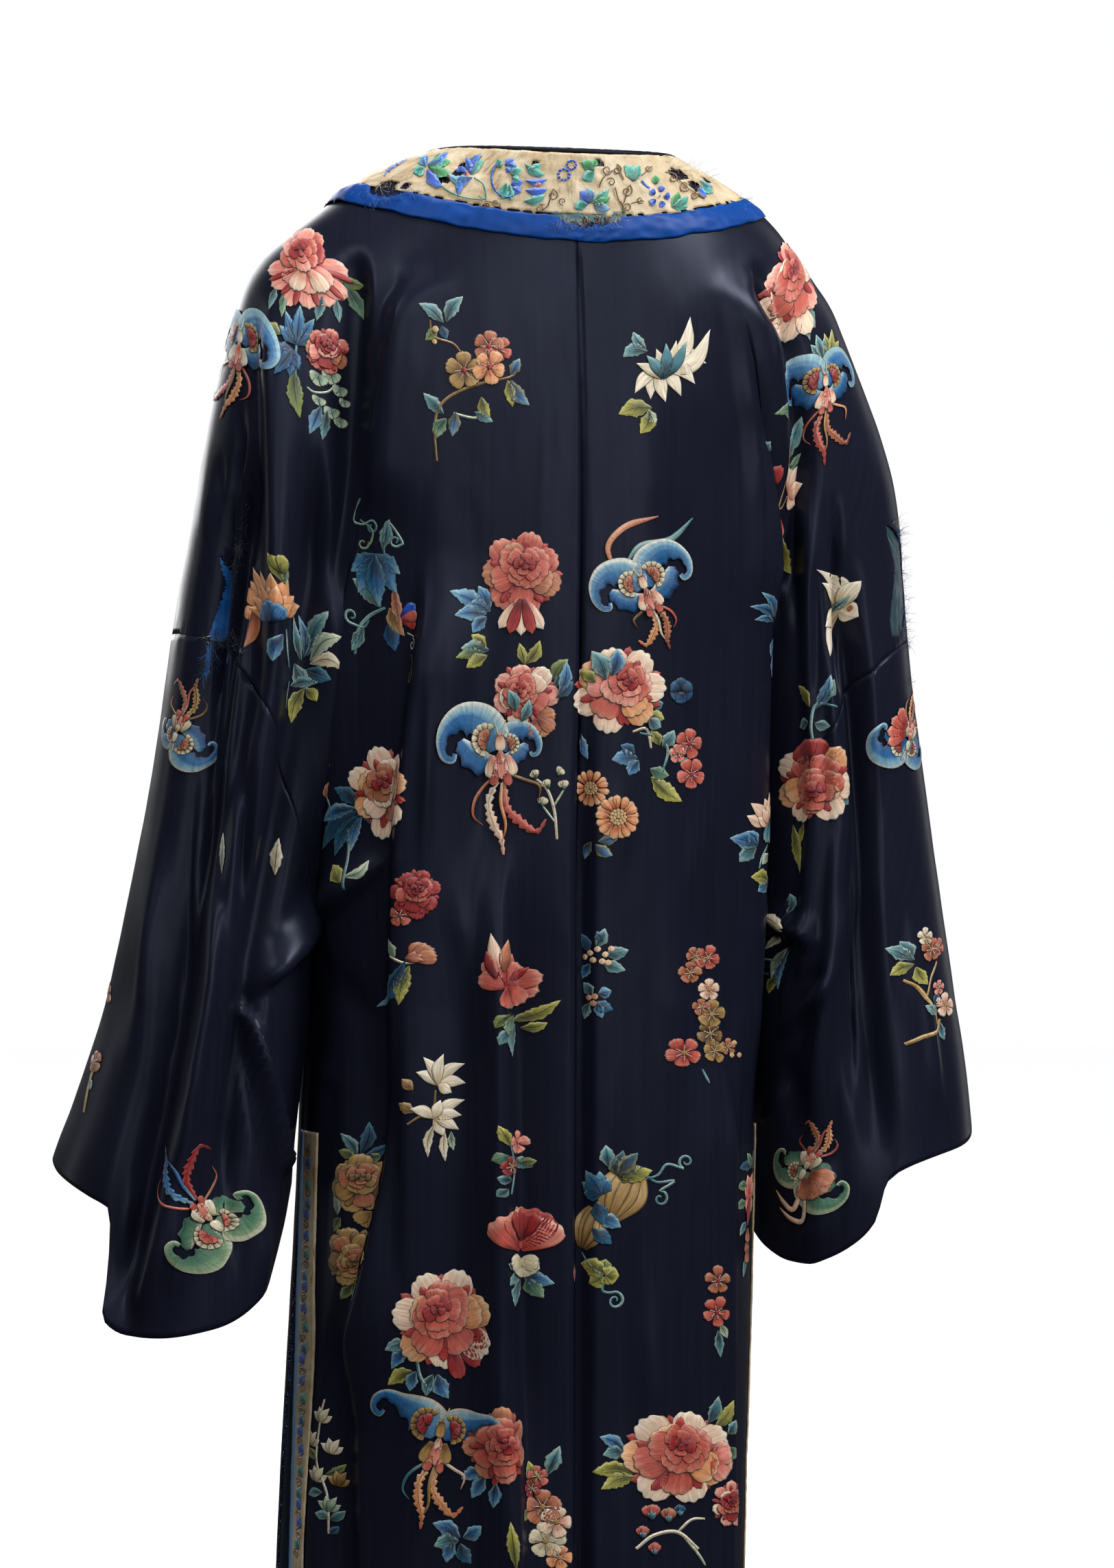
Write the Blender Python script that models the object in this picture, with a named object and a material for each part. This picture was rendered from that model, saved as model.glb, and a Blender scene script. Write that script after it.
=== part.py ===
"""A silk satin robe with wide sleeves, as it hangs on a wearer: hollow, and open down the front.

The wearer faces -Y, +X is the wearer's left, and +Z is up. The origin is the middle of the neck opening, level
with the neckline at the centre back. Every piece of cloth is read from one surface, given by how far round the
robe a point is (turn: 0 at the centre back, 0.5 at the outside of the arm, 1 at the front edge) and by how
far below the neckline it lies (drop). Sizes are in millimetres and become metres when a mesh is made.
"""

import math

import bmesh
import bpy
import numpy as np

MM = 0.001
ROBE = "silk_robe"
SIDES = ("left", "right")

# Driving sizes.
BACK_LENGTH = 1070.0
UNDERARM_DROP = 580.0
SLIT_TOP_DROP = 668.0
SLEEVE_SEAM_DROP = 372.0
SEAM_STEEPNESS = 4  # how late the sleeve seam falls to the underarm
NECK_BAND_DROP = 44.0
NECK_EDGING_DROP = 62.0
BINDING_RADIUS = 2.4
SLIT_BINDING_WIDTH = 8.0
SLIT_BAND_WIDTH = 20.0
SLIT_PIPING_WIDTH = 3.5
CUFF_FACING_WIDTH = 70.0
CLOTH = 1.6
TRIM_CLOTH = 1.2
SEAM_GAP = 0.3
UNDERARM_GAP = 3.6  # under the corner where back, front and sleeve meet

# How far round the half ring the valley between body and arm lies, and how square the rings are.
VALLEY_TURN = 0.2
BODY_SQUARENESS = 0.86
ARM_SQUARENESS = 0.94
SHOULDER_SQUARENESS = 0.93
UNDERARM_CLEARANCE = 1.9  # between the panels' side edges and the middle plane, there alone
UNDERARM_REACH = 40.0
SLIT_QUICKNESS = 0.7
FOLD_INSET = 0.0002  # parts back from front where the cloth is folded at the shoulder
ARM_INSET = 0.0001
FOLD_FACING = 1.6  # folds reach their full depth where the cloth faces within this inverse of straight back

# Panels are this many cells across and down.
BODY_BACK_CELLS = 12
BODY_FRONT_CELLS = 10
ARM_BACK_CELLS = 12
ARM_FRONT_CELLS = 8
NECK_BAND_ROWS = 2
YOKE_ROWS = 12
SLIT_ROWS = 8
SLEEVE_ROWS = 7
FACING_ROWS = 2

# How the columns are placed: on rings read at these drops, in this many small steps, with each radian of bend
# weighing as much as this many millimetres of cloth.
LEVELS = np.arange(0.0, BACK_LENGTH + 1, 20.0)
RING_STEPS = 160
BEND_WEIGHT = 9.0
STEEPEST_BEND = 0.5

FACING_SHARE = 0.3  # the facing takes no more than this share of the sleeve below its seam
TURN_LENGTH = 600.0  # about as many millimetres as a whole turn is long
RIM_ORDER = (0.37, 0.21, 1.0)  # rims are split towards the corner that is further this way
RIP_POINTS = 12
RIP_POINTEDNESS = 0.6
RIP_CUT_DEPTH = 9.0

# Colour, roughness and thickness of each cloth.
SATIN = ((0.012, 0.014, 0.030, 1.0), 0.42, CLOTH)
CREAM_SATIN = ((0.60, 0.50, 0.35, 1.0), 0.60, TRIM_CLOTH)
BLUE_SATIN = ((0.010, 0.070, 0.300, 1.0), 0.45, TRIM_CLOTH)
BLACK_SATIN = ((0.010, 0.010, 0.011, 1.0), 0.50, TRIM_CLOTH)
LINING = ((0.012, 0.050, 0.065, 1.0), 0.65, 1.0)


def table(columns, *rows):
    """A table with named columns, as arrays."""
    values = np.array(rows, float)
    return {name: values[:, i] for i, name in enumerate(columns.split())}


# The whole outline of body and arms together. side_lift and front_lift are how far the ring rises above the
# centre back's level at the side and at the front edge; merge is 1 where the cloth spans from body to arm in
# one sweep, and 0 where the valley between them has closed.
OUTLINE = table(
    "drop side_lift front_lift left right back front merge_left merge_right",
    (0, 8, -62, 82, 95, 95, 72, 1, 1),
    (30, 22, -60, 121, 130, 100, 86, 1, 1),
    (62, 33, -58, 151, 163, 104, 96, 1, 1),
    (100, 50, -54, 177, 182, 109, 104, 1, 1),
    (140, 68, -50, 200, 199, 113, 110, 0.97, 0.96),
    (180, 80, -46, 213, 216, 116, 114, 0.92, 0.88),
    (230, 80, -40, 227, 237, 117, 117, 0.84, 0.74),
    (290, 68, -32, 241, 261, 116, 118, 0.74, 0.58),
    (370, 46, -22, 258, 270, 114, 118, 0.62, 0.42),
    (470, 20, -10, 275, 286, 112, 117, 0.44, 0.24),
    (580, 0, 0, 303, 305, 110, 116, 0, 0),
)

# The body alone.
BODY = table(
    "drop left right back front",
    (0, 82, 95, 95, 72),
    (100, 124, 118, 110, 104),
    (200, 140, 131, 117, 115),
    (300, 149, 141, 116, 118),
    (400, 156, 147, 113, 117),
    (580, 163, 153, 110, 114),
    (670, 168, 152, 110, 113),
    (800, 171, 150, 108, 112),
    (940, 174, 146, 107, 112),
    (1070, 176, 145, 107, 114),
)

# The arm and sleeve alone. Inner gap is what parts them from the body.
ARM = table(
    "drop left right inner_gap back front middle",
    (0, 110, 118, 0, 50, 50, 0),
    (100, 177, 182, 0, 62, 58, 0),
    (200, 218, 224, 0, 68, 62, 0),
    (300, 243, 262, 0, 68, 64, -2),
    (400, 263, 275, 0.2, 72, 66, -4),
    (580, 303, 305, 1.0, 82, 72, -6),
    (640, 322, 315, 4.0, 88, 80, -8),
    (690, 340, 320, 7.0, 92, 86, -10),
    (740, 352, 322, 9.0, 94, 90, -10),
    (800, 366, 326, 10.0, 96, 92, -10),
)

# The cuff's hem, round the sleeve from its inner seam over the back, the outside and the front.
CUFF_LEFT = table(
    "round drop",
    (0.00, 700),
    (0.05, 704),
    (0.09, 735),
    (0.13, 773),
    (0.17, 787),
    (0.21, 794),
    (0.26, 798),
    (0.30, 796),
    (0.335, 786),
    (0.355, 713),
    (0.385, 706),
    (0.46, 694),
    (0.54, 686),
    (0.62, 700),
    (0.75, 724),
    (0.90, 712),
    (1.00, 700),
)
CUFF_RIGHT = table(
    "round drop",
    (0.00, 745),
    (0.04, 756),
    (0.09, 764),
    (0.12, 765),
    (0.15, 760),
    (0.19, 748),
    (0.215, 734),
    (0.235, 705),
    (0.28, 693),
    (0.41, 679),
    (0.44, 670),
    (0.47, 656),
    (0.52, 662),
    (0.58, 686),
    (0.65, 722),
    (0.70, 735),
    (0.80, 744),
    (1.00, 745),
)

# The slit at each side: how far the back edge turns forward and the front edge swings clear, at the hem.
SLITS = {
    "left": {"back_turn": 12.0, "front_turn": 36.0, "front_flare": 5.0},
    "right": {"back_turn": 6.0, "front_turn": 26.0, "front_flare": 2.0},
}
FRONT_GAP = table(
    "drop gap",
    (0, 14),
    (62, 13),
    (300, 10),
    (700, 14),
    (1070, 24),
)

# Folds. Places are (distance to the wearer's left of the centre, height) from top to bottom; depth is out of
# the cloth, or into it where it is negative; inward and outward are the fold's widths towards and away from
# the centre. Fade is how far it takes to begin and to end.
BACK_FOLDS = (
    {"at": ((110, -92), (120, -110), (128, -160), (133, -240)),
     "depth": 9, "inward": 34, "outward": 13, "fade": 50},
    {"at": ((147, -85), (149, -130), (150, -200), (160, -300)),
     "depth": -15, "inward": 12, "outward": 22, "fade": 50},
    {"at": ((196, -120), (202, -340), (216, -420), (244, -560), (272, -690), (291, -770)),
     "depth": 17, "inward": 30, "outward": 13, "fade": 70},
    {"at": ((214, -230), (231, -330), (246, -450), (262, -560), (290, -690), (306, -770)),
     "depth": -22, "inward": 12, "outward": 26, "fade": 80},
    {"at": ((176, -230), (189, -360), (200, -450), (222, -560), (236, -690)),
     "depth": -14, "inward": 20, "outward": 15, "fade": 80},
    {"at": ((163, -220), (161, -330), (170, -450)),
     "depth": 8, "inward": 22, "outward": 14, "fade": 70},
    {"at": ((103, -315), (117, -470), (120, -640), (134, -755), (150, -830)),
     "depth": 17, "inward": 52, "outward": 9, "fade": 90},
    {"at": ((158, -800), (156, -900), (153, -1070)),
     "depth": -14, "inward": 16, "outward": 16, "fade": 60},
    {"at": ((52, -520), (49, -640), (46, -780), (40, -1070)),
     "depth": 14, "inward": 9, "outward": 34, "fade": 120},
    {"at": ((-4, -420), (-4, -700), (-4, -1070)),
     "depth": -11, "inward": 10, "outward": 9, "fade": 160},
    {"at": ((-124, -90), (-142, -130), (-152, -200), (-150, -300)),
     "depth": 9, "inward": 36, "outward": 12, "fade": 50},
    {"at": ((-140, -85), (-160, -130), (-168, -209), (-162, -300)),
     "depth": -14, "inward": 11, "outward": 20, "fade": 50},
    {"at": ((-139, -220), (-146, -350), (-148, -500), (-151, -620)),
     "depth": 8, "inward": 40, "outward": 8, "fade": 90},
    {"at": ((-176, -240), (-182, -330), (-186, -450), (-180, -560)),
     "depth": 12, "inward": 10, "outward": 16, "fade": 70},
    {"at": ((-206, -300), (-214, -400), (-217, -520), (-224, -670)),
     "depth": -16, "inward": 20, "outward": 16, "fade": 90},
    {"at": ((-200, -360), (-207, -500), (-194, -570), (-184, -660)),
     "depth": 12, "inward": 15, "outward": 12, "fade": 80},
    {"at": ((-108, -640), (-112, -760), (-114, -880), (-112, -1070)),
     "depth": 9, "inward": 44, "outward": 12, "fade": 90},
)
FRONT_FOLDS = (
    {"at": ((92, -150), (98, -400), (104, -700), (110, -1070)),
     "depth": 12, "inward": 24, "outward": 14, "fade": 110},
    {"at": ((128, -120), (136, -300), (140, -480)),
     "depth": -14, "inward": 16, "outward": 18, "fade": 60},
    {"at": ((176, -160), (188, -400), (214, -600), (228, -760)),
     "depth": 12, "inward": 20, "outward": 16, "fade": 80},
    {"at": ((214, -240), (228, -420), (262, -620), (280, -720)),
     "depth": -12, "inward": 14, "outward": 18, "fade": 90},
    {"at": ((52, -300), (56, -600), (62, -1070)),
     "depth": -10, "inward": 18, "outward": 14, "fade": 130},
    {"at": ((146, -720), (150, -1070)),
     "depth": -9, "inward": 14, "outward": 16, "fade": 70},
    {"at": ((-92, -150), (-90, -400), (-96, -700), (-98, -1070)),
     "depth": 12, "inward": 26, "outward": 12, "fade": 110},
    {"at": ((-130, -120), (-132, -300), (-136, -480)),
     "depth": -14, "inward": 16, "outward": 18, "fade": 60},
    {"at": ((-172, -160), (-190, -400), (-206, -600), (-216, -720)),
     "depth": 11, "inward": 20, "outward": 16, "fade": 80},
    {"at": ((-214, -240), (-228, -420), (-246, -620), (-254, -700)),
     "depth": -11, "inward": 14, "outward": 18, "fade": 90},
    {"at": ((-54, -340), (-52, -600), (-58, -1070)),
     "depth": -9, "inward": 16, "outward": 16, "fade": 130},
)

# Rips, cut through the wall over a patch of lining. Long is down the cloth and wide is across it.
RIPS = (
    {"name": "left_upper", "wall": "back_left", "turn": 0.352, "drop": 346, "long": 46, "wide": 9},
    {"name": "left_lower", "wall": "sleeve_back_left", "turn": 0.362, "drop": 391, "long": 26, "wide": 6},
    {"name": "right", "wall": "back_right", "turn": 0.470, "drop": 338, "long": 62, "wide": 22},
)


def between(x, knots, values):
    """A smooth curve through the table's values, with no overshoot, at x."""
    x = np.clip(np.asarray(x, float), knots[0], knots[-1])
    step = np.diff(knots)
    rise = np.diff(values) / step
    slope = np.zeros(len(knots))
    same = rise[:-1] * rise[1:] > 0
    slope[1:-1][same] = 2 * rise[:-1][same] * rise[1:][same] / (rise[:-1][same] + rise[1:][same])
    slope[0], slope[-1] = rise[0], rise[-1]
    i = np.clip(np.searchsorted(knots, x, side="right") - 1, 0, len(step) - 1)
    t = (x - knots[i]) / step[i]
    h = step[i]
    return (
        values[i] * (1 + 2 * t) * (1 - t) ** 2
        + slope[i] * h * t * (1 - t) ** 2
        + values[i + 1] * t * t * (3 - 2 * t)
        - slope[i + 1] * h * t * t * (1 - t)
    )


def read(rows, column, drop):
    return between(drop, rows["drop"], rows[column])


def ease(x):
    """0 to 1 as x goes from 0 to 1, with soft ends."""
    x = np.clip(x, 0, 1)
    return x * x * (3 - 2 * x)


def corner(angle, squareness):
    """(out to the side, back) on a unit ring: angle 0 is straight back and half a turn straight forward."""
    out, back = np.sin(angle), np.cos(angle)
    return np.abs(out) ** squareness, np.sign(back) * np.abs(back) ** squareness


def one_sweep(side, turn, drop):
    """Body and arm under one sweep of cloth."""
    out, back = corner(math.pi * turn, SHOULDER_SQUARENESS)
    half = read(OUTLINE, side, drop)
    inset = np.where(turn < 0.5, SEAM_GAP / 2, read(FRONT_GAP, "gap", drop))
    depth = np.where(back > 0, read(OUTLINE, "back", drop), read(OUTLINE, "front", drop))
    return inset + (half - inset) * out, depth * back


def body_alone(side, turn, drop):
    """The body's own ring. The panels' side edges are a seam apart, and part below the slit's top."""
    slit = SLITS[side]
    open_share = ease((drop - SLIT_TOP_DROP) / (BACK_LENGTH - SLIT_TOP_DROP)) ** SLIT_QUICKNESS
    near_underarm = ease(1 - np.abs(drop - UNDERARM_DROP) / UNDERARM_REACH)
    closed = SEAM_GAP / 2 + (UNDERARM_CLEARANCE - SEAM_GAP / 2) * near_underarm
    is_back = turn < 0.5
    share = np.clip(np.where(is_back, turn, 1 - turn) / VALLEY_TURN, 0, 1)
    out, along = corner(math.pi / 2 * share, BODY_SQUARENESS)
    inset = np.where(is_back, SEAM_GAP / 2, read(FRONT_GAP, "gap", drop))
    half = read(BODY, side, drop) + np.where(is_back, 0, slit["front_flare"] * open_share)
    swing = np.where(is_back, slit["back_turn"], slit["front_turn"]) * open_share
    edge = np.where(is_back, closed, -closed) - swing
    depth = np.where(is_back, read(BODY, "back", drop), -read(BODY, "front", drop))
    return inset + (half - inset) * out, edge + (depth - edge) * along


def arm_alone(side, turn, drop):
    """The sleeve's own ring, from its inner seam round the back, the outside and the front."""
    part_round = (turn - VALLEY_TURN) / (1 - 2 * VALLEY_TURN)
    angle = math.pi * (1 - 2 * np.clip(part_round, 0, 1))
    inner = read(BODY, side, drop) + read(ARM, "inner_gap", drop)
    outer = read(ARM, side, drop)
    depth = np.where(angle > 0, read(ARM, "back", drop), read(ARM, "front", drop))
    middle = read(ARM, "middle", drop)
    along, across = corner(angle, ARM_SQUARENESS)
    y = middle + (SEAM_GAP / 2 + depth * along) * np.where(angle > 0, 1, -1)
    return (inner + outer) / 2 + (outer - inner) / 2 * across, y


def plain_ring(side, turn, drop):
    """(out to the side, back) with no folds."""
    merge = read(OUTLINE, "merge_" + side, drop)
    in_arm = np.abs(turn - 0.5) < 0.5 - VALLEY_TURN
    x, y = one_sweep(side, turn, drop)
    body_x, body_y = body_alone(side, turn, drop)
    arm_x, arm_y = arm_alone(side, turn, drop)
    own_x = np.where(in_arm, arm_x, body_x)
    own_y = np.where(in_arm, arm_y, body_y)
    return merge * x + (1 - merge) * own_x, merge * y + (1 - merge) * own_y


def height(turn, drop):
    """The rings dip and rise near the neck, and lie level lower down."""
    side_share = np.sin(math.pi * turn) ** 2
    front_share = np.where(turn > 0.5, 1 - side_share, 0)
    lift = side_share * read(OUTLINE, "side_lift", drop) + front_share * read(OUTLINE, "front_lift", drop)
    return lift - drop


def fold_depth(folds, x, z):
    """How far the folds of one face move the cloth out, at x to the wearer's left and height z."""
    total = np.zeros(np.shape(x))
    for fold in folds:
        places = np.array(fold["at"][::-1], float)
        line = between(z, places[:, 1], places[:, 0])
        top, low = places[-1, 1], places[0, 1]
        reach = ease((top + fold["fade"] / 2 - z) / fold["fade"])
        if low > -BACK_LENGTH:
            reach = reach * ease((z - low + fold["fade"] / 2) / fold["fade"])
        outer_side = (x - line) * np.where(line < 0, -1, 1) > 0
        width = np.where(outer_side, fold["outward"], fold["inward"])
        share = np.clip(np.abs(x - line) / width, 0, 1)
        total = total + fold["depth"] * reach * (1 + np.cos(math.pi * share)) / 2
    return total


def either_side(turn, step):
    """The turns a step behind and ahead, on the same stretch of the ring: body back, arm or body front."""
    in_arm = np.abs(turn - 0.5) < 0.5 - VALLEY_TURN
    low = np.where(in_arm, VALLEY_TURN + ARM_INSET, np.where(turn < 0.5, 0, 1 - VALLEY_TURN))
    high = np.where(in_arm, 1 - VALLEY_TURN - ARM_INSET, np.where(turn < 0.5, VALLEY_TURN, 1))
    return np.maximum(turn - step, low), np.minimum(turn + step, high)


def surface(side, turn, drop):
    """Points of the robe's outer face, in millimetres, as an array with a last axis of 3."""
    turn, drop = np.broadcast_arrays(np.asarray(turn, float), np.asarray(drop, float))
    sign = 1 if side == "left" else -1
    x, y = plain_ring(side, turn, drop)
    z = height(turn, drop)
    behind, ahead = either_side(turn, 0.002)
    ahead_x, ahead_y = plain_ring(side, ahead, drop)
    behind_x, behind_y = plain_ring(side, behind, drop)
    out_x, out_y = behind_y - ahead_y, ahead_x - behind_x
    length = np.maximum(np.hypot(out_x, out_y), 1e-6)
    out_x, out_y = out_x / length, out_y / length
    to_back = ease(out_y * FOLD_FACING) * (turn <= 0.5)
    to_front = ease(-out_y * FOLD_FACING) * (turn > 0.5)
    depth = to_back * fold_depth(BACK_FOLDS, sign * x, z)
    depth += to_front * fold_depth(FRONT_FOLDS, sign * x, z)
    return np.stack([sign * (x + depth * out_x), y + depth * out_y, z], axis=-1)


def outward(side, turn, drop):
    """Unit vectors out of the cloth."""
    turn, drop = np.broadcast_arrays(np.asarray(turn, float), np.asarray(drop, float))
    behind, ahead = either_side(turn, 0.003)
    across = surface(side, ahead, drop) - surface(side, behind, drop)
    down = surface(side, turn, drop + 2.0) - surface(side, turn, np.maximum(drop - 2.0, 0))
    normal = np.cross(across, down) * (1 if side == "left" else -1)
    normal[turn < 1e-9] *= (0, 1, 1)
    return normal / np.maximum(np.linalg.norm(normal, axis=-1, keepdims=True), 1e-9)


def column_turns(side, stations, cells):
    """The turns of the columns, a row for each of LEVELS: closer together where the cloth bends.

    Stations are the turns that bound each stretch, each a number or one value a level, and cells is how many
    columns lie in each stretch.
    """
    bounds = [np.broadcast_to(station, LEVELS.shape) for station in stations]
    columns = [bounds[0]]
    for low, high, count in zip(bounds, bounds[1:], cells):
        share = np.linspace(0, 1, RING_STEPS + 1)
        fine = low[:, None] + (high - low)[:, None] * share
        ring = surface(side, fine, LEVELS[:, None])
        step = np.diff(ring, axis=1)
        heading = np.unwrap(np.arctan2(step[..., 1], step[..., 0]), axis=1)
        bend = np.minimum(np.abs(np.gradient(heading, axis=1)), STEEPEST_BEND)
        weight = np.linalg.norm(step, axis=2) + BEND_WEIGHT * bend
        for _ in range(3):
            above = np.vstack([weight[:1], weight[:-1]])
            below = np.vstack([weight[1:], weight[-1:]])
            weight = (above + weight + below) / 3
        sums = np.cumsum(np.hstack([np.zeros((len(LEVELS), 1)), weight]), axis=1)
        for wanted in np.linspace(0, 1, count + 1)[1:]:
            rows = [np.interp(wanted * total[-1], total, turns) for total, turns in zip(sums, fine)]
            columns.append(np.array(rows))
    return np.array(columns).T


def turns_at(columns, drop):
    """The columns' turns at these drops: one drop for each column, or one for all."""
    drop = np.broadcast_to(drop, (columns.shape[1],))
    return np.array([np.interp(d, LEVELS, columns[:, j]) for j, d in enumerate(drop)])


def turn_from_slit(side, width, drop):
    """The turn on the back that lies this far round from the slit's edge."""
    turns = np.linspace(VALLEY_TURN, VALLEY_TURN / 3, 200)
    steps = np.linalg.norm(np.diff(surface(side, turns, drop), axis=0), axis=1)
    return np.interp(width, np.concatenate([[0], np.cumsum(steps)]), turns)


def slit_station(side, width):
    """One turn for each of LEVELS, this far from the slit: measured below the underarm, and carried on up."""
    return np.array([turn_from_slit(side, width, max(drop, UNDERARM_DROP)) for drop in LEVELS])


def sleeve_seam_drop(turn):
    """The seam of the lower sleeve runs level round the arm, then falls to the underarm in the valley."""
    part = np.clip((0.5 - np.abs(turn - 0.5) - VALLEY_TURN) / (0.5 - VALLEY_TURN), 0, 1)
    return SLEEVE_SEAM_DROP + (UNDERARM_DROP - SLEEVE_SEAM_DROP) * (1 - part) ** SEAM_STEEPNESS


def cuff_drop(side, turn):
    rows = CUFF_LEFT if side == "left" else CUFF_RIGHT
    return between((turn - VALLEY_TURN) / (1 - 2 * VALLEY_TURN), rows["round"], rows["drop"])


def arm_columns(side, face):
    """The arm's share of a panel's columns, which its lower sleeve carries on."""
    if face == "back":
        return column_turns(side, (VALLEY_TURN + ARM_INSET, 0.5 - FOLD_INSET), (ARM_BACK_CELLS,))
    return column_turns(side, (0.5 + FOLD_INSET, 1 - VALLEY_TURN - ARM_INSET), (ARM_FRONT_CELLS,))


def body_columns(side, face):
    """The body's share. The back's last columns are the edges of the borders beside the slit."""
    if face == "front":
        return column_turns(side, (1 - VALLEY_TURN, 1.0), (BODY_FRONT_CELLS,))
    band_edge = SLIT_BINDING_WIDTH + SLIT_BAND_WIDTH
    widths = (band_edge + SLIT_PIPING_WIDTH, band_edge, SLIT_BINDING_WIDTH)
    stations = [slit_station(side, width) for width in widths]
    return column_turns(side, (0.0, *stations, VALLEY_TURN), (BODY_BACK_CELLS, 1, 2, 1))


def seam_points(columns):
    """The (turn, drop) at which each arm column meets the seam between upper and lower sleeve."""
    drop = np.full(columns.shape[1], UNDERARM_DROP)
    for _ in range(8):
        turn = turns_at(columns, drop)
        drop = sleeve_seam_drop(turn)
    return turn, drop


def seam_gap(side, turn, low):
    """How far straight down the lower sleeve starts, so that it's a seam's gap away on steep stretches too."""
    across = np.linalg.norm(np.diff(surface(side, turn, low), axis=0)[:, :2], axis=1)
    slope = np.abs(np.diff(low)) / across
    steepest = np.maximum(np.append(slope, 0), np.insert(slope, 0, 0))
    return np.where(low < UNDERARM_DROP - 1, 1.5 * SEAM_GAP * np.hypot(1, steepest), UNDERARM_GAP)


def neck_drops():
    return [*np.linspace(0, NECK_BAND_DROP, NECK_BAND_ROWS + 1), NECK_EDGING_DROP]


def skirt_drops():
    below = np.linspace(SLIT_TOP_DROP, BACK_LENGTH, SLIT_ROWS + 1)
    return [(UNDERARM_DROP + SLIT_TOP_DROP) / 2, *below]


def panel_grid(side, face):
    """The (turn, drop) grid of a panel: body columns run to the hem, arm columns to the sleeve seam."""
    arm, body = arm_columns(side, face), body_columns(side, face)
    arm_low = seam_points(arm)
    body_low = turns_at(body, UNDERARM_DROP), np.full(body.shape[1], UNDERARM_DROP)
    top = neck_drops()
    rows = []
    for step in range(len(top) + YOKE_ROWS):
        share = max(0.0, (step + 1 - len(top)) / YOKE_ROWS)
        parts = []
        for columns, (turn, low) in ((body, body_low), (arm, arm_low)):
            drop = np.full(len(low), top[step]) if step < len(top) else top[-1] + (low - top[-1]) * share
            here = turn if share == 1 else turns_at(columns, drop)
            parts.append(np.stack([here, drop], axis=-1))
        if face == "front":
            parts.reverse()
        rows.append(np.concatenate(parts))
    for drop in skirt_drops():
        skirt = np.stack([turns_at(body, drop), np.full(body.shape[1], drop)], axis=-1)
        blank = np.full((arm.shape[1], 2), np.nan)
        rows.append(np.concatenate([skirt, blank] if face == "back" else [blank, skirt]))
    return np.array(rows)


def sleeve_grid(side, face):
    """The (turn, drop) grid of half a lower sleeve, from its seam to the cuff."""
    columns = arm_columns(side, face)
    turn, low = seam_points(columns)
    top = low + seam_gap(side, turn, low)
    rows = [np.stack([turn, top], axis=-1)]
    for step in range(1, SLEEVE_ROWS + FACING_ROWS + 1):
        for _ in range(6):
            cuff = cuff_drop(side, turn)
            facing_top = cuff - np.minimum(CUFF_FACING_WIDTH, FACING_SHARE * (cuff - top))
            if step <= SLEEVE_ROWS:
                drop = top + (facing_top - top) * step / SLEEVE_ROWS
            else:
                drop = facing_top + (cuff - facing_top) * (step - SLEEVE_ROWS) / FACING_ROWS
            turn = turns_at(columns, drop)
        rows.append(np.stack([turn, drop], axis=-1))
    return np.array(rows)


def material(name, colour, roughness):
    made = bpy.data.materials.get(name) or bpy.data.materials.new(name)
    made.use_nodes = True
    shader = made.node_tree.nodes["Principled BSDF"]
    shader.inputs["Base Color"].default_value = colour
    shader.inputs["Roughness"].default_value = roughness
    shader.inputs["Metallic"].default_value = 0.0
    return made


def rim_edges(faces):
    """The edges that only one face has, each in the direction of its face."""
    once = {}
    for face in faces:
        for a, b in zip(face, face[1:] + face[:1]):
            if once.pop((b, a), None) is None:
                once[(a, b)] = True
    return list(once)


def points_of(side, grid):
    """(base, normal) of a (turn, drop) grid, with columns from the wearer's right to left; NaN stays NaN."""
    missing = np.isnan(grid[..., 0])
    turn, drop = np.where(missing, 0.3, grid[..., 0]), np.where(missing, 100, grid[..., 1])
    base, normal = surface(side, turn, drop), outward(side, turn, drop)
    base[missing] = np.nan
    if side == "right":
        return base[:, ::-1], normal[:, ::-1]
    return base, normal


def sleeve_sheet(side, face):
    """Half a lower sleeve's points. Its top edge has the panel's own normals, so their walls end parallel."""
    base, normal = points_of(side, sleeve_grid(side, face))
    seam = np.stack(seam_points(arm_columns(side, face)), axis=-1)
    normal[0] = points_of(side, seam[None])[1][0]
    return base, normal


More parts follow.
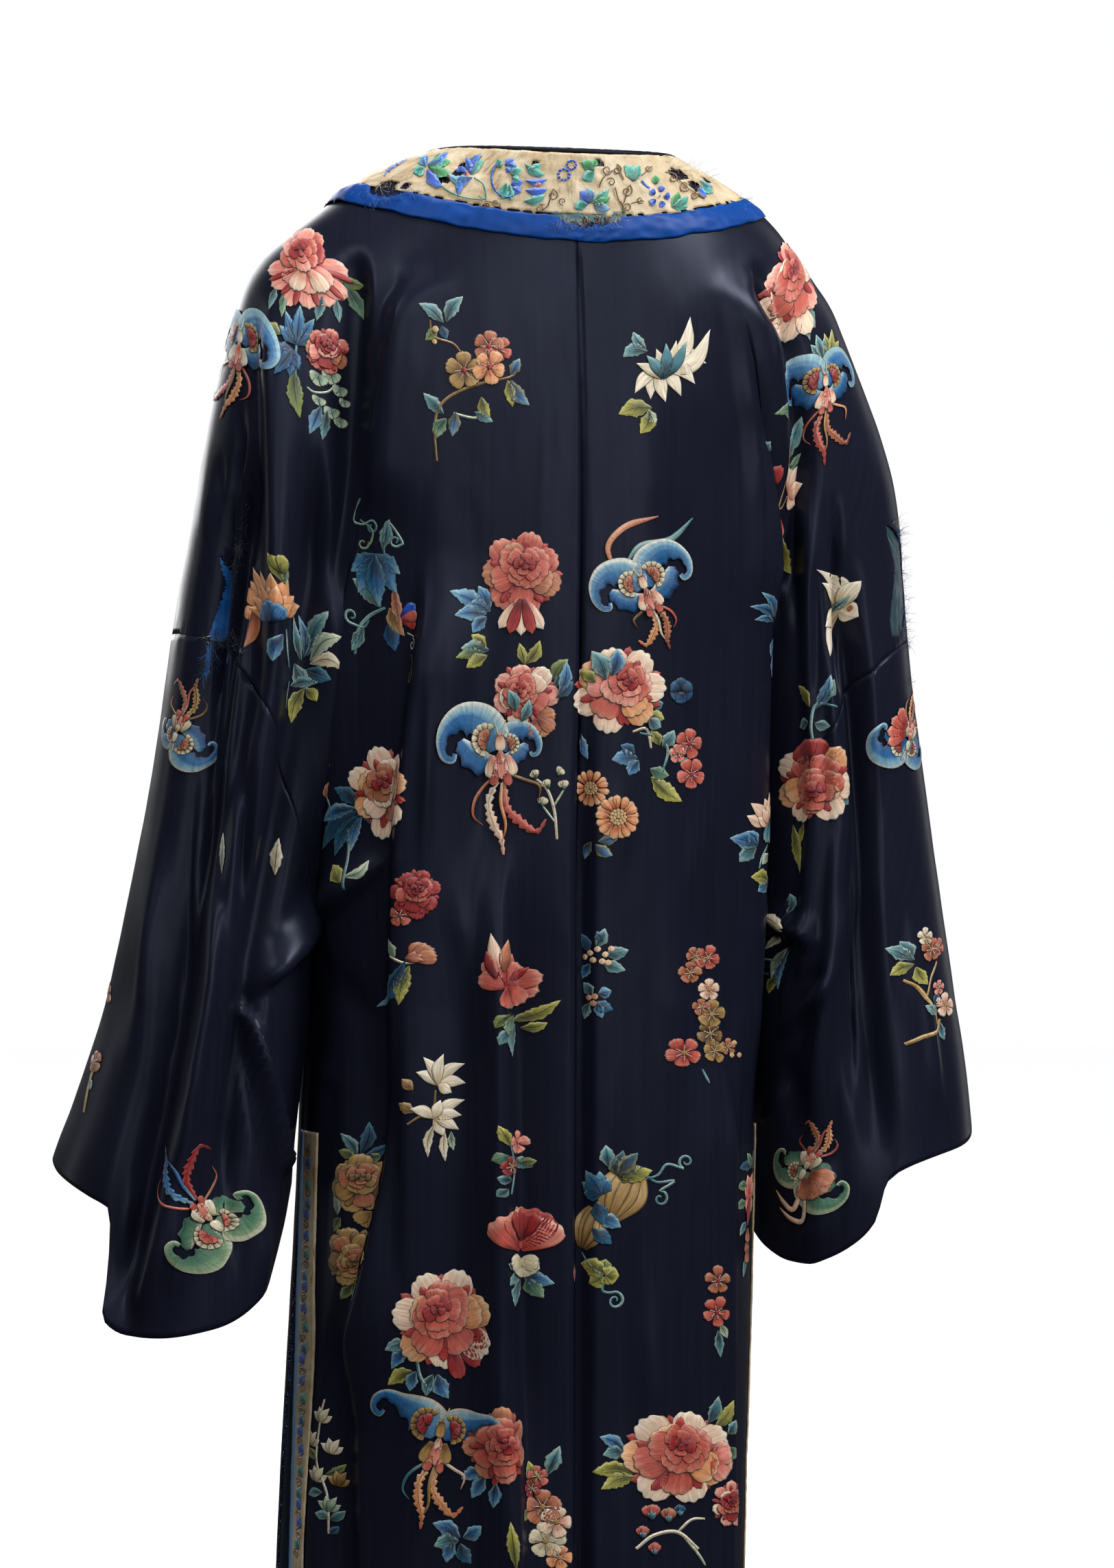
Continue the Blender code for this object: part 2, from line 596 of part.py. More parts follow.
def make_wall(name, sheet, cloth, collection, lift=0.0, closed_round=False):
    """A closed wall on a sheet's (base, normal) points. Its near face lies lift out of them, or in if negative.

    Every cell, and every stretch of a rim, is split along a diagonal picked the same way in each piece, so
    that pieces that lie on each other or meet at a seam stay parallel.
    """
    base, normal = sheet
    colour, roughness, thick = cloth
    there = ~np.isnan(base[..., 0])
    number = -np.ones(there.shape, int)
    number[there] = np.arange(there.sum())
    if closed_round:
        number[:, -1] = number[:, 0]
    faces = []
    for i in range(number.shape[0] - 1):
        for j in range(number.shape[1] - 1):
            a, b = int(number[i, j]), int(number[i, j + 1])
            d, c = int(number[i + 1, j]), int(number[i + 1, j + 1])
            if min(a, b, c, d) >= 0:
                faces += [(a, b, c), (a, c, d)]
    used = sorted({corner for face in faces for corner in face})
    again = {old: new for new, old in enumerate(used)}
    faces = [tuple(again[corner] for corner in face) for face in faces]
    outer = (base + normal * (lift + (thick if lift > 0 else 0)))[there][used]
    inner = outer - normal[there][used] * thick
    count = len(outer)
    every = faces + [tuple(count + corner for corner in reversed(face)) for face in faces]
    for a, b in rim_edges(faces):
        if outer[a] @ RIM_ORDER > outer[b] @ RIM_ORDER:
            every += [(a, a + count, b + count), (a, b + count, b)]
        else:
            every += [(a, a + count, b), (b, a + count, b + count)]
    mesh = bpy.data.meshes.new(name)
    mesh.from_pydata([tuple(point) for point in np.concatenate([outer, inner]) * MM], [], every)
    work = bmesh.new()
    work.from_mesh(mesh)
    bmesh.ops.recalc_face_normals(work, faces=work.faces)
    if work.calc_volume(signed=True) < 0:
        bmesh.ops.reverse_faces(work, faces=work.faces)
    work.to_mesh(mesh)
    work.free()
    mesh.shade_smooth()
    mesh.set_sharp_from_angle(angle=math.radians(50))
    mesh.materials.append(material(name, colour, roughness))
    made = bpy.data.objects.new(name, mesh)
    collection.objects.link(made)
    return made


def make_panels(collection):
    for side in SIDES:
        for face in ("back", "front"):
            make_wall(f"{face}_{side}", points_of(side, panel_grid(side, face)), SATIN, collection)
            make_wall(f"sleeve_{face}_{side}", sleeve_sheet(side, face), SATIN, collection)


def neck_sheet(top_row, bottom_row, top_drop, bottom_drop):
    """(base, normal) of a strip round the neck, from the right front edge round the back to the left one."""
    halves = []
    for side in SIDES:
        back, front = panel_grid(side, "back"), panel_grid(side, "front")
        rows = np.concatenate([back, front], axis=1)[top_row : bottom_row + 1].copy()
        rows[0, :, 1] = top_drop
        rows[-1, :, 1] = bottom_drop
        halves.append(points_of(side, rows))
    left, right = halves
    return tuple(np.concatenate([there[:, :-1], here], axis=1) for there, here in zip(right, left))


def make_neck(collection):
    band = neck_sheet(0, NECK_BAND_ROWS, 1.0, NECK_BAND_DROP)
    make_wall("neck_band", band, CREAM_SATIN, collection, lift=SEAM_GAP)
    edging = neck_sheet(NECK_BAND_ROWS, NECK_BAND_ROWS + 1, NECK_BAND_DROP + SEAM_GAP, NECK_EDGING_DROP)
    make_wall("neck_edging", edging, BLUE_SATIN, collection, lift=SEAM_GAP)
    rim, below = (neck_sheet(0, 1, 0.0, drop)[0] for drop in (1.0, 3.0))
    upward = rim[0] - below[1]
    upward /= np.linalg.norm(upward, axis=1, keepdims=True)
    line = rim[0] + upward * (BINDING_RADIUS + SEAM_GAP)
    curve = bpy.data.curves.new("neck_binding", "CURVE")
    curve.dimensions = "3D"
    curve.bevel_depth = BINDING_RADIUS * MM
    curve.bevel_resolution = 1
    curve.use_fill_caps = True
    spline = curve.splines.new("POLY")
    spline.points.add(len(line) - 1)
    for point, place in zip(spline.points, line * MM):
        point.co = (*place, 1.0)
    curve.materials.append(material("neck_binding", *BLACK_SATIN[:2]))
    collection.objects.link(bpy.data.objects.new("neck_binding", curve))


def make_slit_borders(collection):
    """Binding, band and piping beside each slit, on the back panel's own columns and rows."""
    last = BODY_BACK_CELLS + 4
    pieces = (
        ("slit_binding", BLUE_SATIN, last - 1, last),
        ("slit_band", CREAM_SATIN, last - 3, last - 1),
        ("slit_piping", CREAM_SATIN, last - 4, last - 3),
    )
    for side in SIDES:
        grid = panel_grid(side, "back")[-SLIT_ROWS - 1 :]
        for name, cloth, first_column, last_column in pieces:
            strip = grid[:, first_column : last_column + 1].copy()
            if last_column < last:
                across = np.diff(points_of(side, strip[:, -2:])[0], axis=1)[:, 0]
                step = SEAM_GAP / np.linalg.norm(across, axis=1)
                strip[:, -1, 0] += (strip[:, -2, 0] - strip[:, -1, 0]) * step
            make_wall(f"{name}_{side}", points_of(side, strip), cloth, collection, lift=SEAM_GAP)


def make_cuff_facing(collection):
    halves = [sleeve_grid("right", face)[-FACING_ROWS - 1 :] for face in ("back", "front")]
    sheet = points_of("right", np.concatenate(halves, axis=1))
    make_wall("cuff_facing_right", sheet, CREAM_SATIN, collection, lift=-CLOTH - SEAM_GAP, closed_round=True)


def lining_sheet(rip):
    """(base, normal) of the cells of the rip's own wall round it, so that a patch of them fits behind."""
    *kind, face, side = rip["wall"].split("_")
    grid = sleeve_grid(side, face) if kind else panel_grid(side, face)
    turn, drop = np.nan_to_num(grid[..., 0]), np.nan_to_num(grid[..., 1])
    nearest = np.argmin(((turn - rip["turn"]) * TURN_LENGTH) ** 2 + (drop - rip["drop"]) ** 2)
    row, column = np.unravel_index(nearest, turn.shape)
    return points_of(side, grid[max(row - 1, 0) : row + 2, max(column - 1, 0) : column + 2])


def cut_rips(collection, cutters):
    """A pointed oval cut through the wall, square to the cloth, with lining behind it."""
    for rip in RIPS:
        side = rip["wall"].split("_")[-1]
        centre = surface(side, rip["turn"], rip["drop"])
        out = outward(side, rip["turn"], rip["drop"])
        down = surface(side, rip["turn"], rip["drop"] + 1) - surface(side, rip["turn"], rip["drop"] - 1)
        down /= np.linalg.norm(down)
        across = np.cross(down, out)
        angles = np.linspace(0, 2 * math.pi, RIP_POINTS, endpoint=False)
        along = np.cos(angles) * rip["long"] / 2
        sideways = np.sin(angles) * np.abs(np.sin(angles)) ** RIP_POINTEDNESS * rip["wide"] / 2
        outline = centre + np.outer(along, down) + np.outer(sideways, across)
        work = bmesh.new()
        near = [work.verts.new(point * MM) for point in outline - out * RIP_CUT_DEPTH]
        far = [work.verts.new(point * MM) for point in outline + out * RIP_CUT_DEPTH]
        work.faces.new(near)
        work.faces.new(far[::-1])
        for i in range(RIP_POINTS):
            work.faces.new((near[i - 1], near[i], far[i], far[i - 1]))
        bmesh.ops.recalc_face_normals(work, faces=work.faces)
        mesh = bpy.data.meshes.new("rip_cutter_" + rip["name"])
        work.to_mesh(mesh)
        work.free()
        cutter = bpy.data.objects.new(mesh.name, mesh)
        cutter.hide_render = True
        cutter.display_type = "WIRE"
        cutters.objects.link(cutter)
        cut = bpy.data.objects[rip["wall"]].modifiers.new(cutter.name, "BOOLEAN")
        cut.object = cutter
        make_wall("rip_lining_" + rip["name"], lining_sheet(rip), LINING, collection, lift=-CLOTH - SEAM_GAP)


def main():
    for old in list(bpy.data.objects):
        bpy.data.objects.remove(old)
    robe = bpy.data.collections.new(ROBE)
    cutters = bpy.data.collections.new("cutters")
    for collection in (robe, cutters):
        bpy.context.scene.collection.children.link(collection)
    make_panels(robe)
    make_neck(robe)
    make_slit_borders(robe)
    make_cuff_facing(robe)
    cut_rips(robe, cutters)


main()
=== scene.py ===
"""The silk robe's looks: satin, linings, worn neck band, slit borders, embroidery, seams and frayed threads.

Every piece of cloth is read from the same surface as the solids, given by turn (how far round) and drop
(how far below the neckline), with more creases. Embroidery is sewn on in flat cloth coordinates. Sizes are
in millimetres until a mesh is made.
"""

import math

import bpy
import mathutils
import numpy as np
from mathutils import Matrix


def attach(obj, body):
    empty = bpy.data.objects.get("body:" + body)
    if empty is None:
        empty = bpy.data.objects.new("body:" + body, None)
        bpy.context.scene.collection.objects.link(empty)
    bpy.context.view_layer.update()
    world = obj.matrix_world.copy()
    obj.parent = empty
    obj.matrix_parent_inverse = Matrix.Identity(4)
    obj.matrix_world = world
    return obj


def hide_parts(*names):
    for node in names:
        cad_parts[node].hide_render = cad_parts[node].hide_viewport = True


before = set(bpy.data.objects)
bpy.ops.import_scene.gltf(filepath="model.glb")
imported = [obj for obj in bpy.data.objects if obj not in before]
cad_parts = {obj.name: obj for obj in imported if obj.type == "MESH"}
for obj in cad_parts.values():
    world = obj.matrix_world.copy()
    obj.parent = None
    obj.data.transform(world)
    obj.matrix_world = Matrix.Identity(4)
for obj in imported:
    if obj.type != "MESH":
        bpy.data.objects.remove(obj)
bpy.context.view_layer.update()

MM = 0.001
SIDES = ("left", "right")
SIGN = {"left": 1, "right": -1}  # which way a side lies from the centre
BACK_LENGTH = 1070.0
UNDERARM_DROP = 580.0
SLIT_TOP_DROP = 668.0
SLEEVE_SEAM_DROP = 372.0
SEAM_STEEPNESS = 4
SLIT_BINDING_WIDTH = 8.0
VALLEY_TURN = 0.2
BODY_SQUARENESS = 0.86
ARM_SQUARENESS = 0.94
SHOULDER_SQUARENESS = 0.93
SLIT_QUICKNESS = 0.7
ARM_INSET = 0.0001
FOLD_FACING = 1.6
LEVELS = np.arange(0.0, BACK_LENGTH + 1, 20.0)
RING_STEPS = 160
BEND_WEIGHT = 1.0
STEEPEST_BEND = 0.5
NORMAL_STEP = 0.002  # turn either way, to find the way out of the cloth
CLOTH_THICKNESS = 0.9
SLEEVE_ROWS = 92


def table(columns, *rows):
    """A table with named columns, as arrays."""
    values = np.array(rows, float)
    return {name: values[:, i] for i, name in enumerate(columns.split())}


# The whole outline of body and arms together. side_lift and front_lift are how far the ring rises above the
# centre back's level at the side and at the front edge; merge is 1 where the cloth spans from body to arm in
# one sweep, and 0 where the valley between them has closed.
OUTLINE = table(
    "drop side_lift front_lift left right back front merge_left merge_right",
    (0, 8, -62, 82, 95, 95, 72, 1, 1),
    (30, 22, -60, 121, 130, 100, 86, 1, 1),
    (62, 33, -58, 151, 163, 104, 96, 1, 1),
    (100, 50, -54, 177, 182, 109, 104, 1, 1),
    (140, 68, -50, 200, 199, 113, 110, 0.97, 0.96),
    (180, 80, -46, 213, 216, 116, 114, 0.92, 0.88),
    (230, 80, -40, 227, 237, 117, 117, 0.84, 0.74),
    (290, 68, -32, 241, 261, 116, 118, 0.74, 0.58),
    (370, 46, -22, 258, 270, 114, 118, 0.62, 0.42),
    (470, 20, -10, 275, 286, 112, 117, 0.44, 0.24),
    (580, 0, 0, 303, 305, 110, 116, 0, 0),
)

# The body alone.
BODY = table(
    "drop left right back front",
    (0, 82, 95, 95, 72),
    (100, 124, 118, 110, 104),
    (200, 140, 131, 117, 115),
    (300, 149, 141, 116, 118),
    (400, 156, 147, 113, 117),
    (580, 163, 153, 110, 114),
    (670, 168, 152, 110, 113),
    (800, 171, 150, 108, 112),
    (940, 174, 146, 107, 112),
    (1070, 176, 145, 107, 114),
)

# The arm and sleeve alone. Inner gap is what parts them from the body.
ARM = table(
    "drop left right inner_gap back front middle",
    (0, 110, 118, 0, 50, 50, 0),
    (100, 177, 182, 0, 62, 58, 0),
    (200, 218, 224, 0, 68, 62, 0),
    (300, 243, 262, 0, 68, 64, -2),
    (400, 263, 275, 0.2, 72, 66, -4),
    (580, 303, 305, 1.0, 82, 72, -6),
    (640, 322, 315, 4.0, 88, 80, -8),
    (690, 340, 320, 7.0, 92, 86, -10),
    (740, 352, 322, 9.0, 94, 90, -10),
    (800, 366, 326, 10.0, 96, 92, -10),
)

# The cuff's hem, round the sleeve from its inner seam over the back, the outside and the front.
CUFF_LEFT = table(
    "round drop",
    (0.00, 700),
    (0.05, 704),
    (0.09, 735),
    (0.13, 773),
    (0.17, 787),
    (0.21, 794),
    (0.26, 798),
    (0.30, 796),
    (0.335, 786),
    (0.355, 713),
    (0.385, 706),
    (0.46, 694),
    (0.54, 686),
    (0.62, 700),
    (0.75, 724),
    (0.90, 712),
    (1.00, 700),
)
CUFF_RIGHT = table(
    "round drop",
    (0.00, 745),
    (0.04, 756),
    (0.09, 764),
    (0.12, 765),
    (0.15, 760),
    (0.19, 748),
    (0.215, 734),
    (0.235, 705),
    (0.28, 693),
    (0.41, 679),
    (0.44, 670),
    (0.47, 656),
    (0.52, 662),
    (0.58, 686),
    (0.65, 722),
    (0.70, 735),
    (0.80, 744),
    (1.00, 745),
)

# The slit at each side: how far the back edge turns forward and the front edge swings clear, at the hem.
SLITS = {
    "left": {"back_turn": 12.0, "front_turn": 36.0, "front_flare": 5.0},
    "right": {"back_turn": 6.0, "front_turn": 26.0, "front_flare": 2.0},
}
FRONT_GAP = table(
    "drop gap",
    (0, 14),
    (62, 13),
    (300, 10),
    (700, 14),
    (1070, 24),
)

# Folds: their depth out of the cloth, or into it where it is negative, their widths towards and away from the
# centre, how far they take to begin and to end, and their places from top to bottom, as (distance to the
# wearer's left of the centre, height).
BACK_FOLDS = (
    (9, 34, 13, 50, ((110, -92), (120, -110), (128, -160), (133, -240))),
    (-15, 12, 22, 50, ((147, -85), (149, -130), (150, -200), (160, -300))),
    (17, 30, 13, 70, ((196, -120), (202, -340), (216, -420), (244, -560), (272, -690), (291, -770))),
    (-22, 12, 26, 80, ((214, -230), (231, -330), (246, -450), (262, -560), (290, -690), (306, -770))),
    (-14, 20, 15, 80, ((176, -230), (189, -360), (200, -450), (222, -560), (236, -690))),
    (8, 22, 14, 70, ((163, -220), (161, -330), (170, -450))),
    (17, 52, 9, 90, ((103, -315), (117, -470), (120, -640), (134, -755), (150, -830))),
    (-14, 16, 16, 60, ((158, -800), (156, -900), (153, -1070))),
    (14, 9, 34, 120, ((52, -520), (49, -640), (46, -780), (40, -1070))),
    (-11, 10, 9, 160, ((-4, -420), (-4, -700), (-4, -1070))),
    (9, 36, 12, 50, ((-124, -90), (-142, -130), (-152, -200), (-150, -300))),
    (-14, 11, 20, 50, ((-140, -85), (-160, -130), (-168, -209), (-162, -300))),
    (8, 40, 8, 90, ((-139, -220), (-146, -350), (-148, -500), (-151, -620))),
    (12, 10, 16, 70, ((-176, -240), (-182, -330), (-186, -450), (-180, -560))),
    (-16, 20, 16, 90, ((-206, -300), (-214, -400), (-217, -520), (-224, -670))),
    (12, 15, 12, 80, ((-200, -360), (-207, -500), (-194, -570), (-184, -660))),
    (9, 44, 12, 90, ((-108, -640), (-112, -760), (-114, -880), (-112, -1070))),
)
FRONT_FOLDS = (
    (12, 24, 14, 110, ((92, -150), (98, -400), (104, -700), (110, -1070))),
    (-14, 16, 18, 60, ((128, -120), (136, -300), (140, -480))),
    (12, 20, 16, 80, ((176, -160), (188, -400), (214, -600), (228, -760))),
    (-12, 14, 18, 90, ((214, -240), (228, -420), (262, -620), (280, -720))),
    (-10, 18, 14, 130, ((52, -300), (56, -600), (62, -1070))),
    (-9, 14, 16, 70, ((146, -720), (150, -1070))),
    (12, 26, 12, 110, ((-92, -150), (-90, -400), (-96, -700), (-98, -1070))),
    (-14, 16, 18, 60, ((-130, -120), (-132, -300), (-136, -480))),
    (11, 20, 16, 80, ((-172, -160), (-190, -400), (-206, -600), (-216, -720))),
    (-11, 14, 18, 90, ((-214, -240), (-228, -420), (-246, -620), (-254, -700))),
    (-9, 16, 16, 130, ((-54, -340), (-52, -600), (-58, -1070))),
)

# Creases finer than the solids' folds: on the back of body, arm or all, with places as in the folds, how
# deep, how wide towards the wearer's left and right, and how far they take to fade out at each end.
CREASES = (
    ("all", ((219, -157), (222, -222), (228, -292), (233, -343), (236, -408)), -5, 5, 5, 60),
    ("all", ((214, -176), (218, -250), (223, -315), (229, -385), (236, -478)), 4, 3, 8, 80),
    ("all", ((239, -171), (241, -222), (244, -273)), 3, 8, 6, 40),
    ("all", ((231, -194), (234, -250)), -2.5, 4, 5, 30),
    ("all", ((249, -157), (258, -222), (265, -292)), -3, 8, 7, 60),
    ("all", ((273, -432), (281, -548), (289, -650)), 6, 20, 10, 120),
    ("all", ((239, -390), (245, -478), (249, -562), (263, -641), (273, -725)), 8, 8, 8, 120),
    ("all", ((220, -390), (225, -478), (229, -557)), -9, 7, 9, 80),
    ("all", ((122, -474), (152, -506), (178, -536), (205, -560), (230, -574)), 10, 24, 6, 40),
    ("all", ((231, -571), (217, -593), (208, -618), (200, -642), (192, -677), (182, -696)), 7, 8, 4, 16),
    ("arm", ((223, -594), (214, -641), (204, -687), (196, -734)), -6, 7, 7, 40),
    ("arm", ((289, -683), (299, -725), (302, -771)), 4, 10, 8, 40),
    ("arm", ((236, -641), (234, -711), (233, -780)), -6, 10, 10, 60),
    ("arm", ((210, -706), (209, -748), (212, -785)), 5, 9, 9, 40),
    ("arm", ((268, -697), (272, -743), (268, -790)), 3, 12, 10, 40),
    ("all", ((-118, -71), (-143, -88), (-154, -126), (-162, -163), (-167, -213), (-169, -264)), 5, 12, 4,
     60),
    ("all", ((-120, -120), (-128, -168), (-135, -213), (-141, -251)), 4, 16, 4, 50),
    ("all", ((-161, -185), (-166, -269), (-168, -343)), 4, 7, 7, 70),
    ("all", ((-180, -250), (-182, -339), (-179, -404)), -5, 7, 7, 60),
    ("all", ((-193, -297), (-195, -385), (-196, -460)), 5, 7, 5, 60),
    ("all", ((-197, -218), (-200, -315), (-203, -406)), -6, 4, 5, 60),
    ("all", ((-218, -297), (-223, -362), (-226, -455)), 4, 12, 12, 70),
    ("all", ((-149, -513), (-168, -530), (-186, -550)), 8, 5, 13, 22),
    ("arm", ((-195, -546), (-186, -571), (-175, -590), (-164, -611)), 7, 6, 8, 30),
    ("arm", ((-188, -553), (-183, -563), (-169, -565)), -5, 5, 6, 16),
    ("arm", ((-196, -446), (-195, -501), (-191, -548), (-184, -604), (-177, -660)), 6, 7, 7, 60),
    ("arm", ((-208, -450), (-207, -548), (-207, -664)), -8, 6, 7, 60),
    ("arm", ((-224, -450), (-226, -548), (-223, -650)), 4, 13, 13, 80),
    ("arm", ((-260, -548), (-268, -618), (-273, -669)), 3, 9, 9, 50),
    ("arm", ((-245, -492), (-248, -594)), -3, 9, 9, 60),
    ("arm", ((-191, -683), (-187, -734), (-178, -767)), 5, 11, 11, 30),
    ("arm", ((-170, -632), (-160, -669), (-156, -715)), 5, 10, 8, 30),
    ("arm", ((-169, -613), (-173, -650), (-175, -687)), -5, 7, 7, 30),
    ("body", ((0, -60), (-1, -92), (-1, -222), (0, -362), (0, -501), (1, -960)), -2.2, 2.5, 2.5, 20),
    ("body", ((32, -73), (29, -176), (32, -315)), 1.6, 20, 16, 200),
    ("body", ((-33, -92), (-45, -222), (-43, -362)), 1.8, 26, 24, 200),
    ("body", ((70, -353), (65, -432), (63, -511)), -2.5, 12, 12, 120),
    ("body", ((104, -334), (105, -432), (108, -525)), 4, 8, 5, 120),
    ("body", ((87, -469), (81, -520), (79, -585)), 3, 14, 10, 90),
    ("body", ((-67, -473), (-72, -571), (-74, -687)), 3, 22, 16, 140),
    ("body", ((47, -470), (46, -640), (45, -800), (42, -960)), -8, 9, 40, 140),
    ("body", ((60, -480), (60, -700), (56, -960)), 3, 18, 9, 140),
    ("body", ((128, -540), (129, -690), (124, -800)), -6, 26, 10, 120),
    ("body", ((-33, -622), (-31, -780), (-30, -960)), -4, 16, 18, 160),
    ("body", ((-60, -725), (-57, -827), (-60, -960)), 4, 18, 16, 140),
    ("body", ((94, -687), (100, -804), (114, -960)), 4, 20, 16, 160),
    ("body", ((185, -622), (183, -734), (186, -960)), 4, 10, 10, 90),
    ("body", ((159, -585), (162, -711), (176, -960)), -4, 12, 9, 110),
    ("body", ((-127, -571), (-117, -711), (-113, -780)), 3, 14, 10, 120),
    ("body", ((176, -543), (152, -567), (133, -604)), -3, 14, 14, 40),
    ("body", ((200, -594), (176, -622), (143, -636)), 3, 10, 12, 40),
    ("body", ((-21, -422), (-31, -460), (-21, -501)), 1.5, 14, 12, 60),
    ("body", ((-98, -408), (-89, -478), (-98, -539)), 1.8, 16, 14, 80),
)
CREASE_SHARE = 1.35
CAMERA_TURN = math.radians(165)
CAMERA_PLACE = (0.7635, 2.9012, -0.4293)
FOCAL_SHARE = 2.7287  # focal length over the frame's height
PHOTO = (1624, 2285)
RNG = np.random.default_rng(7)


def between(x, knots, values):
    """A smooth curve through the table's values, with no overshoot, at x."""
    x = np.clip(np.asarray(x, float), knots[0], knots[-1])
    step = np.diff(knots)
    rise = np.diff(values) / step
    slope = np.zeros(len(knots))
    same = rise[:-1] * rise[1:] > 0
    slope[1:-1][same] = 2 * rise[:-1][same] * rise[1:][same] / (rise[:-1][same] + rise[1:][same])
    slope[0], slope[-1] = rise[0], rise[-1]
    i = np.clip(np.searchsorted(knots, x, side="right") - 1, 0, len(step) - 1)
    t = (x - knots[i]) / step[i]
    h = step[i]
    return (
        values[i] * (1 + 2 * t) * (1 - t) ** 2
        + slope[i] * h * t * (1 - t) ** 2
        + values[i + 1] * t * t * (3 - 2 * t)
        - slope[i + 1] * h * t * t * (1 - t)
    )


def read(rows, column, drop):
    return between(drop, rows["drop"], rows[column])


def ease(x):
    """0 to 1 as x goes from 0 to 1, with soft ends."""
    x = np.clip(x, 0, 1)
    return x * x * (3 - 2 * x)


def corner(angle, squareness):
    """(out to the side, back) on a unit ring: angle 0 is straight back and half a turn straight forward."""
    out, back = np.sin(angle), np.cos(angle)
    return np.abs(out) ** squareness, np.sign(back) * np.abs(back) ** squareness


def one_sweep(side, turn, drop):
    """Body and arm under one sweep of cloth."""
    out, back = corner(math.pi * turn, SHOULDER_SQUARENESS)
    half = read(OUTLINE, side, drop)
    inset = np.where(turn < 0.5, 0, read(FRONT_GAP, "gap", drop))
    depth = np.where(back > 0, read(OUTLINE, "back", drop), read(OUTLINE, "front", drop))
    return inset + (half - inset) * out, depth * back


def body_alone(side, turn, drop):
    """The body's own ring, whose side edges part below the slit's top."""
    slit = SLITS[side]
    open_share = ease((drop - SLIT_TOP_DROP) / (BACK_LENGTH - SLIT_TOP_DROP)) ** SLIT_QUICKNESS
    is_back = turn < 0.5
    share = np.clip(np.where(is_back, turn, 1 - turn) / VALLEY_TURN, 0, 1)
    out, along = corner(math.pi / 2 * share, BODY_SQUARENESS)
    inset = np.where(is_back, 0, read(FRONT_GAP, "gap", drop))
    half = read(BODY, side, drop) + np.where(is_back, 0, slit["front_flare"] * open_share)
    swing = np.where(is_back, slit["back_turn"], slit["front_turn"]) * open_share
    depth = np.where(is_back, read(BODY, "back", drop), -read(BODY, "front", drop))
    return inset + (half - inset) * out, -swing + (depth + swing) * along


def arm_alone(side, turn, drop):
    """The sleeve's own ring, from its inner seam round the back, the outside and the front."""
    part_round = (turn - VALLEY_TURN) / (1 - 2 * VALLEY_TURN)
    angle = math.pi * (1 - 2 * np.clip(part_round, 0, 1))
    inner = read(BODY, side, drop) + read(ARM, "inner_gap", drop)
    outer = read(ARM, side, drop)
    depth = np.where(angle > 0, read(ARM, "back", drop), read(ARM, "front", drop))
    middle = read(ARM, "middle", drop)
    along, across = corner(angle, ARM_SQUARENESS)
    y = middle + depth * along * np.where(angle > 0, 1, -1)
    return (inner + outer) / 2 + (outer - inner) / 2 * across, y


def plain_ring(side, turn, drop):
    """(out to the side, back) with no folds."""
    merge = read(OUTLINE, "merge_" + side, drop)
    in_arm = np.abs(turn - 0.5) < 0.5 - VALLEY_TURN
    x, y = one_sweep(side, turn, drop)
    body_x, body_y = body_alone(side, turn, drop)
    arm_x, arm_y = arm_alone(side, turn, drop)
    own_x = np.where(in_arm, arm_x, body_x)
    own_y = np.where(in_arm, arm_y, body_y)
    return merge * x + (1 - merge) * own_x, merge * y + (1 - merge) * own_y


def height(turn, drop):
    """The rings dip and rise near the neck, and lie level lower down."""
    side_share = np.sin(math.pi * turn) ** 2
    front_share = np.where(turn > 0.5, 1 - side_share, 0)
    lift = side_share * read(OUTLINE, "side_lift", drop) + front_share * read(OUTLINE, "front_lift", drop)
    return lift - drop


def fold_depth(folds, x, z):
    """How far the folds of one face move the cloth out, at x to the wearer's left and height z."""
    total = np.zeros(np.shape(x))
    for depth, inward, outward, fade, path in folds:
        places = np.array(path[::-1], float)
        line = between(z, places[:, 1], places[:, 0])
        top, low = places[-1, 1], places[0, 1]
        reach = ease((top + fade / 2 - z) / fade)
        if low > -BACK_LENGTH:
            reach = reach * ease((z - low + fade / 2) / fade)
        outer_side = (x - line) * np.where(line < 0, -1, 1) > 0
        width = np.where(outer_side, outward, inward)
        share = np.clip(np.abs(x - line) / width, 0, 1)
        total = total + depth * reach * (1 + np.cos(math.pi * share)) / 2
    return total


def either_side(turn, step):
    """The turns a step behind and ahead, on the same stretch of the ring: body back, arm or body front."""
    in_arm = np.abs(turn - 0.5) < 0.5 - VALLEY_TURN
    low = np.where(in_arm, VALLEY_TURN + ARM_INSET, np.where(turn < 0.5, 0, 1 - VALLEY_TURN))
    high = np.where(in_arm, 1 - VALLEY_TURN - ARM_INSET, np.where(turn < 0.5, VALLEY_TURN, 1))
    return np.maximum(turn - step, low), np.minimum(turn + step, high)


def way_out(side, turn, drop):
    """Which way the plain ring faces, as (out to the side, back)."""
    behind, ahead = either_side(turn, NORMAL_STEP)
    ahead_x, ahead_y = plain_ring(side, ahead, drop)
    behind_x, behind_y = plain_ring(side, behind, drop)
    out_x, out_y = behind_y - ahead_y, ahead_x - behind_x
    length = np.maximum(np.hypot(out_x, out_y), 1e-6)
    return out_x / length, out_y / length


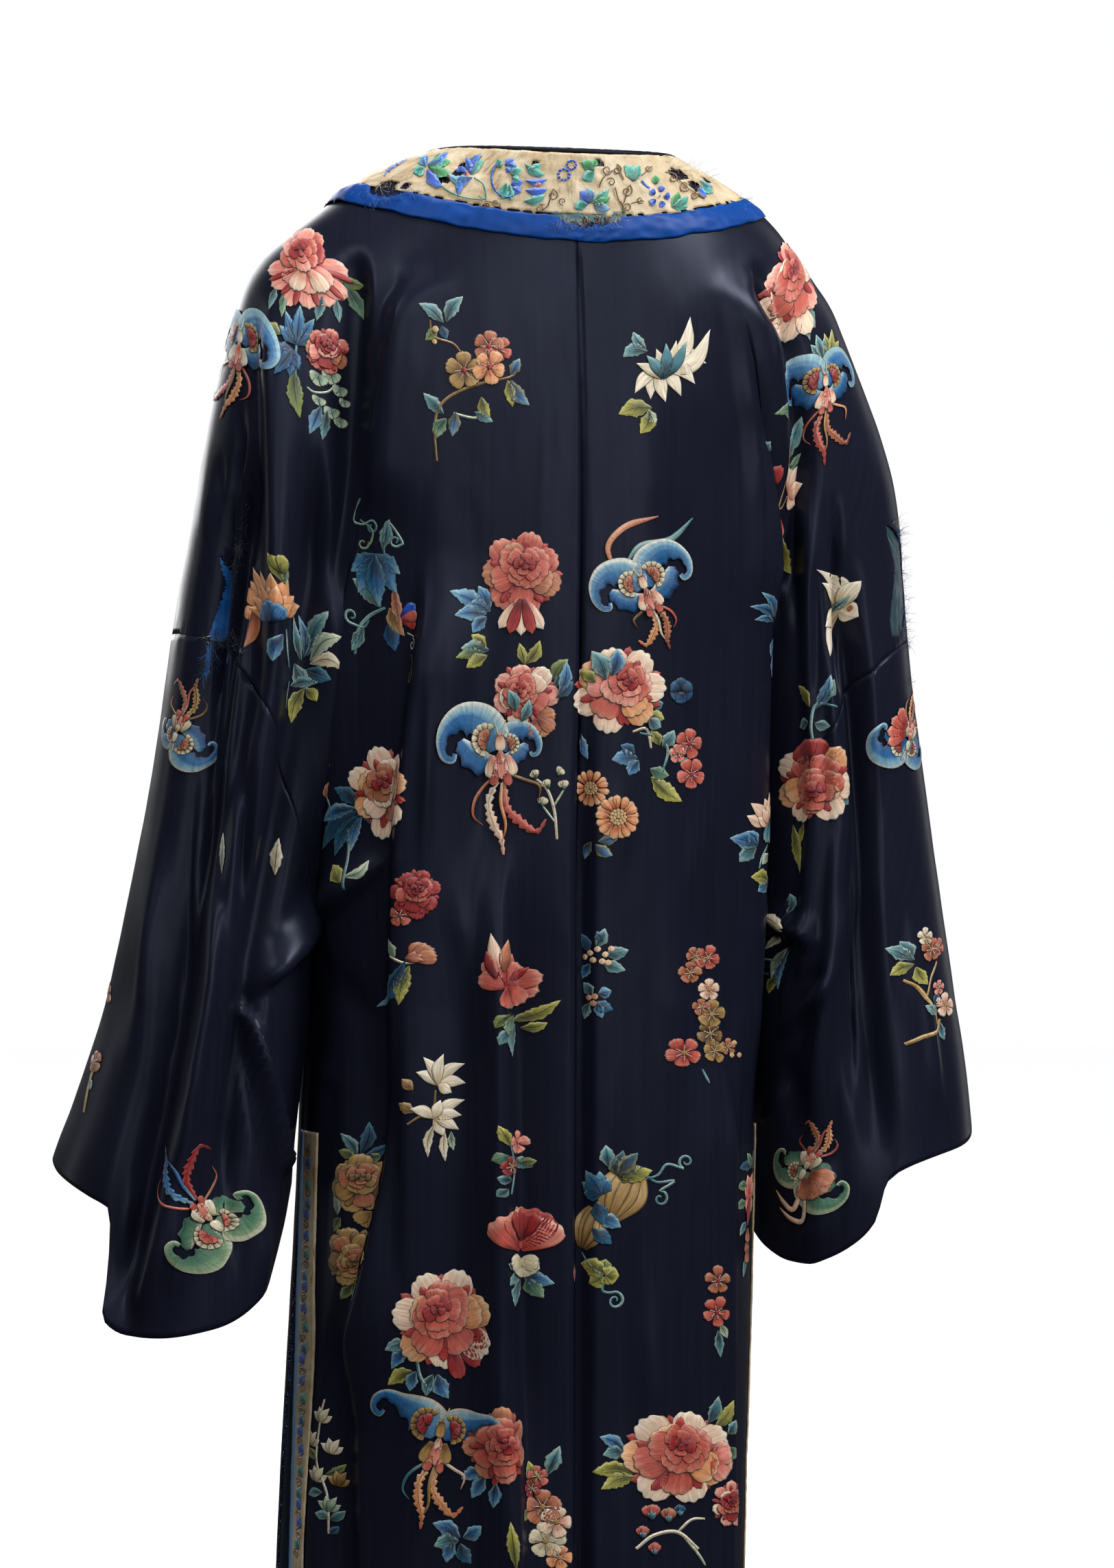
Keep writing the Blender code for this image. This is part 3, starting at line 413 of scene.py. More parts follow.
def surface(side, turn, drop):
    """Points of the robe's outer face, in millimetres, as an array with a last axis of 3."""
    turn, drop = np.broadcast_arrays(np.asarray(turn, float), np.asarray(drop, float))
    sign = SIGN[side]
    x, y = plain_ring(side, turn, drop)
    z = height(turn, drop)
    out_x, out_y = way_out(side, turn, drop)
    to_back = ease(out_y * FOLD_FACING) * (turn <= 0.5)
    to_front = ease(-out_y * FOLD_FACING) * (turn > 0.5)
    depth = to_back * fold_depth(BACK_FOLDS, sign * x, z)
    depth += to_front * fold_depth(FRONT_FOLDS, sign * x, z)
    return np.stack([sign * (x + depth * out_x), y + depth * out_y, z], axis=-1)


def column_turns(side, stations, cells):
    """The turns of the columns, a row for each of LEVELS: closer together where the cloth bends.

    Stations are the turns that bound each stretch, each a number or one value a level, and cells is how many
    columns lie in each stretch.
    """
    bounds = [np.broadcast_to(station, LEVELS.shape) for station in stations]
    columns = [bounds[0]]
    for low, high, count in zip(bounds, bounds[1:], cells):
        share = np.linspace(0, 1, RING_STEPS + 1)
        fine = low[:, None] + (high - low)[:, None] * share
        ring = surface(side, fine, LEVELS[:, None])
        step = np.diff(ring, axis=1)
        heading = np.unwrap(np.arctan2(step[..., 1], step[..., 0]), axis=1)
        bend = np.minimum(np.abs(np.gradient(heading, axis=1)), STEEPEST_BEND)
        weight = np.linalg.norm(step, axis=2) + BEND_WEIGHT * bend
        for _ in range(3):
            above = np.vstack([weight[:1], weight[:-1]])
            below = np.vstack([weight[1:], weight[-1:]])
            weight = (above + weight + below) / 3
        sums = np.cumsum(np.hstack([np.zeros((len(LEVELS), 1)), weight]), axis=1)
        for wanted in np.linspace(0, 1, count + 1)[1:]:
            rows = [np.interp(wanted * total[-1], total, turns) for total, turns in zip(sums, fine)]
            columns.append(np.array(rows))
    return np.array(columns).T


def turns_at(columns, drop):
    """The columns' turns at these drops: one drop for each column, or one for all."""
    drop = np.broadcast_to(drop, (columns.shape[1],))
    return np.array([np.interp(d, LEVELS, columns[:, j]) for j, d in enumerate(drop)])


def sleeve_seam_drop(turn):
    """The seam of the lower sleeve runs level round the arm, then falls to the underarm in the valley."""
    part = np.clip((0.5 - np.abs(turn - 0.5) - VALLEY_TURN) / (0.5 - VALLEY_TURN), 0, 1)
    return SLEEVE_SEAM_DROP + (UNDERARM_DROP - SLEEVE_SEAM_DROP) * (1 - part) ** SEAM_STEEPNESS


def cuff_drop(side, turn):
    rows = CUFF_LEFT if side == "left" else CUFF_RIGHT
    return between((turn - VALLEY_TURN) / (1 - 2 * VALLEY_TURN), rows["round"], rows["drop"])


def smooth_path(points, steps=4):
    """More points on a smooth curve through these."""
    points = np.asarray(points, float)
    ends = np.vstack([2 * points[0] - points[1], points, 2 * points[-1] - points[-2]])
    out = []
    for i in range(len(points) - 1):
        a, b, c, d = ends[i : i + 4]
        for t in np.arange(steps) / steps:
            squared, cubed = 2 * a - 5 * b + 4 * c - d, 3 * b - a - 3 * c + d
            out.append(0.5 * (2 * b + (c - a) * t + squared * t**2 + cubed * t**3))
    out.append(points[-1])
    return np.array(out)


def crease_depth(turn, x, z):
    """How far the creases move the back's cloth out."""
    x, z = np.broadcast_arrays(x, z)
    total = np.zeros(x.shape)
    in_arm = np.abs(turn - 0.5) < 0.5 - VALLEY_TURN
    low = z < -UNDERARM_DROP
    for where, path, depth, to_left, to_right, fade in CREASES:
        line = smooth_path(path)
        reach = max(to_left, to_right)
        near = (x > line[:, 0].min() - reach) & (x < line[:, 0].max() + reach)
        near &= (z > line[:, 1].min() - reach) & (z < line[:, 1].max() + reach)
        if where != "all":
            near &= ~low | (in_arm == (where == "arm"))
        if where == "body":
            near &= ~in_arm
        px, pz = x[near], z[near]
        best = np.full(px.shape, 1e9)
        along = np.zeros(px.shape)
        sign = np.ones(px.shape)
        lengths = np.concatenate([[0], np.cumsum(np.linalg.norm(np.diff(line, axis=0), axis=1))])
        for (ax, az), (bx, bz), start in zip(line, line[1:], lengths):
            dx, dz = bx - ax, bz - az
            size = math.hypot(dx, dz)
            t = np.clip(((px - ax) * dx + (pz - az) * dz) / size**2, 0, 1)
            away = np.hypot(px - ax - t * dx, pz - az - t * dz)
            closer = away < best
            best = np.where(closer, away, best)
            along = np.where(closer, start + t * size, along)
            side = np.sign((px - ax) * -dz + (pz - az) * dx)
            sign = np.where(closer, side, sign)
        share = np.clip(best / np.where(sign > 0, to_left, to_right), 0, 1)
        fading = np.minimum(ease(along / fade), ease((lengths[-1] - along) / fade))
        total[near] += CREASE_SHARE * depth * fading * (1 - share) ** 2 * (1 + 2 * share)
    return total


def waves(x, y, seed):
    """A smooth uneven field about 1 high, with bumps about one unit across."""
    made = np.zeros(np.broadcast(x, y).shape)
    picks = np.random.default_rng(seed)
    for _ in range(9):
        angle, phase = picks.uniform(0, math.tau, 2)
        size = picks.uniform(2.0, 7.0)
        made = made + np.sin(size * (x * math.cos(angle) + y * math.sin(angle)) + phase)
    return made / 4


def cloth(side, turn, drop):
    """Points of the silk's outer face with all of its folds and creases."""
    turn, drop = np.broadcast_arrays(np.asarray(turn, float), np.asarray(drop, float))
    sign = SIGN[side]
    points = surface(side, turn, drop)
    x, y, z = (points[..., i] for i in range(3))
    out_x, out_y = way_out(side, turn, drop)
    calm = ease((drop - 50) / 60)
    long_ripples = 0.5 * waves(x / 34 + 3 * turn, z / 150, 3) + 0.1 * waves(x / 9, z / 30, 5)
    puckers = 0.25 * waves(x / 3.5, z / 9, 8) * ease(1 - np.abs(x) / 14)
    seam_drop = sleeve_seam_drop(turn)
    seam_near = np.exp(-(((drop - seam_drop) / 1.6) ** 2)) * (np.abs(turn - 0.5) < 0.5 - VALLEY_TURN)
    seam_near = seam_near * (drop < UNDERARM_DROP - 30)
    seam_puckers = 0.5 * waves(turn * 130, drop / 30, 9) * np.exp(-(((drop - seam_drop) / 9) ** 2))
    seam_depth = 0.4 * seam_puckers * (seam_drop < UNDERARM_DROP - 60)
    depth = calm * (long_ripples + puckers) - 0.05 * seam_near + seam_depth
    depth = depth + ease(out_y * FOLD_FACING) * (turn <= 0.5) * crease_depth(turn, x, z)
    return np.stack([x + sign * depth * out_x, y + depth * out_y, z], axis=-1)


def srgb(code):
    """A colour given as it looks, such as c8b48c, as linear numbers."""
    values = np.array([int(code[i : i + 2], 16) for i in (0, 2, 4)]) / 255
    return tuple(np.where(values <= 0.04045, values / 12.92, ((values + 0.055) / 1.055) ** 2.4))


class Nodes:
    """A material's nodes, made with few words."""

    def __init__(self, name):
        self.material = bpy.data.materials.new(name)
        self.material.use_nodes = True
        self.tree = self.material.node_tree
        self.shader = self.tree.nodes["Principled BSDF"]

    def add(self, kind, inputs=None, **settings):
        node = self.tree.nodes.new("ShaderNode" + kind)
        for key, value in settings.items():
            setattr(node, key, value)
        for key, value in (inputs or {}).items():
            self.put(node.inputs[key], value)
        return node

    def put(self, socket, value):
        if isinstance(value, bpy.types.NodeSocket):
            self.tree.links.new(value, socket)
        else:
            socket.default_value = value

    def set(self, **inputs):
        for key, value in inputs.items():
            self.put(self.shader.inputs[key.replace("_", " ")], value)

    def math(self, operation, *values):
        node = self.add("Math", operation=operation)
        for socket, value in zip(node.inputs, values):
            self.put(socket, value)
        return node.outputs[0]

    def noise(self, place, scale, detail=2.0, stretch=(1, 1, 1)):
        spot = self.add("Mapping", {"Vector": place, "Scale": stretch})
        node = self.add("TexNoise", {"Vector": spot.outputs[0], "Scale": scale, "Detail": detail})
        return node.outputs["Fac"]

    def ramp(self, value, *stops):
        node = self.add("ValToRGB", {"Fac": value})
        elements = node.color_ramp.elements
        while len(elements) < len(stops):
            elements.new(0.5)
        for element, (place, colour) in zip(elements, stops):
            element.position = place
            element.color = (*colour, 1.0)
        return node.outputs["Color"]

    def mix(self, share, a, b, blend="MIX"):
        node = self.add("Mix", data_type="RGBA", blend_type=blend)
        for key, value in ((0, share), (6, a), (7, b)):
            is_colour = isinstance(value, tuple) and len(value) == 3
            self.put(node.inputs[key], (*value, 1.0) if is_colour else value)
        return node.outputs[2]

    def bump(self, height, distance, strength=1.0, normal=None):
        node = self.add("Bump", {"Height": height, "Distance": distance, "Strength": strength})
        if normal is not None:
            self.put(node.inputs["Normal"], normal)
        return node.outputs[0]


def satin(name, colour, worn, roughness=0.33, gloss=0.14):
    """Silk satin: fine floating threads down the cloth, faint bars across it, and a little wear."""
    made = Nodes(name)
    flat = made.add("UVMap", uv_map="flat").outputs[0]
    threads = made.noise(flat, 1.0, 3.0, (1400, 60, 1))
    bars = made.noise(flat, 1.0, 2.0, (12, 700, 1))
    blotch = made.noise(flat, 9.0, 4.0)
    shade = made.mix(made.math("MULTIPLY", blotch, 0.55), colour, worn)
    streak = made.ramp(made.noise(flat, 1.0, 2.0, (300, 9, 1)), (0.3, (0.88, 0.88, 0.88)),
                       (0.7, (1.1, 1.1, 1.1)))
    made.set(Base_Color=made.mix(1.0, shade, streak, "MULTIPLY"))
    rough = made.math("ADD", roughness - 0.06, made.math("MULTIPLY", made.noise(flat, 30.0, 3.0), 0.12))
    made.set(Roughness=rough, Sheen_Weight=0.0, Sheen_Roughness=0.4, Anisotropic=0.3)
    made.shader.inputs["Sheen Tint"].default_value = (0.55, 0.65, 1.0, 1.0)
    tangent = made.add("Tangent", direction_type="UV_MAP", uv_map="flat").outputs[0]
    made.put(made.shader.inputs["Tangent"], tangent)
    rumple = made.bump(made.noise(flat, 1.0, 3.0, (26, 18, 1)), 0.0004, 0.5)
    weave = made.bump(made.math("ADD", threads, made.math("MULTIPLY", bars, 0.6)), 0.00006, 0.4, rumple)
    made.set(Normal=weave, Specular_IOR_Level=gloss)
    made.shader.inputs["Specular Tint"].default_value = (0.68, 0.75, 1.0, 1.0)
    return made.material


def plain_silk(name, colour, other, roughness=0.55):
    """Thin plain-woven lining silk."""
    made = Nodes(name)
    flat = made.add("UVMap", uv_map="flat").outputs[0]
    weft = made.noise(flat, 1.0, 2.0, (900, 90, 1))
    warp = made.noise(flat, 1.0, 2.0, (90, 900, 1))
    blotch = made.ramp(made.noise(flat, 14.0, 4.0), (0.35, colour), (0.7, other))
    made.set(Base_Color=blotch, Roughness=roughness, Sheen_Weight=0.15, Sheen_Roughness=0.4)
    rumple = made.bump(made.noise(flat, 1.0, 4.0, (70, 45, 1)), 0.0008, 0.7)
    made.set(Normal=made.bump(made.math("ADD", weft, warp), 0.00008, 0.5, rumple))
    return made.material


def unit(vectors):
    """These vectors, each with a length of 1."""
    return vectors / np.maximum(np.linalg.norm(vectors, axis=-1, keepdims=True), 1e-9)


def numbered(there):
    """The grid's points numbered in order where they are there, and -1 elsewhere."""
    number = -np.ones(there.shape, int)
    number[there] = np.arange(there.sum())
    return number


def whole_cells(number, use=True):
    """Quads of a grid of point numbers, where all four corners are there and use says so."""
    a, b, c, d = number[:-1, :-1], number[:-1, 1:], number[1:, 1:], number[1:, :-1]
    whole = (a >= 0) & (b >= 0) & (c >= 0) & (d >= 0) & use
    return np.stack([part[whole] for part in (a, b, c, d)], axis=1)


def grid_faces(there):
    """Quads of a grid whose corners are all there."""
    return whole_cells(numbered(there))


def mesh_object(name, points, faces, materials, uv=None, colours=None, uv_name="flat"):
    """An object from points in millimetres, faces of corners, and values a point for UVs and colours."""
    mesh = bpy.data.meshes.new(name)
    points = np.asarray(points, float)
    is_groups = isinstance(faces, list) and isinstance(faces[0], np.ndarray)
    groups = faces if is_groups else [np.asarray(faces, int)]
    sizes = np.concatenate([np.full(len(group), group.shape[1]) for group in groups])
    corners = np.concatenate([group.ravel() for group in groups])
    mesh.vertices.add(len(points))
    mesh.vertices.foreach_set("co", (points * MM).ravel())
    mesh.loops.add(len(corners))
    mesh.loops.foreach_set("vertex_index", corners)
    mesh.polygons.add(len(sizes))
    mesh.polygons.foreach_set("loop_start", np.concatenate([[0], np.cumsum(sizes)[:-1]]))
    mesh.update(calc_edges=True)
    mesh.validate()
    if uv is not None:
        layer = mesh.uv_layers.new(name=uv_name)
        index = np.empty(len(mesh.loops), int)
        mesh.loops.foreach_get("vertex_index", index)
        layer.data.foreach_set("uv", (np.asarray(uv)[index] * MM).ravel())
    if colours is not None:
        layer = mesh.color_attributes.new("thread", "FLOAT_COLOR", "POINT")
        layer.data.foreach_set("color", np.asarray(colours, float).ravel())
    mesh.shade_smooth()
    for material in materials:
        mesh.materials.append(material)
    made = bpy.data.objects.new(name, mesh)
    bpy.context.scene.collection.objects.link(made)
    return made


def thicken(piece, thick, inside=None):
    """A shell of this thickness inwards, with its inner face in the second material."""
    shell = piece.modifiers.new("shell", "SOLIDIFY")
    shell.thickness = thick * MM
    shell.offset = -1.0
    shell.use_even_offset = False
    if inside is not None:
        shell.material_offset = inside
    with bpy.context.temp_override(object=piece, active_object=piece, selected_objects=[piece]):
        bpy.ops.object.modifier_apply(modifier=shell.name)


def area_of(points, faces):
    a, b, c, d = (points[faces[:, i]] for i in range(4))
    halves = np.cross(b - a, c - a), np.cross(c - a, d - a)
    return sum(np.linalg.norm(half, axis=1).sum() for half in halves) / 2 * MM**2


ARC_STEP, ARC_CELLS = 5.0, 400
TURNS = np.linspace(0, 1, ARC_CELLS + 1)


def arc_lengths(side):
    """Flat cloth coordinates: how far round from the centre back, for a drop every ARC_STEP and TURNS."""
    drops = np.arange(0, BACK_LENGTH + 1, ARC_STEP)
    ring = surface(side, TURNS[None], drops[:, None])
    steps = np.linalg.norm(np.diff(ring, axis=1), axis=2)
    far = np.concatenate([np.zeros((len(drops), 1)), np.cumsum(steps, axis=1)], axis=1)
    valley = int(round(VALLEY_TURN * ARC_CELLS))
    held = int(UNDERARM_DROP / ARC_STEP)
    shift = far[held, valley] - far[held:, valley]
    far[held:, valley + 1 : ARC_CELLS + 1 - valley] += shift[:, None]
    return far


ARCS = {side: arc_lengths(side) for side in SIDES}


def look_up(values, row, column):
    """Values of a grid between its points."""
    row = np.clip(row, 0, values.shape[0] - 1.001)
    column = np.clip(column, 0, values.shape[1] - 1.001)
    i, j = row.astype(int), column.astype(int)
    s, t = row - i, column - j
    if values.ndim == 3:
        s, t = s[..., None], t[..., None]
    upper = values[i, j] * (1 - t) + values[i, j + 1] * t
    lower = values[i + 1, j] * (1 - t) + values[i + 1, j + 1] * t
    return upper * (1 - s) + lower * s


def flat_place(side, turn, drop):
    """(across, down) in the cloth, for UVs."""
    across = look_up(ARCS[side], drop / ARC_STEP, turn * ARC_CELLS)
    return np.stack([across * SIGN[side], -drop], axis=-1)


BACK_COLUMNS, ARM_COLUMNS, ARM_FRONT_COLUMNS, FRONT_COLUMNS = 76, 70, 30, 30
ROW_STEP = 5.0


def upper_columns(side):
    stations = (0.0, VALLEY_TURN, 0.5, 1 - VALLEY_TURN, 1.0)
    return column_turns(side, stations, (BACK_COLUMNS, ARM_COLUMNS, ARM_FRONT_COLUMNS, FRONT_COLUMNS))


def silk_grid(side):
    """(turn, drop) of body and upper arm: arm columns end at the sleeve seam and body columns at the hem."""
    columns = upper_columns(side)
    count = columns.shape[1]
    is_arm = np.zeros(count, bool)
    is_arm[BACK_COLUMNS + 1 : BACK_COLUMNS + ARM_COLUMNS + ARM_FRONT_COLUMNS] = True
    low = np.full(count, UNDERARM_DROP)
    for _ in range(6):
        turn = turns_at(columns, low)
        low = np.where(is_arm, sleeve_seam_drop(turn), UNDERARM_DROP)
    upper = int(round(UNDERARM_DROP / ROW_STEP))
    rows = []
    for i in range(upper + 1):
        drop = low * i / upper
        rows.append(np.stack([turns_at(columns, drop), drop], axis=-1))
    below = np.linspace(UNDERARM_DROP, BACK_LENGTH,
                        int(round((BACK_LENGTH - UNDERARM_DROP) / ROW_STEP)) + 1)
    for drop in below[1:]:
        row = np.stack([turns_at(columns, drop), np.full(count, drop)], axis=-1)
        row[is_arm] = np.nan
        rows.append(row)
    return np.array(rows)


def sleeve_silk_grid(side):
    """(turn, drop) of the lower sleeve, from its seam to the cuff, closed at the inner seam."""
    stations = (VALLEY_TURN + 1e-4, 0.5, 1 - VALLEY_TURN - 1e-4)
    columns = column_turns(side, stations, (ARM_COLUMNS, ARM_FRONT_COLUMNS))
    drop = np.full(columns.shape[1], UNDERARM_DROP)
    for _ in range(8):
        turn = turns_at(columns, drop)
        drop = sleeve_seam_drop(turn)
    top = drop
    rows = []
    for i in range(SLEEVE_ROWS + 1):
        for _ in range(4):
            drop = top + (cuff_drop(side, turn) - top) * i / SLEEVE_ROWS
            turn = turns_at(columns, drop)
        rows.append(np.stack([turn, drop], axis=-1))
    return np.array(rows)


MIDNIGHT = srgb("141623")
silk = satin("midnight_satin", MIDNIGHT, srgb("1c1e2e"))
inner = plain_silk("lining_silk", srgb("15414f"), srgb("0d3a5c"))

# Threads: dark, middle and light of each colour of silk floss.
FLOSS = {
    "red": ("6a1719", "9b282a", "c0544a"),
    "coral": ("8e2d2a", "c25a4b", "e09a84"),
    "pink": ("c24f45", "e38c7c", "f3c6b0"),
    "cream": ("d08a74", "ecc9ae", "f3e4cd"),
    "white": ("c9b795", "e6d9c0", "f4ecdb"),
    "rust": ("7c3a28", "b06a4a", "d69a78"),
    "gold": ("6d4d24", "a58148", "cfae78"),
    "peach": ("b8643a", "df9a68", "efc9a0"),
    "blue": ("0b2b50", "216399", "8ab6c2"),
    "cobalt": ("0c2a8a", "1c4fc0", "5f8fdc"),
    "teal": ("12363f", "3b7581", "9cbbb2"),
    "deep": ("0b1d33", "1a4264", "3b7690"),
    "green": ("4b4c1b", "8e8c35", "c6c06a"),
    "moss": ("2c3a20", "5d6e38", "98a35e"),
    "sage": ("5c7364", "9fb296", "d7dcc2"),
    "brown": ("4a2f1a", "80603a", "ad8c5c"),
    "ivory": ("a89a7c", "d4c8a8", "ece3cb"),
    "fern": ("234a3c", "4f7d62", "93ab85"),
    "jade": ("0f5248", "268a7a", "6fbfae"),
    "emerald": ("0b4a26", "1c7c40", "57ab70"),
    "scroll": ("4a3420", "6f5232", "9c7c54"),
    "grey": ("1c222b", "3c4650", "76828a"),
    "dark_blue": ("0a1b4a", "123a9a", "2f66c4"),
    "bright_blue": ("0d57a8", "1878c8", "56a6dc"),
    "black": ("07080d", "10121c", "1b2030"),
}
FLOSS = {name: tuple(np.array(srgb(code)) for code in codes) for name, codes in FLOSS.items()}
NIGHT = np.array(srgb("0d0f1b"))
PIXELS_PER_MM = 2.15
THREAD_LIFT, LAYER = 0.45, 0.14


def projected(points):
    """Where points of the robe, in millimetres, lie in the photo."""
    place = points * MM - np.array(CAMERA_PLACE)
    view = np.array((-math.sin(CAMERA_TURN), math.cos(CAMERA_TURN), 0))
    right = np.array((math.cos(CAMERA_TURN), math.sin(CAMERA_TURN), 0))
    depth = place @ view
    scale = FOCAL_SHARE * PHOTO[1] / depth
    return PHOTO[0] / 2 + scale * (place @ right), PHOTO[1] / 2 - scale * place[..., 2]


BODY_CELLS, ARM_CELLS = (0, 251), (81, 321)  # the first and last of TURNS that can carry stitches
SLEEVE_END_DROP = 810


class Ground:
    """The silk in flat cloth coordinates: rows down, columns round from the wearer's right to left."""

    across_step, down_step = 2.0, 2.5

    def __init__(self, limb):
        if limb == "body":
            _, left, left_good = self.half("left", True)
            right_across, right, right_good = self.half("right", True)
            self.start = -right_across[-1]
            self.points = np.concatenate([right[:, :0:-1], left], axis=1)
            self.good = np.concatenate([right_good[:, :0:-1], left_good], axis=1)
        else:
            across, points, good = self.half(limb.split("_")[1], False)
            flip = limb == "arm_right"
            self.start = -across[-1] if flip else across[0]
            self.points = points[:, ::-1] if flip else points
            self.good = good[:, ::-1] if flip else good
        self.normal = unit(np.cross(np.gradient(self.points, axis=1), np.gradient(self.points, axis=0)))
        self.seen = projected(self.points)
        towards = np.array(CAMERA_PLACE) - self.points * MM
        self.facing = (self.normal * towards).sum(axis=-1) > 0.05

    def half(self, side, is_body):
        """(distances round, points, which of them are cloth) of one side's body and upper arm, or sleeve."""
        drops = np.arange(0, BACK_LENGTH if is_body else SLEEVE_END_DROP, self.down_step)
        places = np.broadcast_arrays(drops[:, None] / ARC_STEP, np.arange(ARC_CELLS + 1.0)[None])
        rows = look_up(ARCS[side], *places)
        first, last = BODY_CELLS if is_body else ARM_CELLS
        across = np.arange(0.0 if is_body else rows[:, first].min(), rows[:, last].max(), self.across_step)
        turn = np.array([np.interp(across, row[first : last + 1], TURNS[first : last + 1]) for row in rows])
        good = (across[None] >= rows[:, first, None] - 1) & (across[None] <= rows[:, last, None])
        if is_body:
            good &= (turn <= VALLEY_TURN) | (drops[:, None] < UNDERARM_DROP - 2)
        return across, cloth(side, turn, np.broadcast_to(drops[:, None], turn.shape)), good

    def find(self, x, y):
        """Row and column of the cloth that shows at this place of the photo."""
        away = np.hypot(self.seen[0] - x, self.seen[1] - y)
        away = np.where(self.good & self.facing, away, 1e9)
        nearest = away.min()
        close = np.where(away < nearest + 2.5, self.points @ -np.array((-0.26, -0.97, 0)), -1e9)
        return np.unravel_index(np.argmax(close), close.shape)

    def steps(self, row, column):
        """How the photo's place changes for a millimetre across and down the cloth, within reason."""
        reach = 8
        rows = np.clip([row - reach, row + reach], 0, self.points.shape[0] - 1)
        columns = np.clip([column - reach, column + reach], 0, self.points.shape[1] - 1)
        wide = (columns[1] - columns[0]) * self.across_step
        tall = (rows[1] - rows[0]) * self.down_step
        across = [(seen[row, columns[1]] - seen[row, columns[0]]) / wide for seen in self.seen]
        down = [(seen[rows[1], column] - seen[rows[0], column]) / tall for seen in self.seen]
        u, sizes, v = np.linalg.svd(np.array([across, down]).T)
        return u @ np.diag(np.clip(sizes, 1.4, 2.3)) @ v

    def place(self, across, drop):
        row, column = drop / self.down_step, (across - self.start) / self.across_step
        return look_up(self.points, row, column), look_up(self.normal, row, column)


UPPER_STITCHES = 1130
GROUNDS = {limb: Ground(limb) for limb in ("body", "arm_left", "arm_right")}
THREADS = {}


class Motif:
    """Stitches sewn round one place. Elements are given as they lie in the photo's frame, in its pixels."""

    def __init__(self, x, y, limb="body", layer=0.0, group=None):
        self.ground = GROUNDS[limb]
        self.centre = np.array((x, y), float)
        row, column = self.ground.find(x, y)
        self.home = np.array(
            (self.ground.start + column * self.ground.across_step, row * self.ground.down_step)
        )
        self.back = np.linalg.inv(self.ground.steps(row, column))
        if group is None and limb == "body":
            group = "upper_back" if y < UPPER_STITCHES else "lower_back"
        self.group = THREADS.setdefault(group or limb, [])
        self.layer = layer
        self.outlined = True

    def flat(self, x, y):
        """(across, drop) of places of the photo near this one."""
        offset = np.stack([np.asarray(x, float), np.asarray(y, float)], axis=-1) - self.centre
        return self.home + offset @ self.back.T

    def add(self, u, v, colours, rise, level, uv):
        place = self.flat(u, v)
        points, normal = self.ground.place(place[..., 0], place[..., 1])
        normal = unit(normal)
        points = points + normal * (THREAD_LIFT + LAYER * (self.layer + level))
        self.group.append((points, normal, np.concatenate([colours, rise[..., None]], axis=-1), uv))


def blend_stops(stops, share):
    """A colour for each share from 0 to 1 through evenly spaced stops."""
    stops = np.array(stops)
    place = np.clip(share, 0, 1) * (len(stops) - 1)
    i = np.minimum(place.astype(int), len(stops) - 2)
    t = (place - i)[..., None]
    return stops[i] * (1 - t) + stops[i + 1] * t


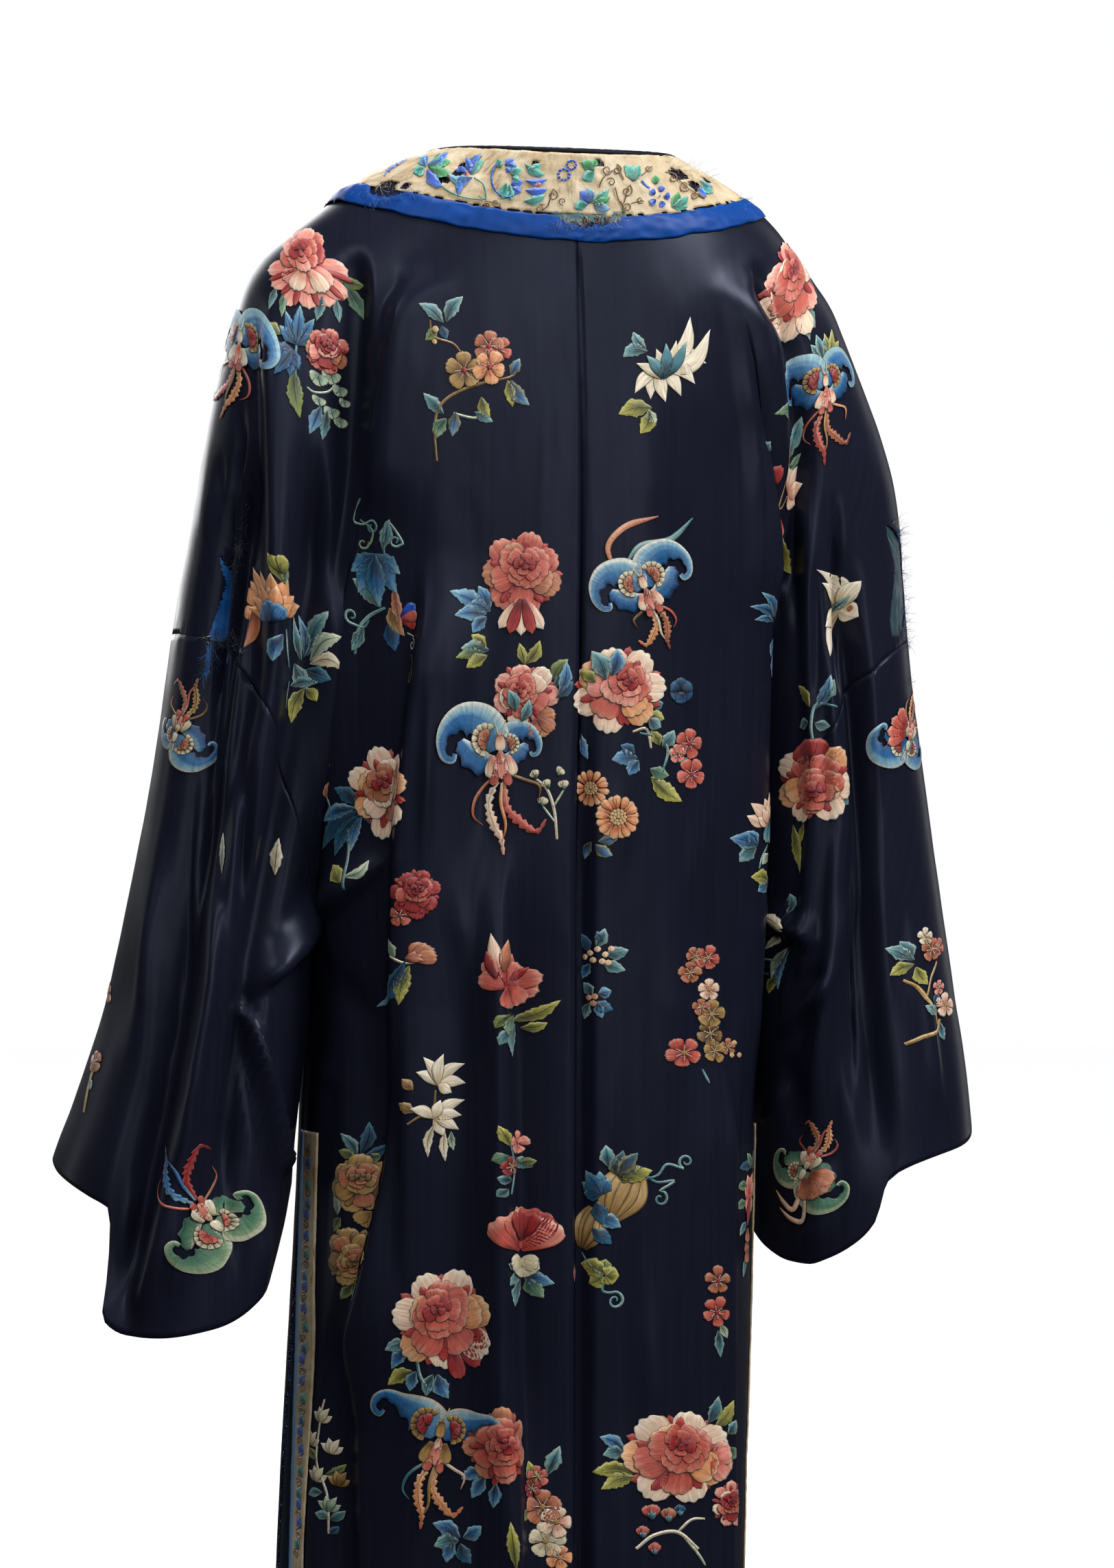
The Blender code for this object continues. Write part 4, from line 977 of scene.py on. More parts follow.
def band(motif, path, widths, along, edge=None, level=0, rim=1.5, tip=0.0, vein=False, lay="along",
         ragged=0.10, scallop=0.0, teeth=None, sides=None, lobes=None):
    """Stitches along a path of the motif's own places. Widths are half widths from its start to its end.

    Along are the thread colours from start to end, edge the colour towards the sides, tip how much the
    sides fall behind the middle at the end, and lay how the stitches run. Scallop is the depth of three
    lobes at the end, teeth how many and how deep at both sides, lobes the same at the second side alone,
    and sides the colours across.
    """
    rim = rim * motif.outlined
    line = smooth_path(np.asarray(path, float), 8)
    lengths = np.concatenate([[0], np.cumsum(np.linalg.norm(np.diff(line, axis=0), axis=1))])
    size = lengths[-1]
    count = int(np.clip(size / 3.2, 5, 40)) if not teeth else int(max(size / 3.2, 5 * teeth[0]))
    share = (1 - np.cos(np.pi * np.linspace(0, 1, count + 1))) / 2
    share = 0.5 * share + 0.5 * np.linspace(0, 1, count + 1)
    spots = np.stack([np.interp(share * size, lengths, line[:, k]) for k in (0, 1)], axis=-1)
    heading = np.gradient(spots, axis=0)
    for _ in range(3):
        heading[1:-1] = (heading[:-2] + 2 * heading[1:-1] + heading[2:]) / 4
    heading = unit(heading)
    sideways = np.stack([-heading[:, 1], heading[:, 0]], axis=-1)
    half = between(share, np.linspace(0, 1, len(widths)), np.array(widths, float))
    widest = half.max()
    lanes = int(np.clip(2 * widest / 3.2, 2, 16)) | 1
    inner = 1 - min(0.4, rim / widest) if rim else 1.0
    r = np.linspace(-inner, inner, lanes)
    if vein:
        gap = min(0.12, 0.7 / widest)
        r = np.sort(np.concatenate([r[np.abs(r) > gap * 1.6], [-gap, 0.0, gap]]))
    if rim:
        r = np.concatenate([[-1.0], r, [1.0]])
    s, r = np.meshgrid(share, r, indexing="ij")
    reach = np.ones(r.shape)
    if teeth:
        reach = reach * (1 - teeth[1] * ((s * teeth[0]) % 1.0) * (s < 0.9))
    if lobes:
        reach = np.where(r > 0, reach * (1 - lobes[1] * np.abs(np.cos(math.pi * s * lobes[0]))), reach)
    places = spots[:, None] + sideways[:, None] * (r * half[:, None] * reach)[..., None]
    fall = tip * r**2 * s**3 + scallop * (1 - np.abs(np.cos(1.5 * math.pi * r))) * s**5
    places = places - heading[:, None] * (fall * size)[..., None]
    jitter = RNG.uniform(-1, 1, r.shape[1])[None] * ragged + RNG.uniform(-1, 1, r.shape) * ragged * 0.4
    colours = blend_stops(along, s + jitter * (4 * s * (1 - s)) ** 0.5)
    if sides is not None:
        colours = 0.25 * colours + 0.75 * blend_stops(sides, (r + 1) / 2 + jitter * 0.9)
    if edge is not None:
        amount = np.clip(np.abs(r) ** 2.6 + jitter * 1.5, 0, 1)[..., None]
        colours = colours * (1 - amount) + np.array(edge) * amount
    colours = colours * (1 + RNG.uniform(-0.09, 0.09, r.shape[1])[None, :, None])
    rise = np.sqrt(np.clip(1 - r**2, 0, 1)) * np.clip((1 - s) * 6, 0, 1) ** 0.5
    rise = rise * np.clip(s * 6 + 0.3, 0, 1) ** 0.5
    if rim:
        border = np.abs(r) > 0.999
        if half[-1] > 0.5:
            border = border | (s > 0.999)
        colours = np.where(border[..., None], NIGHT, colours)
    if vein:
        mid = (np.abs(r) < 1e-6) & (s > 0.05) & (s < 0.93) & motif.outlined
        colours = np.where(mid[..., None], NIGHT * 1.5, colours)
        rise = np.where(mid, 0.2, rise)
    x, y = r * half[:, None] / PIXELS_PER_MM, s * size / PIXELS_PER_MM
    slant = {"along": 0.0, "across": 1.45, "slant": 0.65}[lay]
    mirrored = np.abs(x) if lay == "slant" else x
    uv = np.stack([mirrored * math.cos(slant) - y * math.sin(slant),
                   mirrored * math.sin(slant) + y * math.cos(slant)],
                  axis=-1)
    uv = uv + RNG.uniform(0, 400, 2)
    motif.add(places[..., 0], places[..., 1], colours, rise, level, uv)


def curved(base, tip, bend):
    """Base, a middle point moved sideways by this share of the length, and tip."""
    base, tip = np.asarray(base, float), np.asarray(tip, float)
    along = tip - base
    return base, (base + tip) / 2 + np.array((-along[1], along[0])) * bend, tip


PETAL = (0.3, 0.55, 0.78, 0.95, 1.0, 0.98, 0.84)
POINTED = (0.22, 0.62, 0.92, 1.0, 0.8, 0.42, 0.0)
LEAF = (0.06, 0.5, 0.88, 1.0, 0.82, 0.45, 0.0)


def petal(motif, base, tip, width, floss, level=0, bend=0.0, shape=PETAL):
    """A petal, dark at its base. A blunt one ends in three soft lobes."""
    dark, middle, light = FLOSS[floss]
    scallop = 0.07 if shape is PETAL and width > 5 else 0.0
    band(motif, curved(base, tip, bend), [width * w for w in shape], (dark, dark, middle, middle, light),
         level=level, tip=0.16 if shape is PETAL else 0.0, scallop=scallop)


def rays(motif, x, y, inner, outer, angles, width, floss, level=0):
    """Petals along rays from a place, at these angles."""
    for degrees in angles:
        petal(motif, polar(x, y, inner, degrees), polar(x, y, outer, degrees), width, floss, level)


def leaf(motif, base, tip, width, floss="teal", bend=0.0, level=0, second=None):
    """A pointed leaf with an open vein, dark along it and light at the edge, or the other way round."""
    dark, middle, light = FLOSS[floss]
    edge = FLOSS[second][1] if second else light
    size = math.hypot(tip[0] - base[0], tip[1] - base[1])
    teeth = (max(3, round(size / 11)), 0.24) if size > 24 else None
    band(motif, curved(base, tip, bend), [width * w for w in LEAF], (dark, dark, middle, light), edge=edge,
         level=level, vein=True, lay="slant", teeth=teeth)


def leaves(motif, rows, bend=0.0, level=0):
    """A leaf for each row of base x and y, tip x and y, half width, floss and, where it has its own, bend."""
    for x, y, tip_x, tip_y, width, floss, *own in rows:
        leaf(motif, (x, y), (tip_x, tip_y), width, floss, *(own or [bend]), level)


def lobed_leaf(motif, base, tip, width, floss="blue", second=None, level=0):
    """Three or more leaves from one stalk, the side ones shorter."""
    base, tip = np.asarray(base, float), np.asarray(tip, float)
    along = tip - base
    for angle, share, wide in ((0.95, 0.62, 0.55), (-0.95, 0.62, 0.55), (0.5, 0.85, 0.55),
                               (-0.5, 0.85, 0.55), (0, 1, 0.62)):
        c, s = math.cos(angle), math.sin(angle)
        end = base + np.array((c * along[0] - s * along[1], s * along[0] + c * along[1])) * share
        leaf(motif, base, end, width * wide, floss, level=level + (angle == 0), second=second)


def stem(motif, points, width=1.6, floss="brown", level=0):
    dark, middle, light = FLOSS[floss]
    band(motif, points, (width * 0.8, width, width, width * 0.7), (middle, light, middle), level=level,
         rim=0, lay="across", ragged=0.3)


def knot(motif, x, y, radius, floss="gold", level=0, shade=1):
    colour = FLOSS[floss][shade]
    widths = (radius * 0.2, radius * 0.85, radius, radius * 0.85, 0)
    band(motif, ((x, y + radius), (x, y), (x, y - radius)), widths, (colour, colour), level=level, rim=0)


def polar(x, y, radius, degrees, squash=1.0):
    """A place at this angle, counted clockwise from straight up."""
    a = math.radians(degrees)
    return x + radius * math.sin(a), y - radius * squash * math.cos(a)


def ring(motif, x, y, inner, outer, width, angles, floss, level, squash=1.0, shape=PETAL, wobble=0.08):
    """Petals round a place. Every other one lies a layer higher."""
    for i, degrees in enumerate(angles):
        far = outer * (1 + RNG.uniform(-wobble, wobble))
        turned = degrees + RNG.uniform(-4, 4)
        colour = floss[i % len(floss)] if isinstance(floss, (list, tuple)) else floss
        petal(motif, polar(x, y, inner, turned, squash), polar(x, y, far, turned, squash), width, colour,
              level=level + i % 2, bend=RNG.uniform(-0.06, 0.06), shape=shape)


def all_round(count, start=0.0):
    return [start + 360 * i / count for i in range(count)]


def peony(motif, x, y, radius, lean, outer, middle, heart, deep, squash=0.95):
    """A full peony: broad lobed petals, dark ones between them, and a heart of small ones to one side."""
    hx, hy = polar(x, y, radius * 0.26, lean)
    other = {"cream": "peach", "rust": "coral", "coral": "rust", "gold": "brown",
             "pink": "cream"}.get(outer, outer)
    ring(motif, x, y, radius * 0.3, radius * 0.96, radius * 0.12, all_round(7, lean + 26), deep, 0, squash)
    ring(motif, x, y, radius * 0.22, radius * 1.03, radius * 0.33, all_round(7, lean),
         (outer, outer, other), 2, squash)
    ring(motif, x, y, radius * 0.3, radius * 0.84, radius * 0.1, all_round(5, lean - 6), deep, 4, squash)
    ring(motif, x, y, radius * 0.12, radius * 0.78, radius * 0.33, all_round(5, lean + 30),
         (middle, other, heart), 5, squash)
    ring(motif, hx, hy, radius * 0.04, radius * 0.62, radius * 0.3,
         [lean + a for a in (110, 190, 260, 150)],
         (heart, middle), 7, squash)
    ring(motif, hx, hy, radius * 0.04, radius * 0.46, radius * 0.23, all_round(4, lean + 30),
         (heart, middle, heart), 9, squash)
    ring(motif, hx, hy, radius * 0.02, radius * 0.3, radius * 0.15, all_round(4, lean), (heart, deep), 11,
         squash)
    ring(motif, hx, hy, 0.0, radius * 0.15, radius * 0.09, all_round(3, lean + 40), deep, 13, squash)


def side_peony(motif, x, y, radius, lean, outer, middle, heart, deep):
    """A peony from the side: a red dome of close petals over a fan of pale ones. Lean is where it opens."""
    fan = [lean + a for a in (-84, -56, -28, 0, 28, 56, 84)]
    between_fan = [lean + a for a in (-70, -42, -14, 14, 42, 70)]
    ring(motif, x, y, radius * 0.15, radius * 1.05, radius * 0.22, fan, outer, 0)
    ring(motif, x, y, radius * 0.3, radius * 0.98, radius * 0.07, between_fan, deep, 2)
    ring(motif, x, y, radius * 0.1, radius * 0.7, radius * 0.2, fan[1:-1], (middle, "cream"), 3)
    tx, ty = polar(x, y, radius * 0.34, lean + 180)
    ring(motif, tx, ty, radius * 0.05, radius * 0.66, radius * 0.25,
         [lean + a for a in (-120, -75, 120, 75, 158, 202, 180)],
         (heart, deep, middle), 4)
    ring(motif, tx, ty, radius * 0.05, radius * 0.5, radius * 0.2,
         [lean + a for a in (-50, 0, 50, 100, -100)], (heart, middle), 6)
    ring(motif, tx, ty, 0.0, radius * 0.34, radius * 0.15, all_round(5, lean), (heart, deep), 8)
    ring(motif, tx, ty, 0.0, radius * 0.18, radius * 0.09, all_round(3, lean), deep, 10)


def blossom(motif, x, y, radius, floss="rust", heart="red", lean=0.0, squash=1.0, level=0):
    """Five round petals, a small heart and knots round it."""
    ring(motif, x, y, radius * 0.16, radius, radius * 0.42, all_round(5, lean), floss, level, squash)
    for degrees in all_round(6, lean + 20):
        line = [polar(x, y, radius * far, degrees) for far in (0.1, 0.3, 0.42)]
        stem(motif, line, 0.6, "white", level + 2)
        knot(motif, *polar(x, y, radius * 0.45, degrees), 1.2, "gold", level + 3, 2)
    knot(motif, x, y, radius * 0.16, heart, level + 3)


def daisy(motif, x, y, radius, floss, heart, count):
    ring(motif, x, y, radius * 0.38, radius, radius * 0.19, all_round(count), floss, 0, wobble=0.04)
    for size, number in ((0.3, 12), (0.17, 7), (0.02, 1)):
        for degrees in all_round(number):
            knot(motif, *polar(x, y, radius * size, degrees), radius * 0.085, heart, 2, 2)


def fan_flower(motif, x, y, radius, lean, spread, count, floss, width, cup):
    """A chrysanthemum or lotus from the side: long petals that open one way, and a cup under them."""
    angles = [lean - spread / 2 + spread * i / (count - 1) for i in range(count)]
    ring(motif, x, y, radius * 0.22, radius, radius * width, angles, floss, 0, shape=POINTED, wobble=0.14)
    inner_angles = [a + spread / count / 2 for a in angles[:-1]]
    ring(motif, x, y, radius * 0.1, radius * 0.62, radius * width * 0.9, inner_angles, floss, 2,
         shape=POINTED)
    if cup:
        ring(motif, *polar(x, y, radius * 0.1, lean + 180), 0, radius * 0.42, radius * 0.13,
             [lean - 55, lean + 55, lean - 28, lean + 28, lean], cup, 4)


def magnolia(motif, x, y, radius, angles, floss="white", width=0.22, level=0):
    for i, (degrees, share, bend) in enumerate(angles):
        petal(motif, (x, y), polar(x, y, radius * share, degrees), radius * width, floss,
              level=level + i % 3, bend=bend, shape=POINTED)


def tendril(motif, x, y, radius, start, turns, floss="teal", width=1.3, tail=()):
    """A curl that winds in, after the points of its tail."""
    points = list(tail)
    for i in range(15):
        share = i / 14
        points.append(polar(x, y, radius * (1 - 0.78 * share), start + 360 * turns * share))
    stem(motif, points, width, floss)


def bud(motif, x, y, radius, lean, floss="coral", cup="teal"):
    ring(motif, x, y, 0, radius, radius * 0.42, [lean - 24, lean + 24, lean], floss, 0)
    ring(motif, x, y, -radius * 0.2, radius * 0.45, radius * 0.22, [lean - 40, lean + 40, lean], cup, 2,
         shape=POINTED)


def melon(motif, x, y, width, tall, lean, floss):
    """A gourd with five ribs, the outer ones first."""
    for share in (-1.0, 1.0, -0.5, 0.5, 0.0):
        top, low = polar(x, y, tall / 2, lean), polar(x, y, tall / 2, lean + 180)
        side = polar(0, 0, 1, lean + 90)
        out = width / 2 * share * 0.85
        a = (top[0] + side[0] * out * 0.35, top[1] + side[1] * out * 0.35)
        b = (x + side[0] * out, y + side[1] * out)
        c = (low[0] + side[0] * out * 0.35, low[1] + side[1] * out * 0.35)
        dark, middle, light = FLOSS[floss]
        band(motif, (a, b, c), [width * 0.16 * w for w in (0.3, 0.8, 1, 0.8, 0.3)],
             (middle, light, middle, dark),
             level=2 - int(2 * abs(share)), edge=dark)


# Fore wings of a butterfly: the path of their middle, and half widths along it.
WINGS = {
    "hooked": (((-6, -2), (-13, -22), (-28, -38), (-50, -43), (-70, -33), (-80, -14), (-76, 4), (-66, 8),
                (-63, 0)),
               (13, 25, 29, 25, 19, 12, 8, 6, 4)),
    "spread": (((-4, -4), (-18, -20), (-36, -30), (-56, -37), (-76, -44), (-90, -38), (-92, -24),
                (-84, -17), (-79, -24)),
               (15, 27, 26, 20, 13, 8, 6, 5, 3)),
}


def winged(motif, x, y, size, turned, flip, top, rim, eye, body, tails, second, tail_size, wings="hooked"):
    """A butterfly with hooked or spread wings, eye spots in a pale fan, and long curling tails."""
    c, s = math.cos(math.radians(turned)), math.sin(math.radians(turned))

    def at(u, v, share=1.0, side=1):
        u, v = u * flip * side * share * size / 100, v * share * size / 100
        return x + c * u - s * v, y + s * u + c * v

    dark, middle, light = FLOSS[top]
    pale = FLOSS[rim][2]
    across = (pale, light, middle, middle, (middle + dark) / 2, dark)
    for side, share in ((1, 1.0), (-1, second)):
        scale = size / 100 * share
        turned_over = side * flip > 0
        hind = [at(u, v, share, side) for u, v in ((-3, 12), (-16, 15), (-32, 11), (-45, 0), (-55, -16))]
        way = -1 if turned_over else 1
        if wings == "hooked":
            band(motif, hind[::way], [scale * w for w in (8, 17, 20, 17, 7)][::way], (middle, dark, middle),
                 sides=across, level=1, lobes=(4, 0.34), lay="across")
        middle_line, half_widths = WINGS[wings]
        wing = [at(u, v, share, side) for u, v in middle_line]
        band(motif, wing[::way], [scale * w for w in half_widths][::way], (middle, middle, light),
             sides=across, level=3, lobes=(6, 0.4), lay="across", rim=1.0)
        for degrees in (-165, -138, -111, -84, -57, -30, -3, 24):
            spot = math.radians(degrees)
            a = at(-19 + 12 * math.sin(spot), -17 - 13 * math.cos(spot), share, side)
            b = at(-19 + 21 * math.sin(spot), -17 - 23 * math.cos(spot), share, side)
            petal(motif, a, b, 5.2 * scale, "ivory" if rim == "ivory" else "gold", level=5)
        for degrees in (-140, -95, -50, -5):
            spot = math.radians(degrees)
            b = at(-19 + 13 * math.sin(spot), -17 - 15 * math.cos(spot), share, side)
            petal(motif, at(-17, -15, share, side), b, 6.5 * scale, eye, level=6)
    scale = size / 100
    for u, v, a, b, w, floss in ((-9, 4, -15, 34, 9, body), (9, 4, 14, 32, 9, body),
                                 (0, 0, 0, 36, 10, "pink"),
                                 (-6, 22, -11, 44, 6, "coral"), (5, 22, 9, 45, 6, "coral"),
                                 (0, -26, 0, 0, 7, body),
                                 (0, -2, 0, 16, 7, "ivory")):
        petal(motif, at(u, v), at(a, b), w * scale, floss, level=8)
    for side in (-1, 1):
        stem(motif, (at(2 * side, -22), at(5 * side, -34), at(7 * side, -42)), 0.9, "ivory", 9)
        knot(motif, *at(2 * side, -22), 1.1, "red", 10, 0)
    lines = (
        ((-8, 30), (-24, 44), (-34, 58), (-36, 76), (-24, 88)),
        ((-5, 36), (-16, 60), (-12, 86), (-4, 104), (-2, 124)),
        ((3, 36), (4, 66), (18, 84), (38, 98), (50, 84)),
        ((0, 38), (-2, 62), (2, 88), (-3, 108)),
        ((9, 28), (28, 36), (44, 44), (42, 62)),
    )
    for k, line in enumerate(lines):
        line = [(u * tail_size, 20 + (v - 20) * tail_size) for u, v in line]
        tone = FLOSS[tails[k % len(tails)]]
        feather = k in (1, 2)
        widths = (3.0, 7.0, 8.0, 5.6, 1.2) if feather else (1.6, 2.3, 2.3, 1.8, 0.6)
        band(motif, [at(u, v) for u, v in line], [scale * w for w in widths],
             (tone[2], tone[1], tone[1], tone[0]),
             level=k % 2, lay="slant", ragged=0.2, teeth=(10, 0.6) if feather else None, vein=feather,
             rim=0.6)


def sew(name, group):
    """One mesh of all the stitches of a group."""
    pieces = THREADS[group]
    points, normals, colours, uvs, faces = [], [], [], [], []
    count = 0
    for place, normal, colour, uv in pieces:
        rows, columns = place.shape[:2]
        index = np.arange(rows * columns).reshape(rows, columns) + count
        faces.append(np.stack([index[:-1, :-1], index[:-1, 1:], index[1:, 1:], index[1:, :-1]],
                              axis=-1).reshape(-1, 4))
        count += rows * columns
        for whole, part in ((points, place), (normals, normal), (colours, colour), (uvs, uv)):
            whole.append(part.reshape(-1, part.shape[-1]))
    points, normals, colours, uvs = (np.concatenate(part) for part in (points, normals, colours, uvs))
    faces = np.concatenate(faces)
    a, b, c, d = (points[faces[:, i]] for i in range(4))
    facing = (np.cross(c - a, d - b) * normals[faces[:, 0]]).sum(axis=1)
    faces[facing < 0] = faces[facing < 0][:, ::-1]
    made = mesh_object(name, points, faces, [FLOSS_MATERIAL], uvs, colours, uv_name="stitch")
    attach(made, "root")
    return made


def floss_material():
    """Silk floss: fine parallel threads that shine across their run, with colours kept in the mesh."""
    made = Nodes("silk_floss")
    flat = made.add("UVMap", uv_map="stitch").outputs[0]
    paint = made.add("Attribute", attribute_name="thread")
    strands = made.noise(flat, 1.0, 3.0, (2600, 120, 1))
    broad = made.noise(flat, 1.0, 1.0, (700, 50, 1))
    tone = made.ramp(made.math("ADD", made.math("MULTIPLY", strands, 0.5),
                               made.math("MULTIPLY", broad, 0.5)),
                     (0.3, (0.62, 0.62, 0.62)), (0.68, (1.18, 1.18, 1.18)))
    made.set(Base_Color=made.mix(1.0, paint.outputs["Color"], tone, "MULTIPLY"), Roughness=0.45,
             Anisotropic=0.6)
    made.set(Sheen_Weight=0.1, Sheen_Roughness=0.4)
    tangent = made.add("Tangent", direction_type="UV_MAP", uv_map="stitch")
    made.put(made.shader.inputs["Tangent"], tangent.outputs[0])
    dome = made.bump(paint.outputs["Alpha"], 0.0011, 0.8)
    made.set(Normal=made.bump(made.math("ADD", strands, made.math("MULTIPLY", broad, 0.7)), 0.00028, 0.8,
                              dome))
    return made.material


FLOSS_MATERIAL = floss_material()


def lifted(side, turn, drop, lift):
    """Points this far out from the silk's outer face."""
    turn, drop = np.broadcast_arrays(np.asarray(turn, float), np.asarray(drop, float))
    behind, ahead = either_side(turn, 0.004)
    across = cloth(side, ahead, drop) - cloth(side, behind, drop)
    down = cloth(side, turn, drop + 1.5) - cloth(side, turn, np.maximum(drop - 1.5, 0))
    normal = np.cross(across, down) * SIGN[side]
    return cloth(side, turn, drop) + unit(normal) * np.asarray(lift, float)[..., None]


def inside(outline, across, drop):
    """Which places lie inside a closed outline, both in flat cloth coordinates."""
    within = np.zeros(np.shape(across), bool)
    for (ax, ay), (bx, by) in zip(outline, np.roll(outline, -1, axis=0)):
        crosses = (ay > drop) != (by > drop)
        with np.errstate(divide="ignore", invalid="ignore"):
            at = ax + (drop - ay) * (bx - ax) / (by - ay)
        within ^= crosses & (across < at)
    return within


# Tears: the piece of silk they cut, their outline in the photo's frame round a place, and the width and
# height of the lining patch behind each.
TEARS = {
    "left_upper": {"side": "left", "piece": "silk", "at": (326, 885), "patch": (22, 62), "outline": (
        (342, 826), (340, 845), (338, 866), (336, 888), (334, 906), (331, 920), (326, 928), (320, 928),
        (318, 919),
        (320, 904), (325, 886), (330, 866), (335, 848), (340, 832))},
    "left_lower": {"side": "left", "piece": "sleeve_silk", "at": (306, 966), "patch": (18, 40), "outline": (
        (311, 942), (311, 958), (308, 974), (304, 988), (302, 988), (302, 976), (304, 958), (307, 944))},
    "right": {"side": "right", "piece": "silk", "at": (1308, 850), "patch": (42, 84), "outline": (
        (1322, 770), (1336, 778), (1348, 798), (1356, 830), (1359, 862), (1354, 890), (1342, 914),
        (1322, 914),
        (1312, 893), (1308, 862), (1309, 838), (1313, 812), (1318, 790))},
}


for tear in TEARS.values():
    tear["flat"] = Motif(*tear["at"], group="places").flat(*np.array(tear["outline"], float).T)
THREADS.pop("places", None)
PATCH_CELLS = 6


def flat_signed(side, turn, drop):
    """(across to the wearer's left, drop)."""
    place = flat_place(side, turn, drop)
    return place[..., 0], -place[..., 1]


def torn_sheet(name, side, grid, materials, tears, closed):
    """A sheet of cloth whose tears are cut out of finer patches, sewn into its grid, and the cloth's area."""
    there = ~np.isnan(grid[..., 0])
    turn, drop = np.where(there, grid[..., 0], 0.3), np.where(there, grid[..., 1], 100.0)
    across, down = flat_signed(side, turn, drop)
    number = numbered(there)
    if closed:
        number[:, -1] = number[:, 0]
    use = np.ones((there.shape[0] - 1, there.shape[1] - 1), bool)
    points, flats = [cloth(side, turn, drop)[there]], [flat_place(side, turn, drop)[there]]
    fine_faces, rims = [], []
    count = int(there.sum())
    n = PATCH_CELLS
    for tear in tears:
        low, high = tear["flat"].min(axis=0) - 4, tear["flat"].max(axis=0) + 4
        near = (across > low[0]) & (across < high[0]) & (down > low[1]) & (down < high[1]) & there
        rows, columns = np.nonzero(near)
        r0, r1, c0, c1 = rows.min(), rows.max(), columns.min(), columns.max()
        row, column = np.meshgrid(np.linspace(r0, r1, (r1 - r0) * n + 1),
                                  np.linspace(c0, c1, (c1 - c0) * n + 1), indexing="ij")
        fine_turn, fine_drop = look_up(turn, row, column), look_up(drop, row, column)
        fine_across, fine_down = flat_signed(side, fine_turn, fine_drop)
        ragged = 0.5 * waves(fine_across / 1.6, fine_down / 2.2, 21)
        keep = ~inside(tear["flat"], fine_across + ragged, fine_down)
        fine = np.where(keep, numbered(keep) + count, -1)
        fine_faces.append(grid_faces(keep) + count)
        points.append(cloth(side, fine_turn, fine_drop)[keep])
        flats.append(flat_place(side, fine_turn, fine_drop)[keep])
        count += int(keep.sum())
        use[r0:r1, c0:c1] = False
        number[r0 : r1 + 1, c0 : c1 + 1] = fine[::n, ::n]
        for j in range(c0, c1):
            k = (j - c0) * n
            last = r1 < use.shape[0]
            if r0 > 0:
                use[r0 - 1, j] = False
                rims.append([number[r0 - 1, j], number[r0 - 1, j + 1], *fine[0, k : k + n + 1][::-1]])
            if last:
                use[r1, j] = False
                rims.append([*fine[-1, k : k + n + 1], number[r1 + 1, j + 1], number[r1 + 1, j]])
        for i in range(r0, r1):
            k = (i - r0) * n
            use[i, c0 - 1] = use[i, c1] = False
            rims.append([number[i, c0 - 1], *fine[k : k + n + 1, 0], number[i + 1, c0 - 1]])
            rims.append([*fine[k : k + n + 1, -1][::-1], number[i, c1 + 1], number[i + 1, c1 + 1]])
    quads = np.concatenate([*fine_faces, whole_cells(number, use)])
    points, flats = np.concatenate(points), np.concatenate(flats)
    groups = [quads] + ([np.array(rims)] if rims else [])
    if side == "right":
        groups = [group[:, ::-1] for group in groups]
    used = np.unique(np.concatenate([group.ravel() for group in groups]))
    fresh = -np.ones(len(points), int)
    fresh[used] = np.arange(len(used))
    made = mesh_object(name, points[used], [fresh[group] for group in groups], materials, flats[used])
    return made, area_of(points, quads)


PIECES = {}
for side in SIDES:
    for kind, grid, closed, solids in (
        ("silk", silk_grid(side), False, ("back_", "front_")),
        ("sleeve_silk", sleeve_silk_grid(side), True, ("sleeve_back_", "sleeve_front_")),
    ):
        torn = [tear for tear in TEARS.values() if tear["side"] == side and tear["piece"] == kind]
        piece, area = torn_sheet(f"{kind}_{side}", side, grid, [silk, inner], torn, closed)
        thicken(piece, CLOTH_THICKNESS, 1)
        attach(piece, "root")
        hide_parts(*(solid + side for solid in solids))
        PIECES[piece.name] = (piece, area)


NECK_MEASURE_DROP = 30.0


def neck_columns(step):
    """Turns evenly spaced round the neck, below 0 on the wearer's right, and how far round they lie."""
    level = int(NECK_MEASURE_DROP / ARC_STEP)
    places = np.concatenate([-ARCS["right"][level, :0:-1], ARCS["left"][level]])
    turns = np.concatenate([-TURNS[:0:-1], TURNS])
    far = np.linspace(places[0], places[-1], int((places[-1] - places[0]) / step))
    return np.interp(far, places, turns), far


def neck_points(turn, drop, lift):
    """Points round the neck for signed turns."""
    turn, drop, lift = np.broadcast_arrays(np.asarray(turn, float), np.asarray(drop, float),
                                           np.asarray(lift, float))
    left, right = (lifted(side, np.abs(turn), drop, lift) for side in SIDES)
    return np.where((turn >= 0)[..., None], left, right)


